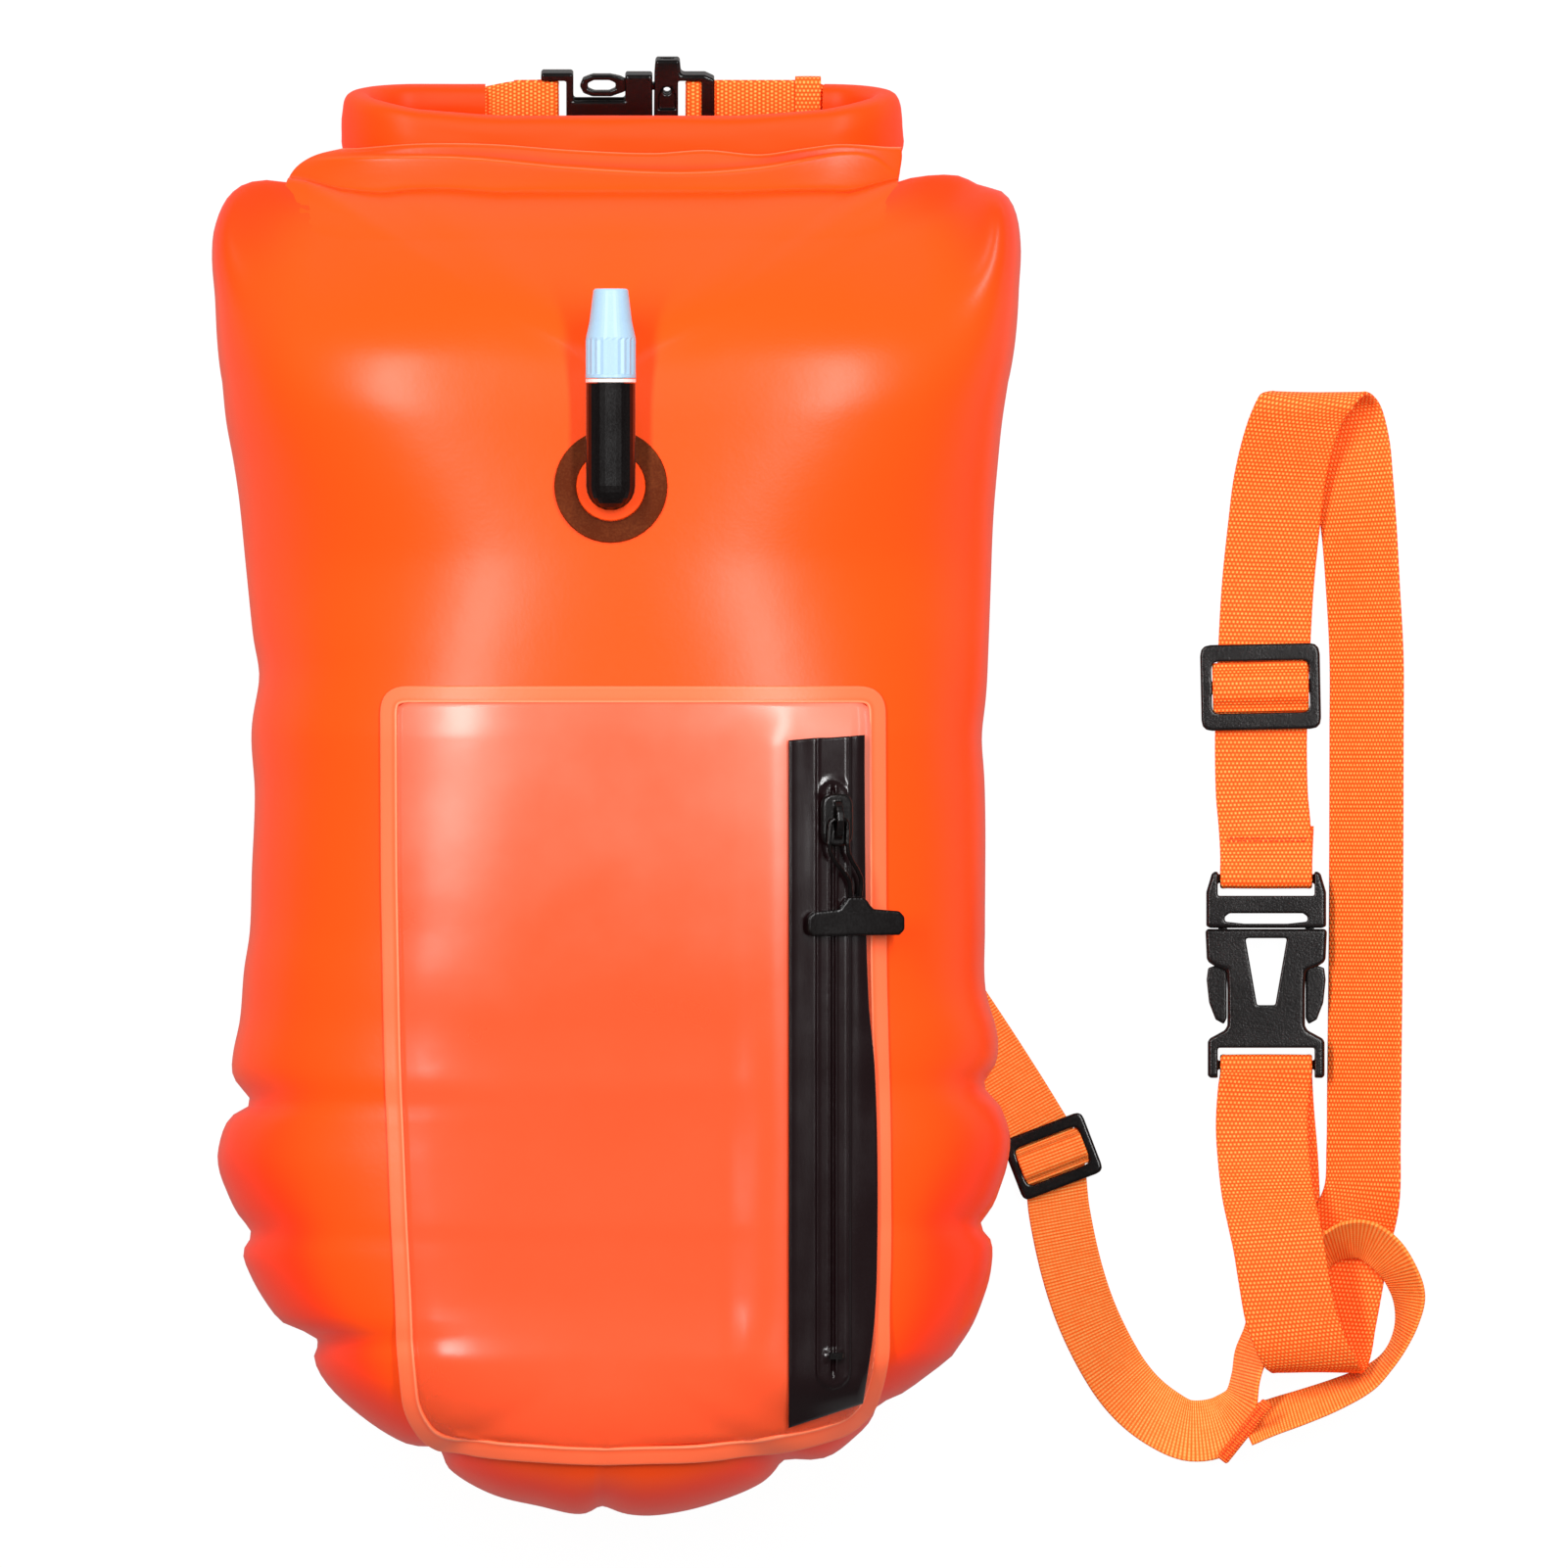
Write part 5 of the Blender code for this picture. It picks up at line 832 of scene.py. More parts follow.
RIGHT_SIDE_SHARES: Table = (
    (-0.390, 0.4155), (-0.371, 0.4386), (-0.354, 0.4520), (-0.334, 0.4629), (-0.309, 0.4659),
    (-0.301, 0.4599), (-0.277, 0.4738), (-0.260, 0.4836), (-0.240, 0.4872), (-0.220, 0.4763),
    (-0.205, 0.4641), (-0.188, 0.4714), (-0.170, 0.4714), (-0.139, 0.4568), (-0.100, 0.4562),
    (-0.033, 0.4568), (0.034, 0.4556), (0.074, 0.4592), (0.128, 0.4629), (0.181, 0.4665),
    (0.222, 0.4726), (0.248, 0.4775), (0.2746, 0.4848),
)
LEFT_SIDE_SHARES: Table = (
    (-0.390, 0.3808), (-0.377, 0.3863), (-0.368, 0.4142), (-0.351, 0.4386), (-0.334, 0.4556),
    (-0.319, 0.4653), (-0.306, 0.4629), (-0.280, 0.4824), (-0.264, 0.4933), (-0.250, 0.4951),
    (-0.227, 0.4824), (-0.217, 0.4665), (-0.197, 0.4775), (-0.183, 0.4763), (-0.160, 0.4678),
    (-0.127, 0.4629), (-0.100, 0.4556), (-0.060, 0.4532), (-0.006, 0.4495), (0.034, 0.4538),
    (0.074, 0.4477), (0.101, 0.4520), (0.155, 0.4617), (0.195, 0.4690), (0.222, 0.4763),
    (0.248, 0.4848), (0.2746, 0.4896),
)
TOP_END_SHARES: Table = (
    (0.0, 0.4848), (12.6, 0.5103), (18.9, 0.5289), (23.4, 0.5375), (26.3, 0.5326),
    (28.5, 0.5116), (31.4, 0.4923), (34.8, 0.4450), (40.0, 0.3660), (60.0, 0.2692),
    (90.0, 0.2330), (120.0, 0.2692), (140.0, 0.3640), (145.0, 0.4140), (147.6, 0.4700),
    (150.2, 0.5049), (152.2, 0.5245), (155.0, 0.5348), (159.2, 0.5341), (162.6, 0.5263),
    (168.8, 0.5078), (180.0, 0.4896),
)
BOTTOM_END_SHARES: Table = (
    (180.0, 0.3808), (185.6, 0.3611), (192.9, 0.3275), (203.3, 0.2799), (207.2, 0.2577),
    (214.6, 0.2504), (227.0, 0.2326), (242.2, 0.2102), (259.0, 0.2007), (264.4, 0.1929),
    (282.0, 0.2024), (293.8, 0.2098), (306.2, 0.2214), (317.8, 0.2373), (328.3, 0.2523),
    (334.4, 0.2895), (341.7, 0.3133), (348.4, 0.3360), (354.6, 0.3720), (360.0, 0.4155),
)
UPPER_FULLNESS_SHARES: Table = ((0.036, 2.6), (0.09, 2.35), (0.16, 2.15), (0.2746, 3.3))
END_FULLNESS_SHARES: Table = (
    (0.0, 3.3), (28.0, 3.8), (55.0, 2.5), (90.0, 2.0), (125.0, 2.5), (152.0, 3.8), (180.0, 3.3),
)


@dataclass(frozen=True)
class Crease:
    """A pucker of the film where its seam is drawn in: its place on the outline and its size."""

    x: float
    y: float
    width: float
    depth: float
    run: float


CREASES = (
    Crease(-0.1213, -0.1032, 0.0052, 0.026, 0.30), Crease(-0.1205, -0.1450, 0.0046, 0.020, 0.26),
    Crease(-0.1005, -0.1790, 0.0060, 0.034, 0.42), Crease(-0.0600, -0.2155, 0.0046, 0.032, 0.36),
    Crease(-0.0050, -0.2350, 0.0050, 0.030, 0.30), Crease(0.0560, -0.2195, 0.0044, 0.030, 0.34),
    Crease(0.0870, -0.2005, 0.0048, 0.034, 0.40), Crease(0.1195, -0.1428, 0.0044, 0.022, 0.28),
    Crease(0.1210, -0.0975, 0.0048, 0.020, 0.26), Crease(-0.1165, 0.0350, 0.0090, 0.008, 0.24),
    Crease(0.1185, 0.0150, 0.0090, 0.007, 0.22), Crease(-0.1080, 0.1985, 0.0040, 0.030, 0.34),
    Crease(0.0905, 0.1935, 0.0040, 0.028, 0.32),
)


@dataclass(frozen=True)
class Ray:
    """A line from the bag's spine to a place on its outline."""

    centre: Vector
    direction: Vector
    reach: float

    @property
    def edge(self) -> Vector:
        """The place on the outline."""
        return self.centre + self.direction * self.reach


@dataclass(frozen=True)
class BagForm:
    """Shape of the inflated bag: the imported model's own, at any density."""

    width: float = 261.0 * MM
    length: float = 474.0 * MM
    seam_height: float = 72.0 * MM
    film: float = 1.0 * MM
    gap: float = 0.3 * MM
    back_depth: float = 74.5 * MM
    rim: float = 1.4 * MM
    mouth_rim: float = 16.0 * MM
    mouth_x: float = -6.0 * MM
    mouth_half: float = 104.0 * MM
    mouth_power: int = 8
    back_share: float = 0.99
    spine_top: float = 130.16 * MM
    spine_bottom: float = -184.86 * MM
    bottom_fullness: float = 3.0
    zip_x: float = 69.0 * MM
    zip_top: float = 17.0 * MM
    zip_bottom: float = -190.0 * MM
    zip_rise_top: float = 69.2 * MM
    zip_rise_bottom: float = 60.0 * MM
    zip_tilt: float = math.radians(16.0)
    ripple_height: float = 0.35 * MM
    fall_start: float = 116.0 * MM
    fall_end: float = 198.0 * MM
    fall_left: float = -152.0 * MM
    fall_right: float = 142.0 * MM
    fall_blend: float = 42.0 * MM

    @property
    def front_base(self) -> float:
        """Height of the front chamber's base."""
        return self.seam_height + self.gap / 2 + self.film + self.gap

    @property
    def back_base(self) -> float:
        """Height of the back chamber's base."""
        return self.seam_height - self.gap / 2 - self.film - self.gap

    def side_reach(self, y: float, right: bool) -> float:
        """Half width of the outline at a height on its right or left side."""
        return read_smooth(RIGHT_SIDE_SHARES if right else LEFT_SIDE_SHARES, y / self.length) * self.width

    def end_reach(self, angle: float) -> float:
        """Reach of the outline round the end of the spine, by an angle from 0 to 360 degrees."""
        return read_smooth(TOP_END_SHARES if angle <= 180.0 else BOTTOM_END_SHARES, angle) * self.width

    def rays(self, rows: int = 118, top: int = 150, bottom: int = 96) -> list[Ray]:
        """Rays from the spine to the outline, counterclockwise.

        Args:
            rows: Rays on each side.
            top: Parts of the half turn round the upper end.
            bottom: Parts of the half turn round the lower end.

        Returns:
            The rays.
        """
        heights = [
            self.spine_bottom + (self.spine_top - self.spine_bottom) * i / (rows - 1)
            for i in range(rows)
        ]
        rays = [Ray(Vector((0, y)), Vector((1, 0)), self.side_reach(y, True)) for y in heights]
        rays += [self.end_ray(self.spine_top, 180.0 * i / top) for i in range(1, top)]
        rays += [
            Ray(Vector((0, y)), Vector((-1, 0)), self.side_reach(y, False)) for y in reversed(heights)
        ]
        rays += [self.end_ray(self.spine_bottom, 180.0 + 180.0 * i / bottom) for i in range(1, bottom)]
        return rays

    def end_ray(self, spine_y: float, angle: float) -> Ray:
        """A ray round an end of the spine, by its angle in degrees."""
        turn = math.radians(angle)
        return Ray(
            Vector((0, spine_y)), Vector((math.cos(turn), math.sin(turn))), self.end_reach(angle)
        )

    def zip_share(self, y: float) -> float:
        """How far down the zipper a height is, from 0 to 1."""
        return min(max((self.zip_top - y) / (self.zip_top - self.zip_bottom), 0.0), 1.0)

    def zip_rise(self, y: float) -> float:
        """Height of the zipper's straight line over the front chamber's base."""
        return self.zip_rise_top + (self.zip_rise_bottom - self.zip_rise_top) * self.zip_share(y)

    @staticmethod
    def swell(share: float, fullness: float) -> float:
        """Rounded rise of an inflated panel, from 1 at the spine to 0 at the seam."""
        return max(1.0 - min(share, 1.0) ** fullness, 0.0) ** (1.0 / fullness)

    def fullness(self, y: float, direction: Vector | None = None) -> float:
        """How blunt the panel is along a ray from the spine."""
        if direction is not None and direction.y > 0 and y >= self.spine_top - MM * 0.01:
            turn = math.degrees(math.atan2(direction.y, direction.x))
            return read_smooth(END_FULLNESS_SHARES, turn)
        if y > self.zip_top:
            return read_smooth(UPPER_FULLNESS_SHARES, y / self.length)
        upper = UPPER_FULLNESS_SHARES[0][1]
        return upper + (self.bottom_fullness - upper) * self.zip_share(y)

    def front_depth(self, y: float) -> float:
        """Depth of the front panel at the spine."""
        y = min(max(y, self.spine_bottom), self.zip_top)
        return self.zip_rise(y) / self.swell(self.zip_x / self.side_reach(y, True), self.fullness(y))

    def rim_height(self, edge: Vector) -> float:
        """Height of the panel's rim over the seam, raised along the mouth."""
        if edge.y < self.spine_top:
            return self.rim
        share = min(abs(edge.x - self.mouth_x) / self.mouth_half, 1.0)
        return self.rim + (self.mouth_rim - self.rim) * (1 - share**self.mouth_power)

    def fall(self, x: float, y: float, z: float) -> float:
        """Ease the front film down to the neck, between the two shoulders."""
        if y <= self.fall_start:
            return z
        weight = settle((x - self.fall_left) / self.fall_blend)
        weight *= settle((self.fall_right - x) / self.fall_blend)
        weight *= 0.6 + 0.35 * min(abs(x) / (100 * MM), 1.0) ** 2
        level = self.front_base + self.mouth_rim
        share = min((y - self.fall_start) / (self.fall_end - self.fall_start), 1.0)
        return z + min(level - z, 0.0) * (0.55 * share ** 2.2 + 0.45 * settle(share)) * weight

    def ripple(self, x: float, y: float) -> float:
        """Slight unevenness of the filled film."""
        return self.ripple_height * noise.noise((x * 16, y * 11, 3.7))

    def front_height(self, x: float, y: float) -> float:
        """Height of the front film over a place in the footprint."""
        return self.fall(x, y, self.plain_height(x, y))

    def plain_height(self, x: float, y: float) -> float:
        """Height of the evenly swollen film over a place, before it falls to the neck."""
        spine_y = min(max(y, self.spine_bottom), self.spine_top)
        away = Vector((x, y - spine_y))
        if away.length < MM * 0.002:
            return self.front_base + self.front_depth(spine_y) + self.ripple(x, y)
        if spine_y == y:
            reach = self.side_reach(y, x > 0)
        else:
            reach = self.end_reach(math.degrees(math.atan2(away.y, away.x)) % 360.0)
        rim = self.rim_height(Vector((0, spine_y)) + away.normalized() * reach)
        rise = self.swell(away.length / reach, self.fullness(spine_y, away))
        depth = self.front_depth(spine_y)
        return self.front_base + rim + (depth - rim) * rise + self.ripple(x, y) * rise

    def on_front(self, x: float, y: float, lift: float) -> Vector:
        """A point at a distance off the front film, along the film's own direction."""
        step = 0.5 * MM
        dx = (self.front_height(x + step, y) - self.front_height(x - step, y)) / (2 * step)
        dy = (self.front_height(x, y + step) - self.front_height(x, y - step)) / (2 * step)
        return Vector((x, y, self.front_height(x, y))) + Vector((-dx, -dy, 1)).normalized() * lift

    def zip_plane(self, x: float, y: float, level: float) -> float:
        """Height of the zipper's plane over a place, raised by a level."""
        slope = (self.zip_rise_top - self.zip_rise_bottom) / (self.zip_top - self.zip_bottom)
        top = self.front_base + self.zip_rise_top - (self.zip_top - y) * slope
        return top - (x - self.zip_x) * math.tan(self.zip_tilt) + level / math.cos(self.zip_tilt)

    def zip_frame(self, y: float) -> Matrix:
        """Frame on the zipper's line: X across, Y up the zipper, Z off the film."""
        slope = (self.zip_rise_top - self.zip_rise_bottom) / (self.zip_top - self.zip_bottom)
        along = Vector((0, 1, slope)).normalized()
        across = Vector((math.cos(self.zip_tilt), 0, -math.sin(self.zip_tilt)))
        up = across.cross(along)
        up = (up - up.dot(along) * along).normalized()
        turned = Matrix((along.cross(up), along, up)).transposed().to_4x4()
        turned.translation = (self.zip_x, y, self.front_base + self.zip_rise(y))
        return turned

    def back_height(self, x: float, y: float) -> float:
        """Height of the back film over a place, away from its ends."""
        reach = self.side_reach(y, x > 0) * self.back_share
        rise = self.rim + (self.back_depth - self.rim) * self.swell(abs(x) / reach, self.fullness(y))
        return self.back_base - min(rise, self.back_base)


FORM = BagForm()


@dataclass
class InflatedBag:
    """Both air chambers, the dry bag's lining between them and the weld all round."""

    levels: int = 46
    inner_share: float = 0.97
    lining_share: float = 0.93
    lining_top: float = 191.8 * MM
    weld_inner: float = 0.945
    weld_outer: float = 0.985
    weld_half: float = 1.15 * MM

    def pinch(self, edge: Vector, level: float) -> float:
        """How far the puckers draw the film in at a place of the outline and a level."""
        total = 0.0
        for crease in CREASES:
            gone = (1.0 - level) / crease.run
            if gone < 1.0:
                width = crease.width * (1 + 2.2 * gone)
                distance = math.hypot(edge.x - crease.x, edge.y - crease.y)
                total += crease.depth * bump_of(distance, width) * (1 - gone) ** 2
        return total

    def chamber(self, name: str, sign: int, share: float) -> bpy.types.Object:
        """One chamber: a film that swells from the seam, closed by a flat inner wall.

        Args:
            name: Name of the piece.
            sign: 1 for the front and -1 for the back.
            share: How far it reaches, as a share of the outline.

        Returns:
            The piece.
        """
        base = FORM.front_base if sign > 0 else FORM.back_base
        rays = FORM.rays()
        rings, tones = [], []
        for k in range(self.levels + 1):
            turn = math.pi / 2 * (1 - (1 - k / self.levels) ** 1.5)
            ring = []
            for ray in rays:
                full = FORM.fullness(ray.centre.y, ray.direction)
                level = math.sin(turn) ** (2 / full)
                rise = math.cos(turn) ** (2 / full) if k < self.levels else 0.0
                drawn = self.pinch(ray.edge, level)
                place = ray.centre + ray.direction * ray.reach * share * level * (1 - drawn)
                rim = FORM.rim_height(ray.edge)
                if sign > 0:
                    depth = FORM.front_depth(ray.centre.y)
                    z = base + rim + (depth - rim) * rise * (1 - drawn * 1.6)
                    z = FORM.fall(place.x, place.y, z + FORM.ripple(place.x, place.y) * rise)
                else:
                    z = base - min(rim + (FORM.back_depth - rim) * rise * (1 - drawn), base)
                ring.append((place.x, place.y, z))
                tones.append(self.tone(ray, level, drawn))
            rings.append(ring)
        inner = [(*(ray.centre + ray.direction * ray.reach * share * self.inner_share), base) for ray in rays]
        rings.append(inner)
        tones += [0.6] * len(rays)
        points = [point for ring in rings for point in ring]
        faces = tube_faces(len(rings), len(rays), caps=False)
        faces.append(tuple(range((len(rings) - 1) * len(rays), len(rings) * len(rays))))
        return clean(add_mesh(name, points, faces, tones))

    @staticmethod
    def tone(ray: Ray, level: float, drawn: float) -> float:
        """Painted shade of the film near its outline, deeper at the lower lobes and the shoulders, and in the
        puckers.
        """
        edge = ray.edge
        low = ease(0.0, 0.85, (-0.085 - edge.y) / 0.06)
        shoulder = ease(0.0, 0.5, (edge.y - 0.15) / 0.05) * ease(0.0, 1.0, (abs(edge.x) - 0.03) / 0.04)
        near = ease(0.0, 1.0, (level - 0.7) / 0.26)
        return min((0.3 + low + shoulder) * near + drawn * 9, 1.0)

    def lining(self) -> bpy.types.Object:
        """Two flat films of the empty dry bag between the chambers."""
        outline = []
        for ray in FORM.rays(60, 60, 48):
            edge = ray.centre + ray.direction * ray.reach * self.lining_share
            if ray.direction.y > 0 and abs(edge.x - FORM.mouth_x) < 67.0 * MM:
                edge = ray.centre + ray.direction * (self.lining_top - ray.centre.y) / ray.direction.y
            outline.append(edge)
        sheets = []
        for low in (FORM.seam_height + FORM.gap / 2, FORM.seam_height - FORM.gap / 2 - FORM.film):
            rings = [[(p.x, p.y, low + lift) for p in outline] for lift in (0.0, FORM.film)]
            points = [point for ring in rings for point in ring]
            sheets.append(clean(add_mesh("lining", points, tube_faces(2, len(outline)))))
        return join(sheets)

    def weld(self) -> bpy.types.Object:
        """Welded band that joins the layers up to both ends of the mouth, with its pressed ribs."""
        rays = FORM.rays(118, 150, 96)

        def at_mouth(ray: Ray) -> bool:
            """Whether a ray ends in the bag's mouth."""
            return ray.edge.y > FORM.spine_top and abs(ray.edge.x - FORM.mouth_x) < FORM.mouth_half

        start = next(i for i, ray in enumerate(rays) if at_mouth(ray))
        end = max(i for i, ray in enumerate(rays) if at_mouth(ray))
        rings = []
        for i, ray in enumerate(rays[end + 1 :] + rays[:start]):
            drawn = 1 - self.pinch(ray.edge, 1.0) * 0.8
            ring = []
            for share, height in (
                (0.0, -1.0), (0.5, -0.85), (1.0, -0.8), (1.0, 0.8), (0.78, 0.85), (0.66, 1.0),
                (0.54, 0.8), (0.4, 1.0), (0.26, 0.8), (0.0, 1.0),
            ):
                reach = self.weld_inner + (self.weld_outer - self.weld_inner) * share
                place = ray.centre + ray.direction * ray.reach * reach * drawn
                ring.append((place.x, place.y, FORM.seam_height + height * self.weld_half))
            rings.append(ring)
        points = [point for ring in rings for point in ring]
        return clean(add_mesh("weld", points, tube_faces(len(rings), len(rings[0])), [0.5] * len(points)))

    def build(self) -> None:
        """Make and dress the bag."""
        dress(self.chamber("front", 1, 1.0), "front_film", FILM, "bag", ["front_chamber"])
        dress(self.chamber("back", -1, FORM.back_share), "back_film", FILM, "bag", ["back_chamber"])
        lining = ["dry_bag_front_panel", "dry_bag_back_panel"]
        dress(self.lining(), "dry_bag_lining", LINING, "bag", lining, 30.0)
        dress(self.weld(), "seam_weld", FILM, "bag", ["perimeter_weld"])


# Folds drawn across the neck, as (place across, height) in millimetres
LOWER_FOLD_MM: Table = (
    (-103.7, 202.2), (-79.2, 203.0), (-49.7, 202.7), (-14.8, 199.5), (20.2, 197.8), (46.2, 199.5),
    (72.2, 203.9), (82.7, 203.0), (89.7, 197.8),
)
UPPER_FOLD_MM: Table = (
    (-84.4, 206.0), (-63.7, 207.4), (-40.9, 207.2), (-14.8, 205.3), (11.3, 204.3), (28.7, 205.3),
    (46.2, 203.9), (60.2, 205.8), (72.2, 207.2), (88.0, 206.4),
)


# Left and right edge of the neck, as (height, place across) in millimetres
NECK_LEFT_MM: Table = (
    (168.0, -108.5), (185.0, -108.8), (190.0, -108.2), (195.2, -106.8), (199.0, -104.8), (202.0, -101.5),
    (204.4, -96.5), (206.2, -89.0),
)
NECK_RIGHT_MM: Table = (
    (168.0, 95.5), (185.0, 94.0), (191.0, 91.6), (194.0, 91.0), (198.0, 91.5), (203.0, 92.2), (206.2, 92.0),
)


@dataclass
class RolledTop:
    """The mouth rolled shut and bent back into a carry loop, and the neck under it."""

    height: float = 23.0 * MM
    thickness: float = 11.0 * MM
    y: float = 205.1 * MM
    rise: float = 11.0 * MM
    z: float = 74.0 * MM
    depth: float = 40.0 * MM
    tilt: float = math.radians(13.0)
    left: float = -64.0 * MM
    right: float = 67.0 * MM
    left_end: float = -43.0 * MM
    collar_thickness: float = 2.6 * MM
    neck_bottom: float = 168.0 * MM
    neck_bend: float = 184.0 * MM
    neck_rows: int = 62
    neck_columns: int = 300
    layer_step: float = 0.9 * MM
    blend_height: float = 2.2 * MM
    steepness: float = 4.0
    neck_top: float = 206.2 * MM
    collar_top: float = 208.0 * MM
    collar_drop: float = 13.0 * MM
    layer: float = 0.7 * MM

    @property
    def across(self) -> Vector:
        """Direction of the roll's height."""
        return Vector((0, math.cos(self.tilt), math.sin(self.tilt)))

    def centre(self, x: float, depth: float) -> Vector:
        """A point of the roll's centre line."""
        rise = self.rise * (max(depth, 0.0) / self.depth) ** 0.7
        side = (abs(x - (self.left + self.right) / 2) - 34 * MM) / (46 * MM)
        rise += ease(0.0, 2.6 * MM, side) * (1 - depth / self.depth)
        return Vector((x, self.y + rise, self.z - depth * math.cos(self.tilt)))

    def route(self) -> list[tuple[float, float]]:
        """Centre line as (x, depth): from the left end behind, along the front, to the right end."""
        radius, steps = self.depth / 2, 22
        route = [(self.left_end - (self.left_end - self.left) * i / 6, self.depth) for i in range(6)]
        for i in range(steps + 1):
            turn = math.pi * i / steps
            route.append((self.left - radius * math.sin(turn), radius * (1 + math.cos(turn))))
        route += [(self.left + (self.right - self.left) * i / 30, 0.0) for i in range(1, 30)]
        for i in range(steps + 1):
            turn = math.pi * i / steps
            route.append((self.right + radius * math.sin(turn), radius * (1 - math.cos(turn))))
        return route

    def roll(self) -> bpy.types.Object:
        """The roll: an oval of wound film, whose last layer ends in a step along its front."""
        sides = 44
        route = self.route()
        centres = [self.centre(*place) for place in route]
        rings, tones = [], []
        for i, middle in enumerate(centres):
            run = centres[min(i + 1, len(centres) - 1)] - centres[max(i - 1, 0)]
            run = Vector((run.x, 0, run.z)).normalized()
            outward = self.across.cross(run).normalized()
            ring = []
            for k in range(sides):
                turn = math.tau * k / sides
                u = math.copysign(abs(math.cos(turn)) ** 0.62, math.cos(turn))
                v = math.copysign(abs(math.sin(turn)) ** 0.72, math.sin(turn))
                crumple = noise.noise((middle.x * 42, v * 1.3, route[i][1] * 40)) * 0.5 * MM
                crumple += noise.noise((middle.x * 110, v * 3.1, 7.0)) * 0.22 * MM
                step = self.layer if v < -0.25 else 0.0
                grow = (crumple - step * (1 if u > 0 else 0.3)) * min(1.0, 0.3 + abs(u))
                place = middle + outward * (u * self.thickness / 2 + grow)
                place += self.across * (v * self.height / 2)
                ring.append(tuple(place))
                # The tones paint shade: a little all over, more towards the back of the loop and along the
                # roll's lower edge.
                tones.append(0.18 + 0.3 * ease(0, 1, route[i][1] / self.depth) + 0.3 * (v < -0.7))
            rings.append(ring)
        points = [point for ring in rings for point in ring]
        return clean(add_mesh("roll", points, tube_faces(len(rings), sides), tones))

    def film_level(self, x: float, y: float) -> float:
        """Height of the front film, which drops steeply past its outline outside the neck."""
        away = Vector((x, y - FORM.spine_top))
        past = away.length - FORM.end_reach(math.degrees(math.atan2(away.y, away.x)))
        return FORM.fall(x, y, FORM.plain_height(x, y) - max(past, 0.0) * self.steepness)

    def neck(self) -> bpy.types.Object:
        """Front of the neck: it leaves the film in a soft bend, and two of its layers end in wavy edges."""
        roll_face = self.z + self.thickness / 2 / math.cos(self.tilt)
        roll_face += (self.collar_top - self.y) * math.tan(self.tilt) + 2 * FORM.gap
        foot = FORM.front_base + FORM.mouth_rim - self.collar_thickness
        bend = (self.neck_bend - self.neck_bottom) / (self.collar_top - self.neck_bottom)
        shares = [bend * i / 9 for i in range(9)]
        shares += [bend + (1 - bend) * i / self.neck_rows for i in range(self.neck_rows + 1)]
        lower, upper, tones = [], [], []
        for share in shares:
            nominal = (self.neck_bottom + (self.neck_top - self.neck_bottom) * share) / MM
            left, right = (read_smooth(table, nominal) * MM for table in (NECK_LEFT_MM, NECK_RIGHT_MM))
            low_row, high_row, tone_row = [], [], []
            for i in range(self.neck_columns):
                across = 2 * i / (self.neck_columns - 1) - 1
                x = (left + right) / 2 + (right - left) / 2 * across
                edge = read_smooth(UPPER_FOLD_MM, x / MM) * MM
                fold = read_smooth(LOWER_FOLD_MM, x / MM) * MM
                y = self.neck_bottom + (edge - self.neck_bottom) * share
                up = max(y - self.neck_bend, 0.0) / (edge - self.neck_bend)
                neck = ease(foot, max(roll_face, foot - self.collar_drop), up) + self.collar_thickness
                neck -= self.collar_drop * across**6 * 0.6
                fade = 1 - across**6
                neck += self.layer_step * fade * ease(0.0, 1.0, (fold - y) / (1.3 * MM) + 0.5)
                neck += 0.35 * MM * fade * bump_of(y - fold, 0.6 * MM)
                neck -= 1.3 * MM * ease(1.0, 0.0, (edge - y) / (1.1 * MM))
                neck += 0.35 * MM * noise.noise((x * 30, y * 50, 9.0))
                cover = ease(-0.5 * MM, 0.35 * MM, (y - self.neck_bottom) / (14 * MM)) - 0.9 * MM * across**12
                film = self.film_level(x, y) + cover
                gap = (neck - film) / self.blend_height
                height = film + self.blend_height * (gap if gap > 30 else math.log1p(math.exp(gap)))
                low_row.append((x, y, height - self.collar_thickness))
                high_row.append((x, y, height))
                # Painted highlights on the upper edge and along the lower fold; painted shade beside the
                # lower fold's step, a darker patch between the folds near x = 57 mm, and painted shade that
                # grows towards the roll.
                line = max(bump_of(edge - y, 0.45 * MM), 0.75 * fade * bump_of(y - fold, 0.4 * MM))
                shade = 0.3 * fade * bump_of(y - fold - 1.6 * MM, 1.2 * MM)
                shade += 0.5 * bump_of(x - 57 * MM, 12 * MM) * bump_of(y - 203.4 * MM, 1.8 * MM)
                neck_shade = ease(0.0, 0.34, (y - 184 * MM) / (14 * MM))
                tone_row.append((neck_shade + shade) * (1 - line) - line)
            lower.append(low_row)
            upper.append(high_row)
            tones.append(tone_row)
        return sheet_mesh("neck", lower, upper, tones)

    def build(self) -> None:
        """Make and dress the roll and the neck."""
        dress(self.roll(), "rolled_mouth", SHADED_FOLDED_FILM, "bag", ["rolled_top"], 60.0)
        dress(self.neck(), "neck_panel", FILM, "bag", ["neck_collar"])
        refinish(BLACK, "roll_stiffener")


# Webbing


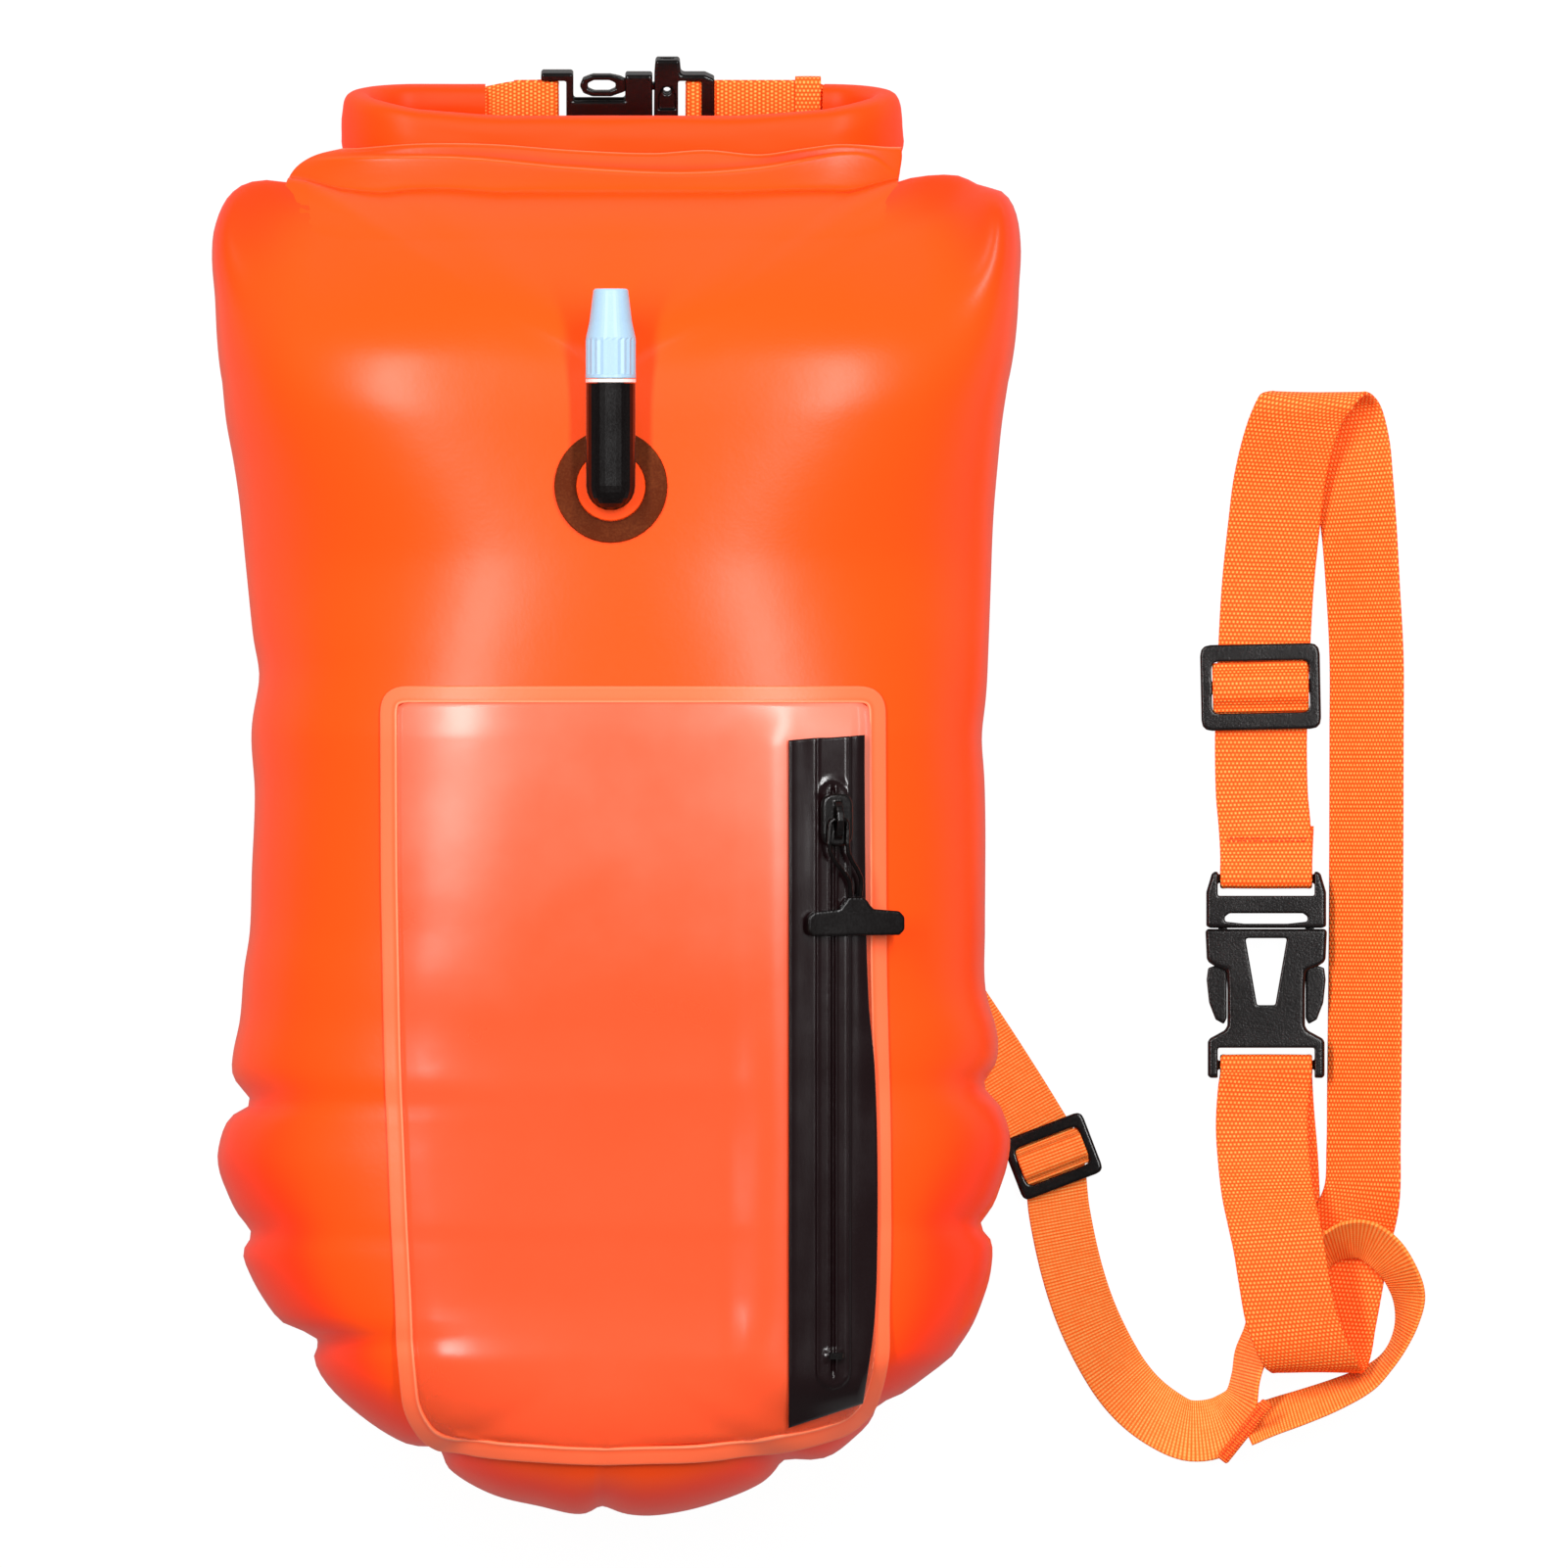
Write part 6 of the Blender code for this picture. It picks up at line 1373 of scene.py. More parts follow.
@dataclass
class Strap:
    """Flat webbing along a route of places and directions of its width."""

    width: float
    thickness: float
    squareness: float = 0.35

    def section(self) -> list[tuple[float, float]]:
        """Section of the webbing as shares of its half width and half thickness, all round."""
        shares = (-1.0, -0.985, -0.94, -0.86, -0.6, -0.3, 0.0, 0.3, 0.6, 0.86, 0.94, 0.985, 1.0)
        heights = (0.0, 0.72, 1.0, 0.86, 0.94, 0.97, 1.0, 0.97, 0.94, 0.86, 1.0, 0.72, 0.0)
        under = [(u, -h) for u, h in zip(shares, heights)]
        over = [(u, h) for u, h in zip(shares, heights)]
        return under + over[-2:0:-1]

    def rings(self, route: Route, start: float = 0.0) -> tuple[list[list[Vector]], list[Vector], list[float]]:
        """Rings of points along a route.

        Args:
            route: Rows of x, y, z, azimuth and elevation of the width, in degrees.
            start: Length along the webbing at which the route starts.

        Returns:
            The rings, their centres and their places along the webbing.
        """
        centres = [Vector(row[:3]) for row in route]
        rings, places = [], []
        along = start
        for i, row in enumerate(route):
            run = (centres[min(i + 1, len(route) - 1)] - centres[max(i - 1, 0)]).normalized()
            azimuth, elevation = math.radians(row[3]), math.radians(row[4])
            across = Vector(
                (
                    math.cos(elevation) * math.cos(azimuth),
                    math.cos(elevation) * math.sin(azimuth),
                    math.sin(elevation),
                )
            )
            across = (across - across.dot(run) * run * self.squareness).normalized()
            rings.append(self.ring(centres[i], run, across))
            if i:
                along += (centres[i] - centres[i - 1]).length
            places.append(along)
        return rings, centres, places

    def ring(self, centre: Vector, run: Vector, across: Vector) -> list[Vector]:
        """Points of one section."""
        face = run.cross(across).normalized()
        return [
            centre + across * (u * self.width / 2) + face * (h * self.thickness / 2)
            for u, h in self.section()
        ]

    def mesh(self, name: str, rings: list[list[Vector]], places: list[float]) -> bpy.types.Object:
        """A closed strap through its rings, with its own coordinates in metres."""
        section = self.section()
        uvs = [(u * self.width / 2, place) for place in places for u, _ in section]
        points = [point for ring in rings for point in ring]
        piece = add_mesh(name, points, tube_faces(len(rings), len(section)), uvs=uvs)
        work = bmesh.new()
        work.from_mesh(piece.data)
        bmesh.ops.recalc_face_normals(work, faces=work.faces)
        work.to_mesh(piece.data)
        work.free()
        return piece

    def laid(
        self, name: str, place: Matrix, route: Sequence[tuple[float, float]], steps: int = 8
    ) -> bpy.types.Object:
        """Webbing along a route in a frame's own YZ plane."""
        path = [Vector((0, y, z)) for y, z in smooth_route(route_of(route), steps)]
        rings, places, along = [], [], 0.0
        for i, centre in enumerate(path):
            run = (path[min(i + 1, len(path) - 1)] - path[max(i - 1, 0)]).normalized()
            rings.append([place @ p for p in self.ring(centre, run, Vector((1, 0, 0)))])
            along += (centre - path[i - 1]).length if i else 0.0
            places.append(along)
        return self.mesh(name, rings, places)


def route_of(route: Sequence[tuple[float, float]]) -> list[tuple[float, ...]]:
    """A plane route as rows that smooth_route can read."""
    return [(y, z) for y, z in route]


def in_metres(rows: Iterable[Sequence[float]]) -> Route:
    """Rows whose first three numbers are millimetres, with those in metres."""
    return [(x * MM, y * MM, z * MM, *rest) for x, y, z, *rest in rows]


BELT_ROUTE_MM = (
    (211.6, -13.3, 0.9, 0, 0), (211.2, -22.0, 1.4, 0, 0), (211.0, -28.6, 2.2, 0, 0),
    (211.0, -30.5, 2.3, 0, 0), (211.0, -32.4, 2.9, 0, 0), (211.0, -33.2, 4.9, 0, 0),
    (211.0, -32.4, 6.9, 0, 0), (211.0, -30.5, 7.6, 0, 0), (211.0, -28.3, 7.1, 0, 0),
    (211.0, -22.0, 4.7, 0, 0), (210.5, -13.0, 2.9, 0, 0), (209.6, -2.0, 1.1, 0, 0),
    (209.4, 18.0, 0.95, 0, 0), (210.5, 46.0, 0.95, 0, 0), (211.6, 65.0, 2.0, 0, 0),
    (213.5, 84.0, 5.5, 0, 0), (215.5, 100.0, 10.0, 0, 0), (219.5, 116.0, 17.0, 0, 0),
    (223.5, 124.0, 20.0, 0, 0), (228.5, 127.0, 15.0, 0, 4), (233.0, 123.0, 7.5, 0, 8),
    (236.5, 113.0, 6.0, 0, 18), (239.0, 100.6, 8.0, 0, 30), (241.0, 84.4, 9.8, 0, 36),
    (242.4, 64.4, 10.2, 0, 38), (243.6, 41.3, 10.2, 0, 38), (243.6, 17.8, 10.2, 0, 38),
    (243.4, -42.0, 10.2, 0, 38), (242.8, -101.3, 10.2, 0, 38), (242.6, -118.0, 10.4, 0, 38),
    (242.0, -133.0, 10.9, 0, 35), (237.0, -149.2, 6.0, 0, 18), (235.0, -160.0, 5.3, 0, 15),
    (233.2, -169.5, 5.0, 0, 13), (231.8, -177.0, 4.9, 0, 12), (230.8, -183.0, 6.0, 0, 9),
    (229.4, -187.8, 9.5, 0, 4), (227.8, -190.2, 14.0, 0, 0),
)
LOWER_BELT_ROUTE_MM = (
    (227.2, -190.5, 15.6, 0, 0), (225.4, -188.4, 20.5, 0, 0), (222.0, -182.0, 24.5, 0, 2),
    (218.8, -173.0, 25.6, 0, 6), (216.4, -160.0, 25.8, 0, 9), (214.8, -150.0, 24.4, 0, 10),
    (213.2, -142.0, 20.8, 0, 7), (211.4, -133.0, 14.4, 0, 3), (210.2, -122.0, 7.8, 0, 0),
    (209.6, -111.0, 5.2, 0, 0), (210.2, -100.0, 5.8, 0, 0), (211.0, -94.0, 7.1, 0, 0),
    (211.0, -91.2, 7.6, 0, 0), (211.0, -89.2, 6.9, 0, 0), (211.0, -88.5, 4.9, 0, 0),
    (211.0, -89.2, 2.9, 0, 0), (211.0, -91.2, 2.3, 0, 0), (211.0, -94.0, 2.1, 0, 0),
    (211.6, -105.0, 1.4, 0, 0), (213.0, -122.0, 0.9, 0, 0), (213.7, -137.6, 0.9, 0, 0),
)
TOW_ROUTE_MM = (
    (106.0, -65.0, 0.9, 36, 0), (111.0, -72.0, 0.8, 34, 0), (123.5, -91.0, 0.8, 32, 0),
    (135.7, -110.5, 0.8, 27, 0), (141.4, -121.0, 0.8, 21, 0), (143.7, -139.4, 0.8, 12, 0),
    (147.8, -158.4, 0.8, 14, 0), (153.2, -174.3, 0.8, 22, 0), (161.4, -190.2, 0.8, 38, 0),
    (168.7, -199.7, 0.8, 52, 0), (177.6, -206.7, 0.9, 70, 0), (186.5, -210.5, 1.2, 90, 0),
    (196.7, -208.6, 4.2, 112, -20), (202.4, -201.3, 9.0, 150, -55), (204.2, -193.5, 9.7, 165, -64),
    (206.2, -186.0, 9.3, 162, -58), (211.5, -179.0, 7.5, 158, -38), (216.0, -170.0, 5.4, 150, -12),
    (221.3, -160.5, 7.4, 135, 8), (226.0, -154.5, 12.5, 118, 45), (230.5, -151.0, 14.7, 102, 58),
    (236.0, -148.4, 15.6, 92, 54), (242.5, -148.0, 17.2, 74, 52), (248.5, -151.5, 18.6, 48, 52),
    (253.5, -157.5, 19.5, 25, 56), (257.0, -166.0, 16.5, 6, 60), (256.6, -174.5, 13.8, -8, 70),
    (254.0, -182.0, 12.0, -24, 76), (250.0, -188.0, 11.0, -40, 76), (243.5, -193.6, 10.6, -57, 68),
    (233.0, -198.7, 10.5, -68, 62), (222.0, -202.8, 10.3, -74, 58), (213.6, -205.6, 10.2, -78, 56),
    (208.4, -207.6, 11.0, -79, 56), (204.0, -209.4, 12.6, -80, 56),
)


def path_length(centres: Sequence[Vector]) -> float:
    """Length of a line through points."""
    return sum((after - here).length for here, after in zip(centres, centres[1:]))


@dataclass
class SliderBridge:
    """Webbing that passes over the middle bar of a strap adjuster."""

    place: tuple[float, float, float]
    turn: float
    length: float
    window: float
    low: float
    high: float
    bar_half: float = 1.9 * MM

    def build(self, name: str, strap: Strap, finish: Finish, body: str, node: str) -> bpy.types.Object:
        """Make and dress the bridge."""
        reach = self.window / 2 - FORM.gap - strap.thickness / 4
        foot = self.low + strap.thickness / 4
        crown = self.high + strap.thickness / 2 + FORM.gap * 2
        half = [
            (-reach, foot),
            (-reach * 0.72, foot + strap.thickness * 0.6),
            (-self.bar_half * 1.5, crown * 0.94),
        ]
        route = half + [(0, crown)] + [(-v, w) for v, w in reversed(half)]
        place = Matrix.Translation(self.place) @ Matrix.Rotation(self.turn, 4, "Z")
        return dress(strap.laid(name, place, route), name, finish, body, [node])


@dataclass
class WaistBelt:
    """Waist belt: webbing, adjuster and side-release buckle."""

    strap: Strap
    steps: int = 6

    def straps(self) -> None:
        """Both lengths of webbing, which share the ring at the fold between them."""
        socket = moulded("belt_socket", BLACK, "belt_socket_body")
        upper, lower = in_metres(BELT_ROUTE_MM), in_metres(LOWER_BELT_ROUTE_MM)
        route = smooth_route(upper + lower, self.steps)
        rings, centres, places = self.strap.rings(route)
        split = len(upper) * self.steps
        tail = self.strap.mesh("tail", rings[split:], places[split:])
        dress(tail, "belt_strap_lower", BELT_WEB, None, ["belt_webbing_lower"])
        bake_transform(tail)
        belt = self.strap.mesh("belt", rings[: split + 1], places[: split + 1])
        dress(belt, "belt_strap", BELT_WEB, "bag", ["belt_webbing"])
        path = centres[: split + 1]
        path_length(path)

    def build(self) -> None:
        """Make and dress the belt."""
        self.straps()
        bridge = SliderBridge(
            (209.2 * MM, 31.8 * MM, 0.0), math.radians(1.2), 28.0 * MM, 17.0 * MM, 2.4 * MM, 5.0 * MM
        )
        wide = Strap(31.3 * MM, self.strap.thickness)
        bridge.build("belt_slider_web", wide, BELT_WEB, "belt_slider_body", "belt_slider_loop")
        moulded("belt_slider", BLACK, "belt_slider_body")
        moulded("belt_plug", BLACK, "bag")
        for side in ("left", "right"):
            moulded(f"belt_arm_{side}", BLACK, f"belt_arm_{side}_body")
        arm_root("belt_root_left", BLACK, "bag", (225.15, -47.0, 4.9), (2.9, 2.4, 3.9))
        arm_root("belt_root_right", BLACK, "bag", (196.85, -47.0, 4.9), (2.9, 2.4, 3.9))
        tail = Matrix.Translation((210.9 * MM, -17.8 * MM, 4.85 * MM))
        tail = tail @ Matrix.Rotation(math.radians(-11), 4, "X")
        stitches("belt_tail_stitching", "bag", tail, 26.0 * MM, 15, (-0.5 * MM, 0.5 * MM))


@dataclass
class TowStrap:
    """Tow strap: anchor under the bag, ring, webbing, adjuster and stitched end."""

    strap: Strap
    anchor: tuple[float, float] = (91.0 * MM, -44.0 * MM)
    turn: float = math.radians(-54.0)
    ring_height: float = 4.2 * MM
    ring_depth: float = 13.0 * MM
    ring_radius: float = 1.5 * MM
    wrap_gap: float = 0.35 * MM
    patch: tuple[float, float, float] = (24.0 * MM, 29.0 * MM, 0.8 * MM)
    overhang: float = 7.0 * MM
    tab: tuple[float, float, float] = (14.0 * MM, 17.0 * MM, 1.0 * MM)
    fold_place: tuple[float, float, float] = (204.2 * MM, -210.0 * MM, 15.5 * MM)
    fold_turn: float = math.radians(-128.0)
    fold_pitch: float = math.radians(23.0)
    fold_size: tuple[float, float, float] = (26.0 * MM, 4.2 * MM, 2.4 * MM)
    steps: int = 6

    @property
    def frame(self) -> Matrix:
        """Frame at the ring's fixed bar, whose Y runs along the strap."""
        place = Matrix.Translation((*self.anchor, self.ring_height))
        return place @ Matrix.Rotation(self.turn - math.pi / 2, 4, "Z")

    def webbing(self, slider: bpy.types.Object) -> None:
        """The long webbing, from round the ring to its stitched end, with the adjuster on it."""
        place = self.frame
        reach = self.ring_radius + self.wrap_gap + self.strap.thickness / 2
        azimuth = math.degrees(self.turn) + 90
        depth, height = self.ring_depth, self.ring_height
        route = []
        for along, level in (
            (depth + 14 * MM, 2.7 * MM), (depth + 7 * MM, 4.2 * MM),
            (depth + reach * 0.8, height + reach * 0.8), (depth, height + reach),
            (depth - reach * 0.8, height + reach * 0.7), (depth - reach, height),
            (depth - reach * 0.8, height - reach * 0.7), (depth, height - reach),
        ):
            spot = place @ Vector((0, along, 0))
            route.append((spot.x, spot.y, level, azimuth, 0))
        route = smooth_route(route + in_metres(TOW_ROUTE_MM), self.steps)
        rings, centres, places = self.strap.rings(route)
        piece = dress(self.strap.mesh("tow", rings, places), "tow_strap", TOW_WEB, None, ["tow_webbing"])
        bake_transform(piece)
        path_length(centres)

    def hem(self) -> None:
        """Stitched fold that ends the strap."""
        length, width, height = self.fold_size
        place = Matrix.Translation(self.fold_place) @ Matrix.Rotation(self.fold_turn, 4, "Z")
        place = place @ Matrix.Rotation(self.fold_pitch, 4, "Y") @ Matrix.Translation((0, 0, height / 2))
        body = block((length, width, height), place, 0.9 * MM, 4)
        uv_from_place(body, place)
        dress(body, "tow_strap_hem", HEM_WEB, "bag", ["tow_end_fold"], 50.0)
        top = place @ Matrix.Translation((0, 0, height / 2 + 0.05 * MM))
        stitches("tow_hem_stitching", "bag", top, length * 0.86, 13, (-0.9 * MM, 0.9 * MM))

    def anchor_pieces(self) -> None:
        """Patch on the back film and the tab that holds the ring."""
        place = self.frame
        lower, upper = [], []
        width, length, thickness = self.patch
        skin_gap = 0.675 * MM
        for row in range(25):
            along = self.overhang - length * row / 24
            low_row, high_row = [], []
            for column in range(21):
                across = width * (column / 20 - 0.5)
                spot = place @ Vector((across, along, 0))
                skin = FORM.back_height(spot.x, spot.y) - skin_gap
                edge = min(column, 20 - column, row, 24 - row)
                lift = thickness * (1.0 if edge > 0 else 0.45)
                lift += 0.15 * MM if edge == 2 else 0.0
                low_row.append((spot.x, spot.y, skin - lift))
                high_row.append((spot.x, spot.y, skin))
            lower.append(low_row)
            upper.append(high_row)
        dress(sheet_mesh("patch", lower, upper), "tow_anchor_patch", FILM, "bag", ["tow_patch"])
        width, length, thickness = self.tab
        reach = self.ring_radius + self.wrap_gap + thickness / 2

        def level(along: float, layer: int) -> float:
            """Height of a layer of the tab under the patch."""
            sides = [place @ Vector((side * width / 2, along, 0)) for side in (-1, 1)]
            low = min(FORM.back_height(spot.x, spot.y) for spot in sides) - skin_gap - 0.8 * MM
            return low - self.ring_height - FORM.gap * 3 - thickness * (0.5 + layer * 1.4)

        steps = (-length, -length * 0.7, -length * 0.42)
        route = [(along, level(along, 0)) for along in steps]
        route += [
            (reach * math.sin(math.radians(t)), reach * math.cos(math.radians(t)))
            for t in (0, 45, 90, 135, 180)
        ]
        route += [(along, level(along, 1)) for along in reversed(steps)]
        tab = Strap(width, thickness).laid("tab", place, route)
        dress(tab, "tow_anchor_tab", TOW_WEB, "bag", ["tow_tab"])

    def build(self) -> None:
        """Make and dress the tow strap."""
        self.anchor_pieces()
        self.hem()
        bridge = SliderBridge(
            (141.4 * MM, -121.0 * MM, 0.0), math.radians(21.0), 21.0 * MM, 13.0 * MM, 2.2 * MM, 4.4 * MM
        )
        wide = Strap(22.2 * MM, self.strap.thickness)
        bridge.build("tow_slider_web", wide, TOW_WEB, "tow_slider_body", "tow_slider_loop")
        slider = moulded("tow_slider", GLOSS_BLACK, "tow_slider_body")
        self.webbing(slider)
        moulded("tow_ring", GLOSS_BLACK, "tow_ring_body")


def uv_from_place(piece: bpy.types.Object, place: Matrix) -> None:
    """Give a piece strap coordinates from its place in a frame."""
    back = place.inverted()
    layer = piece.data.uv_layers.active or piece.data.uv_layers.new(name="UVMap")
    for loop in piece.data.loops:
        spot = back @ piece.data.vertices[loop.vertex_index].co
        layer.data[loop.index].uv = (spot.y + spot.z, spot.x)


@dataclass
class Closure:
    """Whistle buckle behind the carry loop, its webbing and the keeper."""

    place: tuple[float, float, float] = (11.3 * MM, 216.5 * MM, 35.0 * MM)
    tilt: float = math.radians(13.0)
    strand: float = 0.85 * MM
    wrap_gap: float = 0.35 * MM
    bar_radius: float = 1.0 * MM
    bar_at: float = 5.0 * MM
    socket_end: float = 28.0 * MM
    plug_end: float = -8.3 * MM
    roll_left: float = -43.0 * MM
    roll_right: float = 67.0 * MM
    hidden_end: float = 6.0 * MM
    narrow_share: float = 0.8
    keeper_at: float = -50.5 * MM
    keeper_length: float = 8.4 * MM
    keeper_wall: float = 0.9 * MM

    def narrow(self, piece: bpy.types.Object, start: float, end: float) -> None:
        """Draw the webbing together where it goes into the roll.

        Args:
            piece: The webbing.
            start: Where it begins to narrow, along the buckle's frame.
            end: Where it ends, inside the roll.
        """
        place = self.frame
        back = place.inverted()
        for vertex in piece.data.vertices:
            spot = back @ vertex.co
            spot.x *= ease(1.0, self.narrow_share, (spot.y - start) / (end - start))
            vertex.co = place @ spot

    def keeper(self) -> bpy.types.Object:
        """Loop of webbing that holds the free end down."""
        half, high = 12.5 * MM + FORM.gap + self.keeper_wall / 2, self.strand + 1.4 * MM
        corners = [(-half, -high), (half, -high), (half, high), (-half, high)]
        route = []
        for i, corner in enumerate(corners):
            here, before, after = Vector(corner), Vector(corners[i - 1]), Vector(corners[(i + 1) % 4])
            start = here + (before - here).normalized() * 1.2 * MM
            end = here + (after - here).normalized() * 1.2 * MM
            route += [
                (1 - t) ** 2 * start + 2 * t * (1 - t) * here + t * t * end
                for t in (0, 0.25, 0.5, 0.75, 1)
            ]
            route += [end.lerp(after - (after - here).normalized() * 1.2 * MM, t) for t in (0.25, 0.5, 0.75)]
        strap = Strap(self.keeper_length, self.keeper_wall)
        place = self.frame @ Matrix.Translation((0, self.keeper_at, 0))
        points, uvs, along = [], [], 0.0
        for i, spot in enumerate(route):
            run = route[(i + 1) % len(route)] - route[i - 1]
            ahead = Vector((run.x, 0, run.y)).normalized()
            ring = strap.ring(Vector((spot.x, 0, spot.y)), ahead, Vector((0, 1, 0)))
            points += [place @ p for p in ring]
            uvs += [(u * strap.width / 2, along) for u, _ in strap.section()]
            along += (route[(i + 1) % len(route)] - spot).length
        faces = tube_faces(len(route), len(strap.section()), closed=True)
        piece = add_mesh("keeper", points, faces, uvs=uvs)
        work = bmesh.new()
        work.from_mesh(piece.data)
        bmesh.ops.recalc_face_normals(work, faces=work.faces)
        work.to_mesh(piece.data)
        work.free()
        return piece

    @property
    def frame(self) -> Matrix:
        """Frame of the buckle: Y towards the left webbing, Z towards the front."""
        along = Vector((-1, 0, 0))
        up = Vector((0, -math.sin(self.tilt), math.cos(self.tilt)))
        turned = Matrix((along.cross(up), along, up)).transposed().to_4x4()
        turned.translation = self.place
        return turned

    def wrap(self, at: float, gap: float, side: int) -> list[tuple[float, float]]:
        """Webbing round a bar, away from it on one side."""
        reach = self.bar_radius + gap
        return [
            (at - side * reach * math.sin(math.radians(turn)), reach * math.cos(math.radians(turn)))
            for turn in (0, 45, 90, 135, 180)
        ]

    def build(self) -> None:
        """Make and dress the closure."""
        strap = Strap(25.0 * MM, 1.3 * MM)
        gap = self.wrap_gap + strap.thickness / 2
        settle = 4 * self.bar_radius + gap
        strand = self.strand
        left_end = self.place[0] - self.roll_left + self.hidden_end
        right_end = self.place[0] - self.roll_right - self.hidden_end
        bar = self.socket_end + self.bar_at
        left = [(left_end, strand), (bar + settle * 2, strand), (bar + settle, strand * 1.3)]
        left += self.wrap(bar, gap, 1) + [(bar + settle, -strand * 1.3), (bar + settle * 2.4, -strand)]
        piece = strap.laid("left", self.frame, left)
        self.narrow(piece, bar + settle * 2, left_end)
        dress(piece, "closure_strap_left", BELT_WEB, "bag", ["closure_webbing_left"])
        bar = self.plug_end - self.bar_at
        right = [(right_end, -strand), (bar - settle * 2, -strand), (bar - settle, -strand * 1.3)]
        right += list(reversed(self.wrap(bar, gap, -1)))
        right += [(bar - settle, strand * 1.3), (bar - settle * 2, strand), (right_end, strand)]
        piece = strap.laid("right", self.frame, right)
        self.narrow(piece, self.place[0] - self.roll_right + 9 * MM, right_end)
        dress(piece, "closure_strap_right", BELT_WEB, None, ["closure_webbing_right"])
        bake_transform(piece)
        moulded("whistle_socket", GLOSS_BLACK, "bag")
        moulded("whistle_plug", GLOSS_BLACK, "whistle_plug_body")
        for side in ("left", "right"):
            moulded(f"whistle_arm_{side}", GLOSS_BLACK, f"whistle_arm_{side}_body")
        plug, size = "whistle_plug_body", (2.4, 2.2, 3.4)
        arm_root("whistle_root_left", GLOSS_BLACK, plug, (11.35, 206.0, 32.6), size, 12.8)
        arm_root("whistle_root_right", GLOSS_BLACK, plug, (11.35, 226.95, 37.4), size, 12.8)
        dress(self.keeper(), "closure_keeper", BELT_WEB, "keeper", ["webbing_keeper"])


# Right edge of the zipper's tape, as (height, place from the zipper's line) in millimetres
TAPE_RIGHT_MM: Table = (
    (-206.0, 9.6), (-196.0, 11.2), (-180.0, 13.3), (-160.0, 14.2), (-125.0, 14.3), (-95.0, 13.4),
    (-75.0, 11.6), (-45.0, 10.6), (0.0, 10.2), (15.0, 10.2),
)


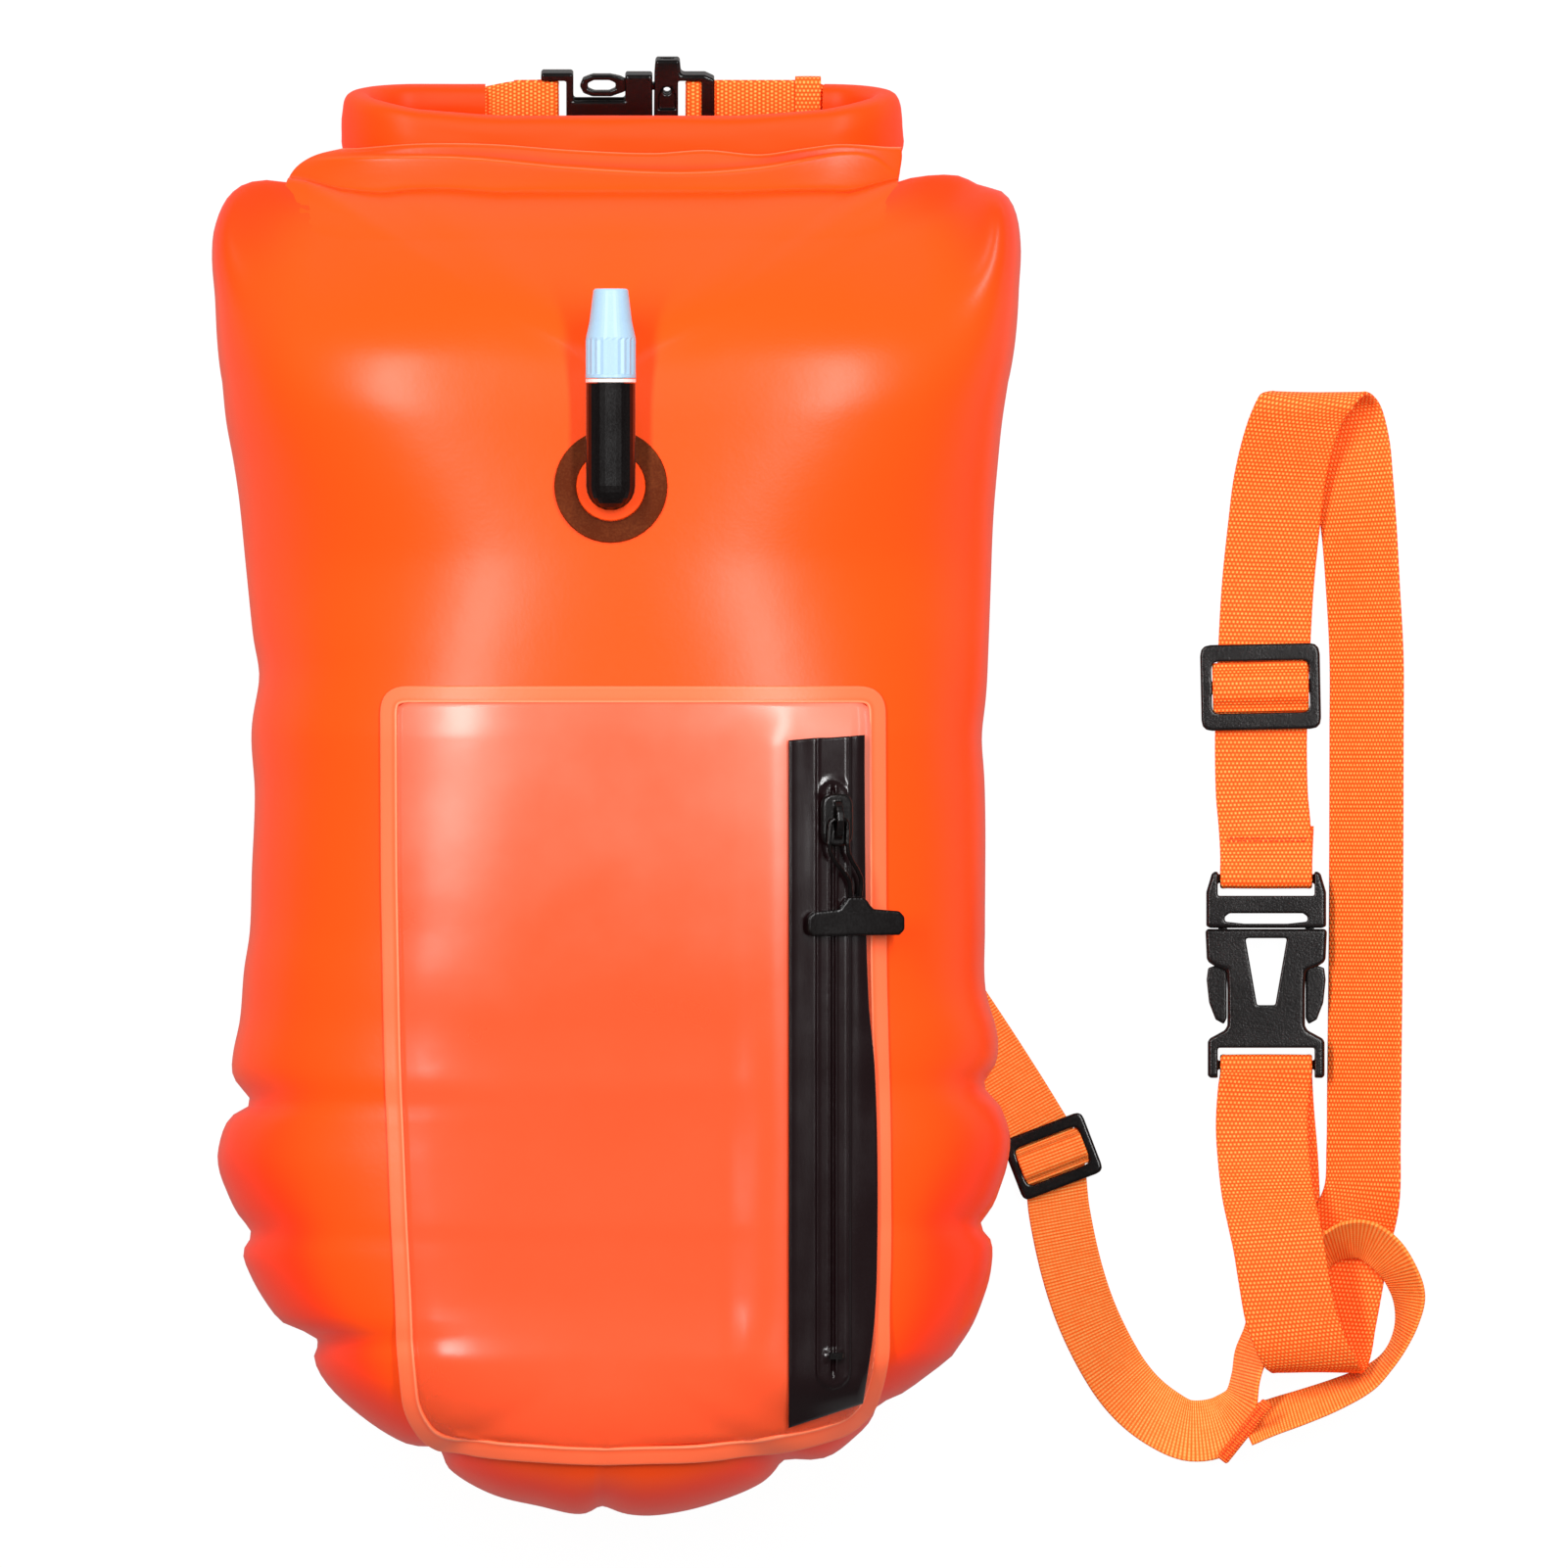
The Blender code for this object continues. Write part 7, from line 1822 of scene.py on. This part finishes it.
@dataclass
class PhonePocket:
    """Clear pocket on the front, with its welded border and its sealing zipper."""

    corners_mm: tuple[tuple[float, float], ...] = (
        (-75.8, 31.7), (-75.6, -30.0), (-74.6, -90.0), (-72.6, -140.0), (-70.6, -178.0), (-68.0, -202.0),
        (-60.5, -213.0), (-40.0, -216.4), (-9.0, -218.4), (27.0, -217.6), (62.0, -212.6), (75.0, -208.4),
        (82.6, -201.0), (87.2, -186.0), (88.4, -150.0), (88.2, -110.0), (86.8, -60.0), (86.4, 31.7),
    )
    corner_radius: float = 9.0 * MM
    border: float = 5.5 * MM
    skin_gap: float = 0.45 * MM
    film: float = 0.5 * MM
    end_lift: float = 1.1 * MM
    end_lift_top: float = -165.0 * MM
    end_lift_length: float = 20.0 * MM
    space: float = 1.9 * MM
    lift_width: float = 20.0 * MM
    tape_left: float = 14.3 * MM
    tape_top: float = 14.5 * MM
    tape_tail: float = 15.5 * MM
    lip_top: float = 2.0 * MM
    slit: float = 3.5 * MM
    overlap: float = 0.9 * MM
    lift_right: float = 7.3 * MM
    lift_width_right: float = 6.0 * MM
    tape_level: float = 2.9 * MM
    tape_rows: int = 250
    panel_half: float = 5.5 * MM
    panel_end: float = -194.3 * MM
    arch_place: float = -3.2 * MM
    slider_level: float = 5.75 * MM
    stop_place: float = -183.9 * MM
    pad_half: tuple[float, float] = (2.9 * MM, 1.8 * MM)
    pad_edge: float = 0.6 * MM
    pad_rise: float = 0.95
    bead_place: float = 0.95 * MM
    bead_width: float = 0.34 * MM
    bead_rise: float = 0.5
    groove_width: float = 0.5 * MM
    groove_depth: float = 0.85

    def outline(self, inset: float) -> list[Vector]:
        """The pocket's outline, moved in from its outer edge."""
        corners, drawn = [], [Vector(corner) * MM for corner in self.corners_mm]
        count = len(drawn)
        for i, here in enumerate(drawn):
            before = (here - drawn[i - 1]).normalized()
            after = (drawn[(i + 1) % count] - here).normalized()
            inward = Vector((-before.y, before.x)) + Vector((-after.y, after.x))
            corners.append(here + inward * inset / (1 + before.dot(after)))
        radius, outline = max(self.corner_radius - inset, inset), []
        for i, here in enumerate(corners):
            before, after = corners[i - 1] - here, corners[(i + 1) % count] - here
            reach = min(radius, before.length * 0.45, after.length * 0.45)
            start, end = here + before.normalized() * reach, here + after.normalized() * reach
            for step in range(9):
                t = step / 8
                outline.append((1 - t) ** 2 * start + 2 * t * (1 - t) * here + t * t * end)
        return outline

    @staticmethod
    def spread(outline: list[Vector], step: float) -> list[Vector]:
        """An outline with its long sides divided."""
        points = []
        for i, here in enumerate(outline):
            after = outline[(i + 1) % len(outline)]
            parts = max(1, math.ceil((after - here).length / step))
            points += [here.lerp(after, k / parts) for k in range(parts)]
        return points

    def on_skin(self, x: float, y: float, lift: float) -> Vector:
        """A point over the front film, with the room that its lower end needs."""
        lift += ease(0.0, self.end_lift, (self.end_lift_top - y) / self.end_lift_length)
        return FORM.on_front(x, y, lift)

    def laid_height(self, x: float, y: float, lift: float) -> float:
        """Height straight above a place at which a sheet's distance off the front film is kept."""
        foot = Vector((x, y, FORM.front_height(x, y)))
        away = self.on_skin(x, y, lift) - foot
        return foot.z + away.length_squared / max(away.z, 0.35 * away.length)

    def rim(self) -> bpy.types.Object:
        """Welded border: a flat band with a raised bead along its inner edge."""
        outer = self.spread(self.outline(0.0), 3.0 * MM)
        # The third number is a tone: below zero paints highlights on the bead and on the band's outer rise,
        # above zero paints shade beside the bead, faintly over the band and at its outer foot.
        profile = (
            (0.0, 0.0, 0.0), (1.0, 0.0, 0.0), (1.0, 0.5, 0.0), (0.96, 0.82, -0.7), (0.9, 0.88, -0.8),
            (0.84, 0.66, 0.0), (0.8, 0.6, 0.5), (0.6, 0.6, 0.15), (0.4, 0.62, 0.1), (0.2, 0.58, 0.15),
            (0.08, 0.62, -0.3), (0.02, 0.5, -0.2), (0.0, 0.3, 0.3),
        )
        points, tones = [], []
        for i, point in enumerate(outer):
            run = outer[(i + 1) % len(outer)] - outer[i - 1]
            inward = Vector((-run.y, run.x)).normalized()
            for share, height, tone in profile:
                spot = point + inward * self.border * share
                points.append(self.on_skin(spot.x, spot.y, self.skin_gap + height * MM))
                tones.append(tone)
        faces = tube_faces(len(outer), len(profile), closed=True)
        return clean(add_mesh("rim", points, faces, tones))

    @staticmethod
    def span_at(outline: list[Vector], y: float) -> tuple[float, float]:
        """Left and right edge of an outline at a height."""
        found = []
        for i, here in enumerate(outline):
            after = outline[(i + 1) % len(outline)]
            if (here.y - y) * (after.y - y) <= 0 and here.y != after.y:
                found.append(here.x + (after.x - here.x) * (y - here.y) / (after.y - here.y))
        return min(found), max(found)

    def window(self) -> bpy.types.Object:
        """Clear front, slit under the zipper and lifted there for the slider's foot."""
        outline = self.outline(self.border - self.overlap)
        top, bottom = max(p.y for p in outline) - 0.002 * MM, min(p.y for p in outline) + 0.002 * MM
        marks = [top, self.tape_top, self.lip_top, FORM.zip_bottom, bottom]
        heights = [marks[0]]
        for high, low in zip(marks, marks[1:]):
            parts = max(2, round((high - low) / (2.6 * MM)))
            heights += [high + (low - high) * i / parts for i in range(1, parts + 1)]
        left_edge, right_edge = FORM.zip_x - self.tape_left - 0.3 * MM, FORM.zip_x + self.lift_right
        slit_x = FORM.zip_x + self.space * math.sin(FORM.zip_tilt)
        slit_left, slit_right = slit_x - self.slit / 2, slit_x + self.slit / 2
        lower, upper, tones, skipped = [], [], [], set()
        for row, y in enumerate(heights):
            left, right = self.span_at(outline, y)
            ramp = left_edge - self.lift_width
            places = [left + (ramp - left) * i / 38 for i in range(39)]
            places += [ramp + (left_edge - ramp) * i / 6 for i in range(1, 7)]
            places += [left_edge + (slit_left - left_edge) * i / 4 for i in range(1, 5)]
            cut = len(places) - 1
            places += [slit_right + (right_edge - slit_right) * i / 4 for i in range(5)]
            places = [min(place, right) for place in places] + [right]
            low_row, high_row, tone_row = [], [], []
            for x in places:
                slack = 0.5 * MM * (0.5 + noise.noise((x * 22, y * 9, 5.0)))
                slack *= min(1.0, (x - left) / (8 * MM), (top - y) / (8 * MM), (y - bottom) / (8 * MM))
                skin = self.on_skin(x, y, self.skin_gap + max(slack, 0.0))
                beyond_left = (left_edge - x) / self.lift_width
                beyond_right = (x - right_edge) / self.lift_width_right
                near = 1 - max(beyond_left, beyond_right, 0.0)
                tail = min(max((FORM.zip_bottom - y) / self.tape_tail, 0.0), 1.0)
                ends = min((top - y) / (top - self.tape_top), 1 - tail)
                share = min(max(near, 0.0), 1.0) * min(max(ends, 0.0), 1.0)
                z = ease(skin.z, max(FORM.zip_plane(x, y, self.space), skin.z), share)
                low_row.append((skin.x, skin.y, z))
                high_row.append((skin.x, skin.y, z + self.film / math.cos(FORM.zip_tilt)))
                # The tone paints a reflection of the lamps: pale bands at x = -48 mm and x = 74 mm, fading
                # out towards the bottom.
                pale = 0.75 * bump_of(x + 48 * MM, 14 * MM) + bump_of(x - 74 * MM, 30 * MM)
                tone_row.append(ease(0.98, 0.0, (top - y) / (130 * MM)) * min(0.45 + 0.55 * pale, 1.0))
            lower.append(low_row)
            upper.append(high_row)
            tones.append(tone_row)
            if FORM.zip_bottom + 0.01 * MM < y <= self.lip_top + 0.01 * MM:
                skipped.add((row, cut))
        return sheet_mesh("window", lower, upper, tones, skipped)

    def panel_height(self, across: float, y: float) -> float:
        """Height of the tape's top over its underside: panel, two beads along the slit and an arch."""
        end = self.panel_end + self.panel_half
        place = Vector((across, min(y - end, 0.0)))
        inside = self.panel_half - place.length
        height = 0.7 + 1.1 * ease(0.0, 1.0, inside / (0.6 * MM) + 0.5)
        height += 0.22 * bump_of(inside - 0.5 * MM, 0.35 * MM)
        pad = ease(0.0, 1.0, (self.pad_half[0] - abs(across)) / self.pad_edge)
        pad_end = ease(0.0, 1.0, (self.pad_half[1] - abs(y - self.stop_place)) / self.pad_edge)
        height += self.pad_rise * pad * pad_end
        slit_end = ease(0.0, 1.0, (y - self.panel_end - 3.5 * MM) / (1.2 * MM))
        slit_end *= ease(0.0, 1.0, (self.arch_place - y) / (1.0 * MM) + 3.0)
        bead = bump_of(abs(across) - self.bead_place, self.bead_width)
        groove = bump_of(across, self.groove_width)
        height += slit_end * (self.bead_rise * bead - self.groove_depth * groove)
        if y > self.arch_place - 1.0 * MM:
            ring = math.hypot(across, y - self.arch_place) - self.panel_half * 0.86
            height += 0.45 * bump_of(ring, 0.7 * MM) * ease(0.0, 1.0, (y - self.arch_place) / MM + 1.0)
        curl = ease(0.0, 0.3, (-across - 12.6 * MM) / (1.6 * MM))
        return (height + curl) * MM

    def tape(self) -> bpy.types.Object:
        """The zipper's coated tape, whose right edge follows the bag's side."""
        top_mm = ((-14.3, 14.2), (-6.0, 15.0), (0.0, 15.2), (10.2, 16.0))
        top = [read_smooth(top_mm, u) for u in range(-15, 16)]
        heights = [1 - i / self.tape_rows for i in range(self.tape_rows + 1)]
        inner = [-6.8, -6.3, -6.0, -5.7, -5.4, -5.1, -4.8, -4.4, -3.6, -2.8, -2.0, -1.6, -1.3, -1.1]
        inner += [-0.95, -0.8, -0.6, -0.4, -0.2, 0.0]
        inner += [-u for u in reversed(inner[:-1])]
        lower, upper, tones = [], [], []
        for share in heights:
            low_row, high_row, tone_row = [], [], []
            nominal = FORM.zip_bottom - self.tape_tail
            nominal += (self.tape_top - FORM.zip_bottom + self.tape_tail) * share
            right = read_smooth(TAPE_RIGHT_MM, nominal / MM)
            places = [-14.3 + (7.5 * i / 7) for i in range(7)] + inner
            places += [6.8 + (right - 6.8) * i / 9 for i in range(1, 10)]
            for u in places:
                bottom = -207.3 + (u + 14.3) / 25.7 * 8.3
                head = top[round(u) + 15]
                y = (bottom + (head - bottom) * share) * MM
                across = u * MM
                x = FORM.zip_x + across + self.tape_level * math.sin(FORM.zip_tilt)
                plane = FORM.zip_plane(x, y, self.tape_level)
                laid = self.laid_height(x, y, 2.0 * MM)
                tail = min(max((FORM.zip_bottom - y) / self.tape_tail, 0.0), 1.0)
                z = ease(plane, laid, tail)
                z = ease(z, laid, (u - 7.6) / 6.4)
                wave = 0.25 * MM * noise.noise((x * 30, y * 26, 2.0)) * ease(0.0, 1.0, (abs(u) - 6.5) / 3)
                high = self.panel_height(across, y) / math.cos(FORM.zip_tilt)
                low_row.append((x, y, z + wave))
                high_row.append((x, y, z + wave + high))
                tone_row.append(0.0)
            lower.append(low_row)
            upper.append(high_row)
            tones.append(tone_row)
        return sheet_mesh("tape", lower, upper, tones)

    def build(self) -> None:
        """Make and dress the pocket."""
        dress(self.rim(), "pocket_border", BORDER, "bag", ["pocket_rim"], 50.0)
        dress(self.window(), "pocket_clear_front", CLEAR, "bag", ["pocket_window"])
        covered = ["zipper_tape", "zipper_lip_left", "zipper_lip_right", "zipper_garage"]
        dress(self.tape(), "zipper_tape_coated", TAPE, "bag", covered)
        moulded("zipper_pull_cord", RUBBER, "zipper_pull_body", 0.22 * MM, 3)
        moulded("zipper_pull_tee", RUBBER, "zipper_pull_body")
        over = FORM.zip_frame(-11.0 * MM) @ Matrix.Translation((0, 0, self.slider_level))
        moulded("zipper_slider", GLOSS_BLACK, "zipper_slider_body", 0.2 * MM, 4, over)
        refinish(GLOSS_BLACK, "zipper_stop")


@dataclass
class InflationValve:
    """Inflation valve on the front film."""

    def build(self) -> None:
        """Dress the valve."""
        refinish(BROWN, "valve_flange")
        refinish(FILM, "valve_seat")
        refinish(RUBBER, "valve_tube")
        refinish(WHITE, "valve_stem")
        refinish(BLUE, "valve_cap")


# Studio


@dataclass
class Studio:
    """Camera straight above the buoy, white floor and soft light."""

    view_width: float = 508.25 * MM
    view_centre: tuple[float, float] = (54.0 * MM, 0.2 * MM)
    distance: float = 12.0
    focus_height: float = 60.0 * MM
    sensor: float = 36.0
    floor_size: float = 12.0
    sky: float = 0.28
    gloss_sky: float = 0.15
    strip_size: tuple[float, float] = (0.15, 1.4)
    strip_reach: float = 1.6
    strip_lead: float = 0.62
    strip_angle: float = math.radians(22.0)
    strip_power: float = 24.5

    def camera(self) -> None:
        """Camera that looks straight down, with the photograph's framing."""
        data = bpy.data.cameras.new("camera")
        data.sensor_width = self.sensor
        data.lens = self.sensor * self.distance / self.view_width
        camera = bpy.data.objects.new("camera", data)
        camera.location = (*self.view_centre, self.distance + self.focus_height)
        bpy.context.scene.collection.objects.link(camera)
        bpy.context.scene.camera = camera

    def floor(self) -> None:
        """White floor under the buoy."""
        deselect()
        bpy.ops.mesh.primitive_plane_add(size=self.floor_size, location=(0, 0, -0.5 * MM))
        floor = bpy.context.object
        floor.name = "studio_floor"
        floor.data.materials.append(FLOOR.material())

    def light(self) -> None:
        """Even sky and two long soft strips."""
        world = bpy.data.worlds.new("studio")
        world.use_nodes = True
        nodes, links = world.node_tree.nodes, world.node_tree.links
        path, surface = nodes.new("ShaderNodeLightPath"), nodes["Background"]
        surface.inputs[0].default_value = (1.0, 1.0, 1.0, 1.0)
        surface.inputs[1].default_value = self.sky
        for ray, strength in (("Is Glossy Ray", self.gloss_sky), ("Is Camera Ray", 1.0)):
            seen, mixer = nodes.new("ShaderNodeBackground"), nodes.new("ShaderNodeMixShader")
            seen.inputs[1].default_value = strength
            seen.inputs[0].default_value = (1.0, 1.0, 1.0, 1.0)
            links.new(path.outputs[ray], mixer.inputs[0])
            links.new(surface.outputs[0], mixer.inputs[1])
            links.new(seen.outputs[0], mixer.inputs[2])
            surface = mixer
        links.new(surface.outputs[0], nodes["World Output"].inputs[0])
        bpy.context.scene.world = world
        for side in (-1, 1):
            data = bpy.data.lights.new("strip", "AREA")
            data.shape = "RECTANGLE"
            data.size, data.size_y = self.strip_size
            data.energy = self.strip_power
            strip = bpy.data.objects.new("strip", data)
            turn = self.strip_angle * side
            reach = self.strip_reach
            strip.location = (reach * math.sin(turn), self.strip_lead, reach * math.cos(turn))
            strip.rotation_euler = (0.0, turn, 0.0)
            bpy.context.scene.collection.objects.link(strip)

    def build(self) -> None:
        """Set the studio up."""
        self.camera()
        self.floor()
        self.light()
        bpy.context.scene.view_settings.view_transform = "Standard"


def main() -> None:
    """Build the looks, sub-assembly by sub-assembly."""
    logging.basicConfig(level=logging.INFO, format="%(message)s")
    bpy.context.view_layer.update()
    belt_strap = Strap(30.0 * MM, 1.4 * MM)
    tow_strap = Strap(20.0 * MM, 1.2 * MM)
    assemblies = (
        Studio(), WaistBelt(belt_strap), TowStrap(tow_strap), InflatedBag(), RolledTop(),
        Closure(), PhonePocket(), InflationValve(),
    )
    for assembly in assemblies:
        LOG.info("%s", type(assembly).__name__)
        assembly.build()


if __name__ == "__main__":
    main()
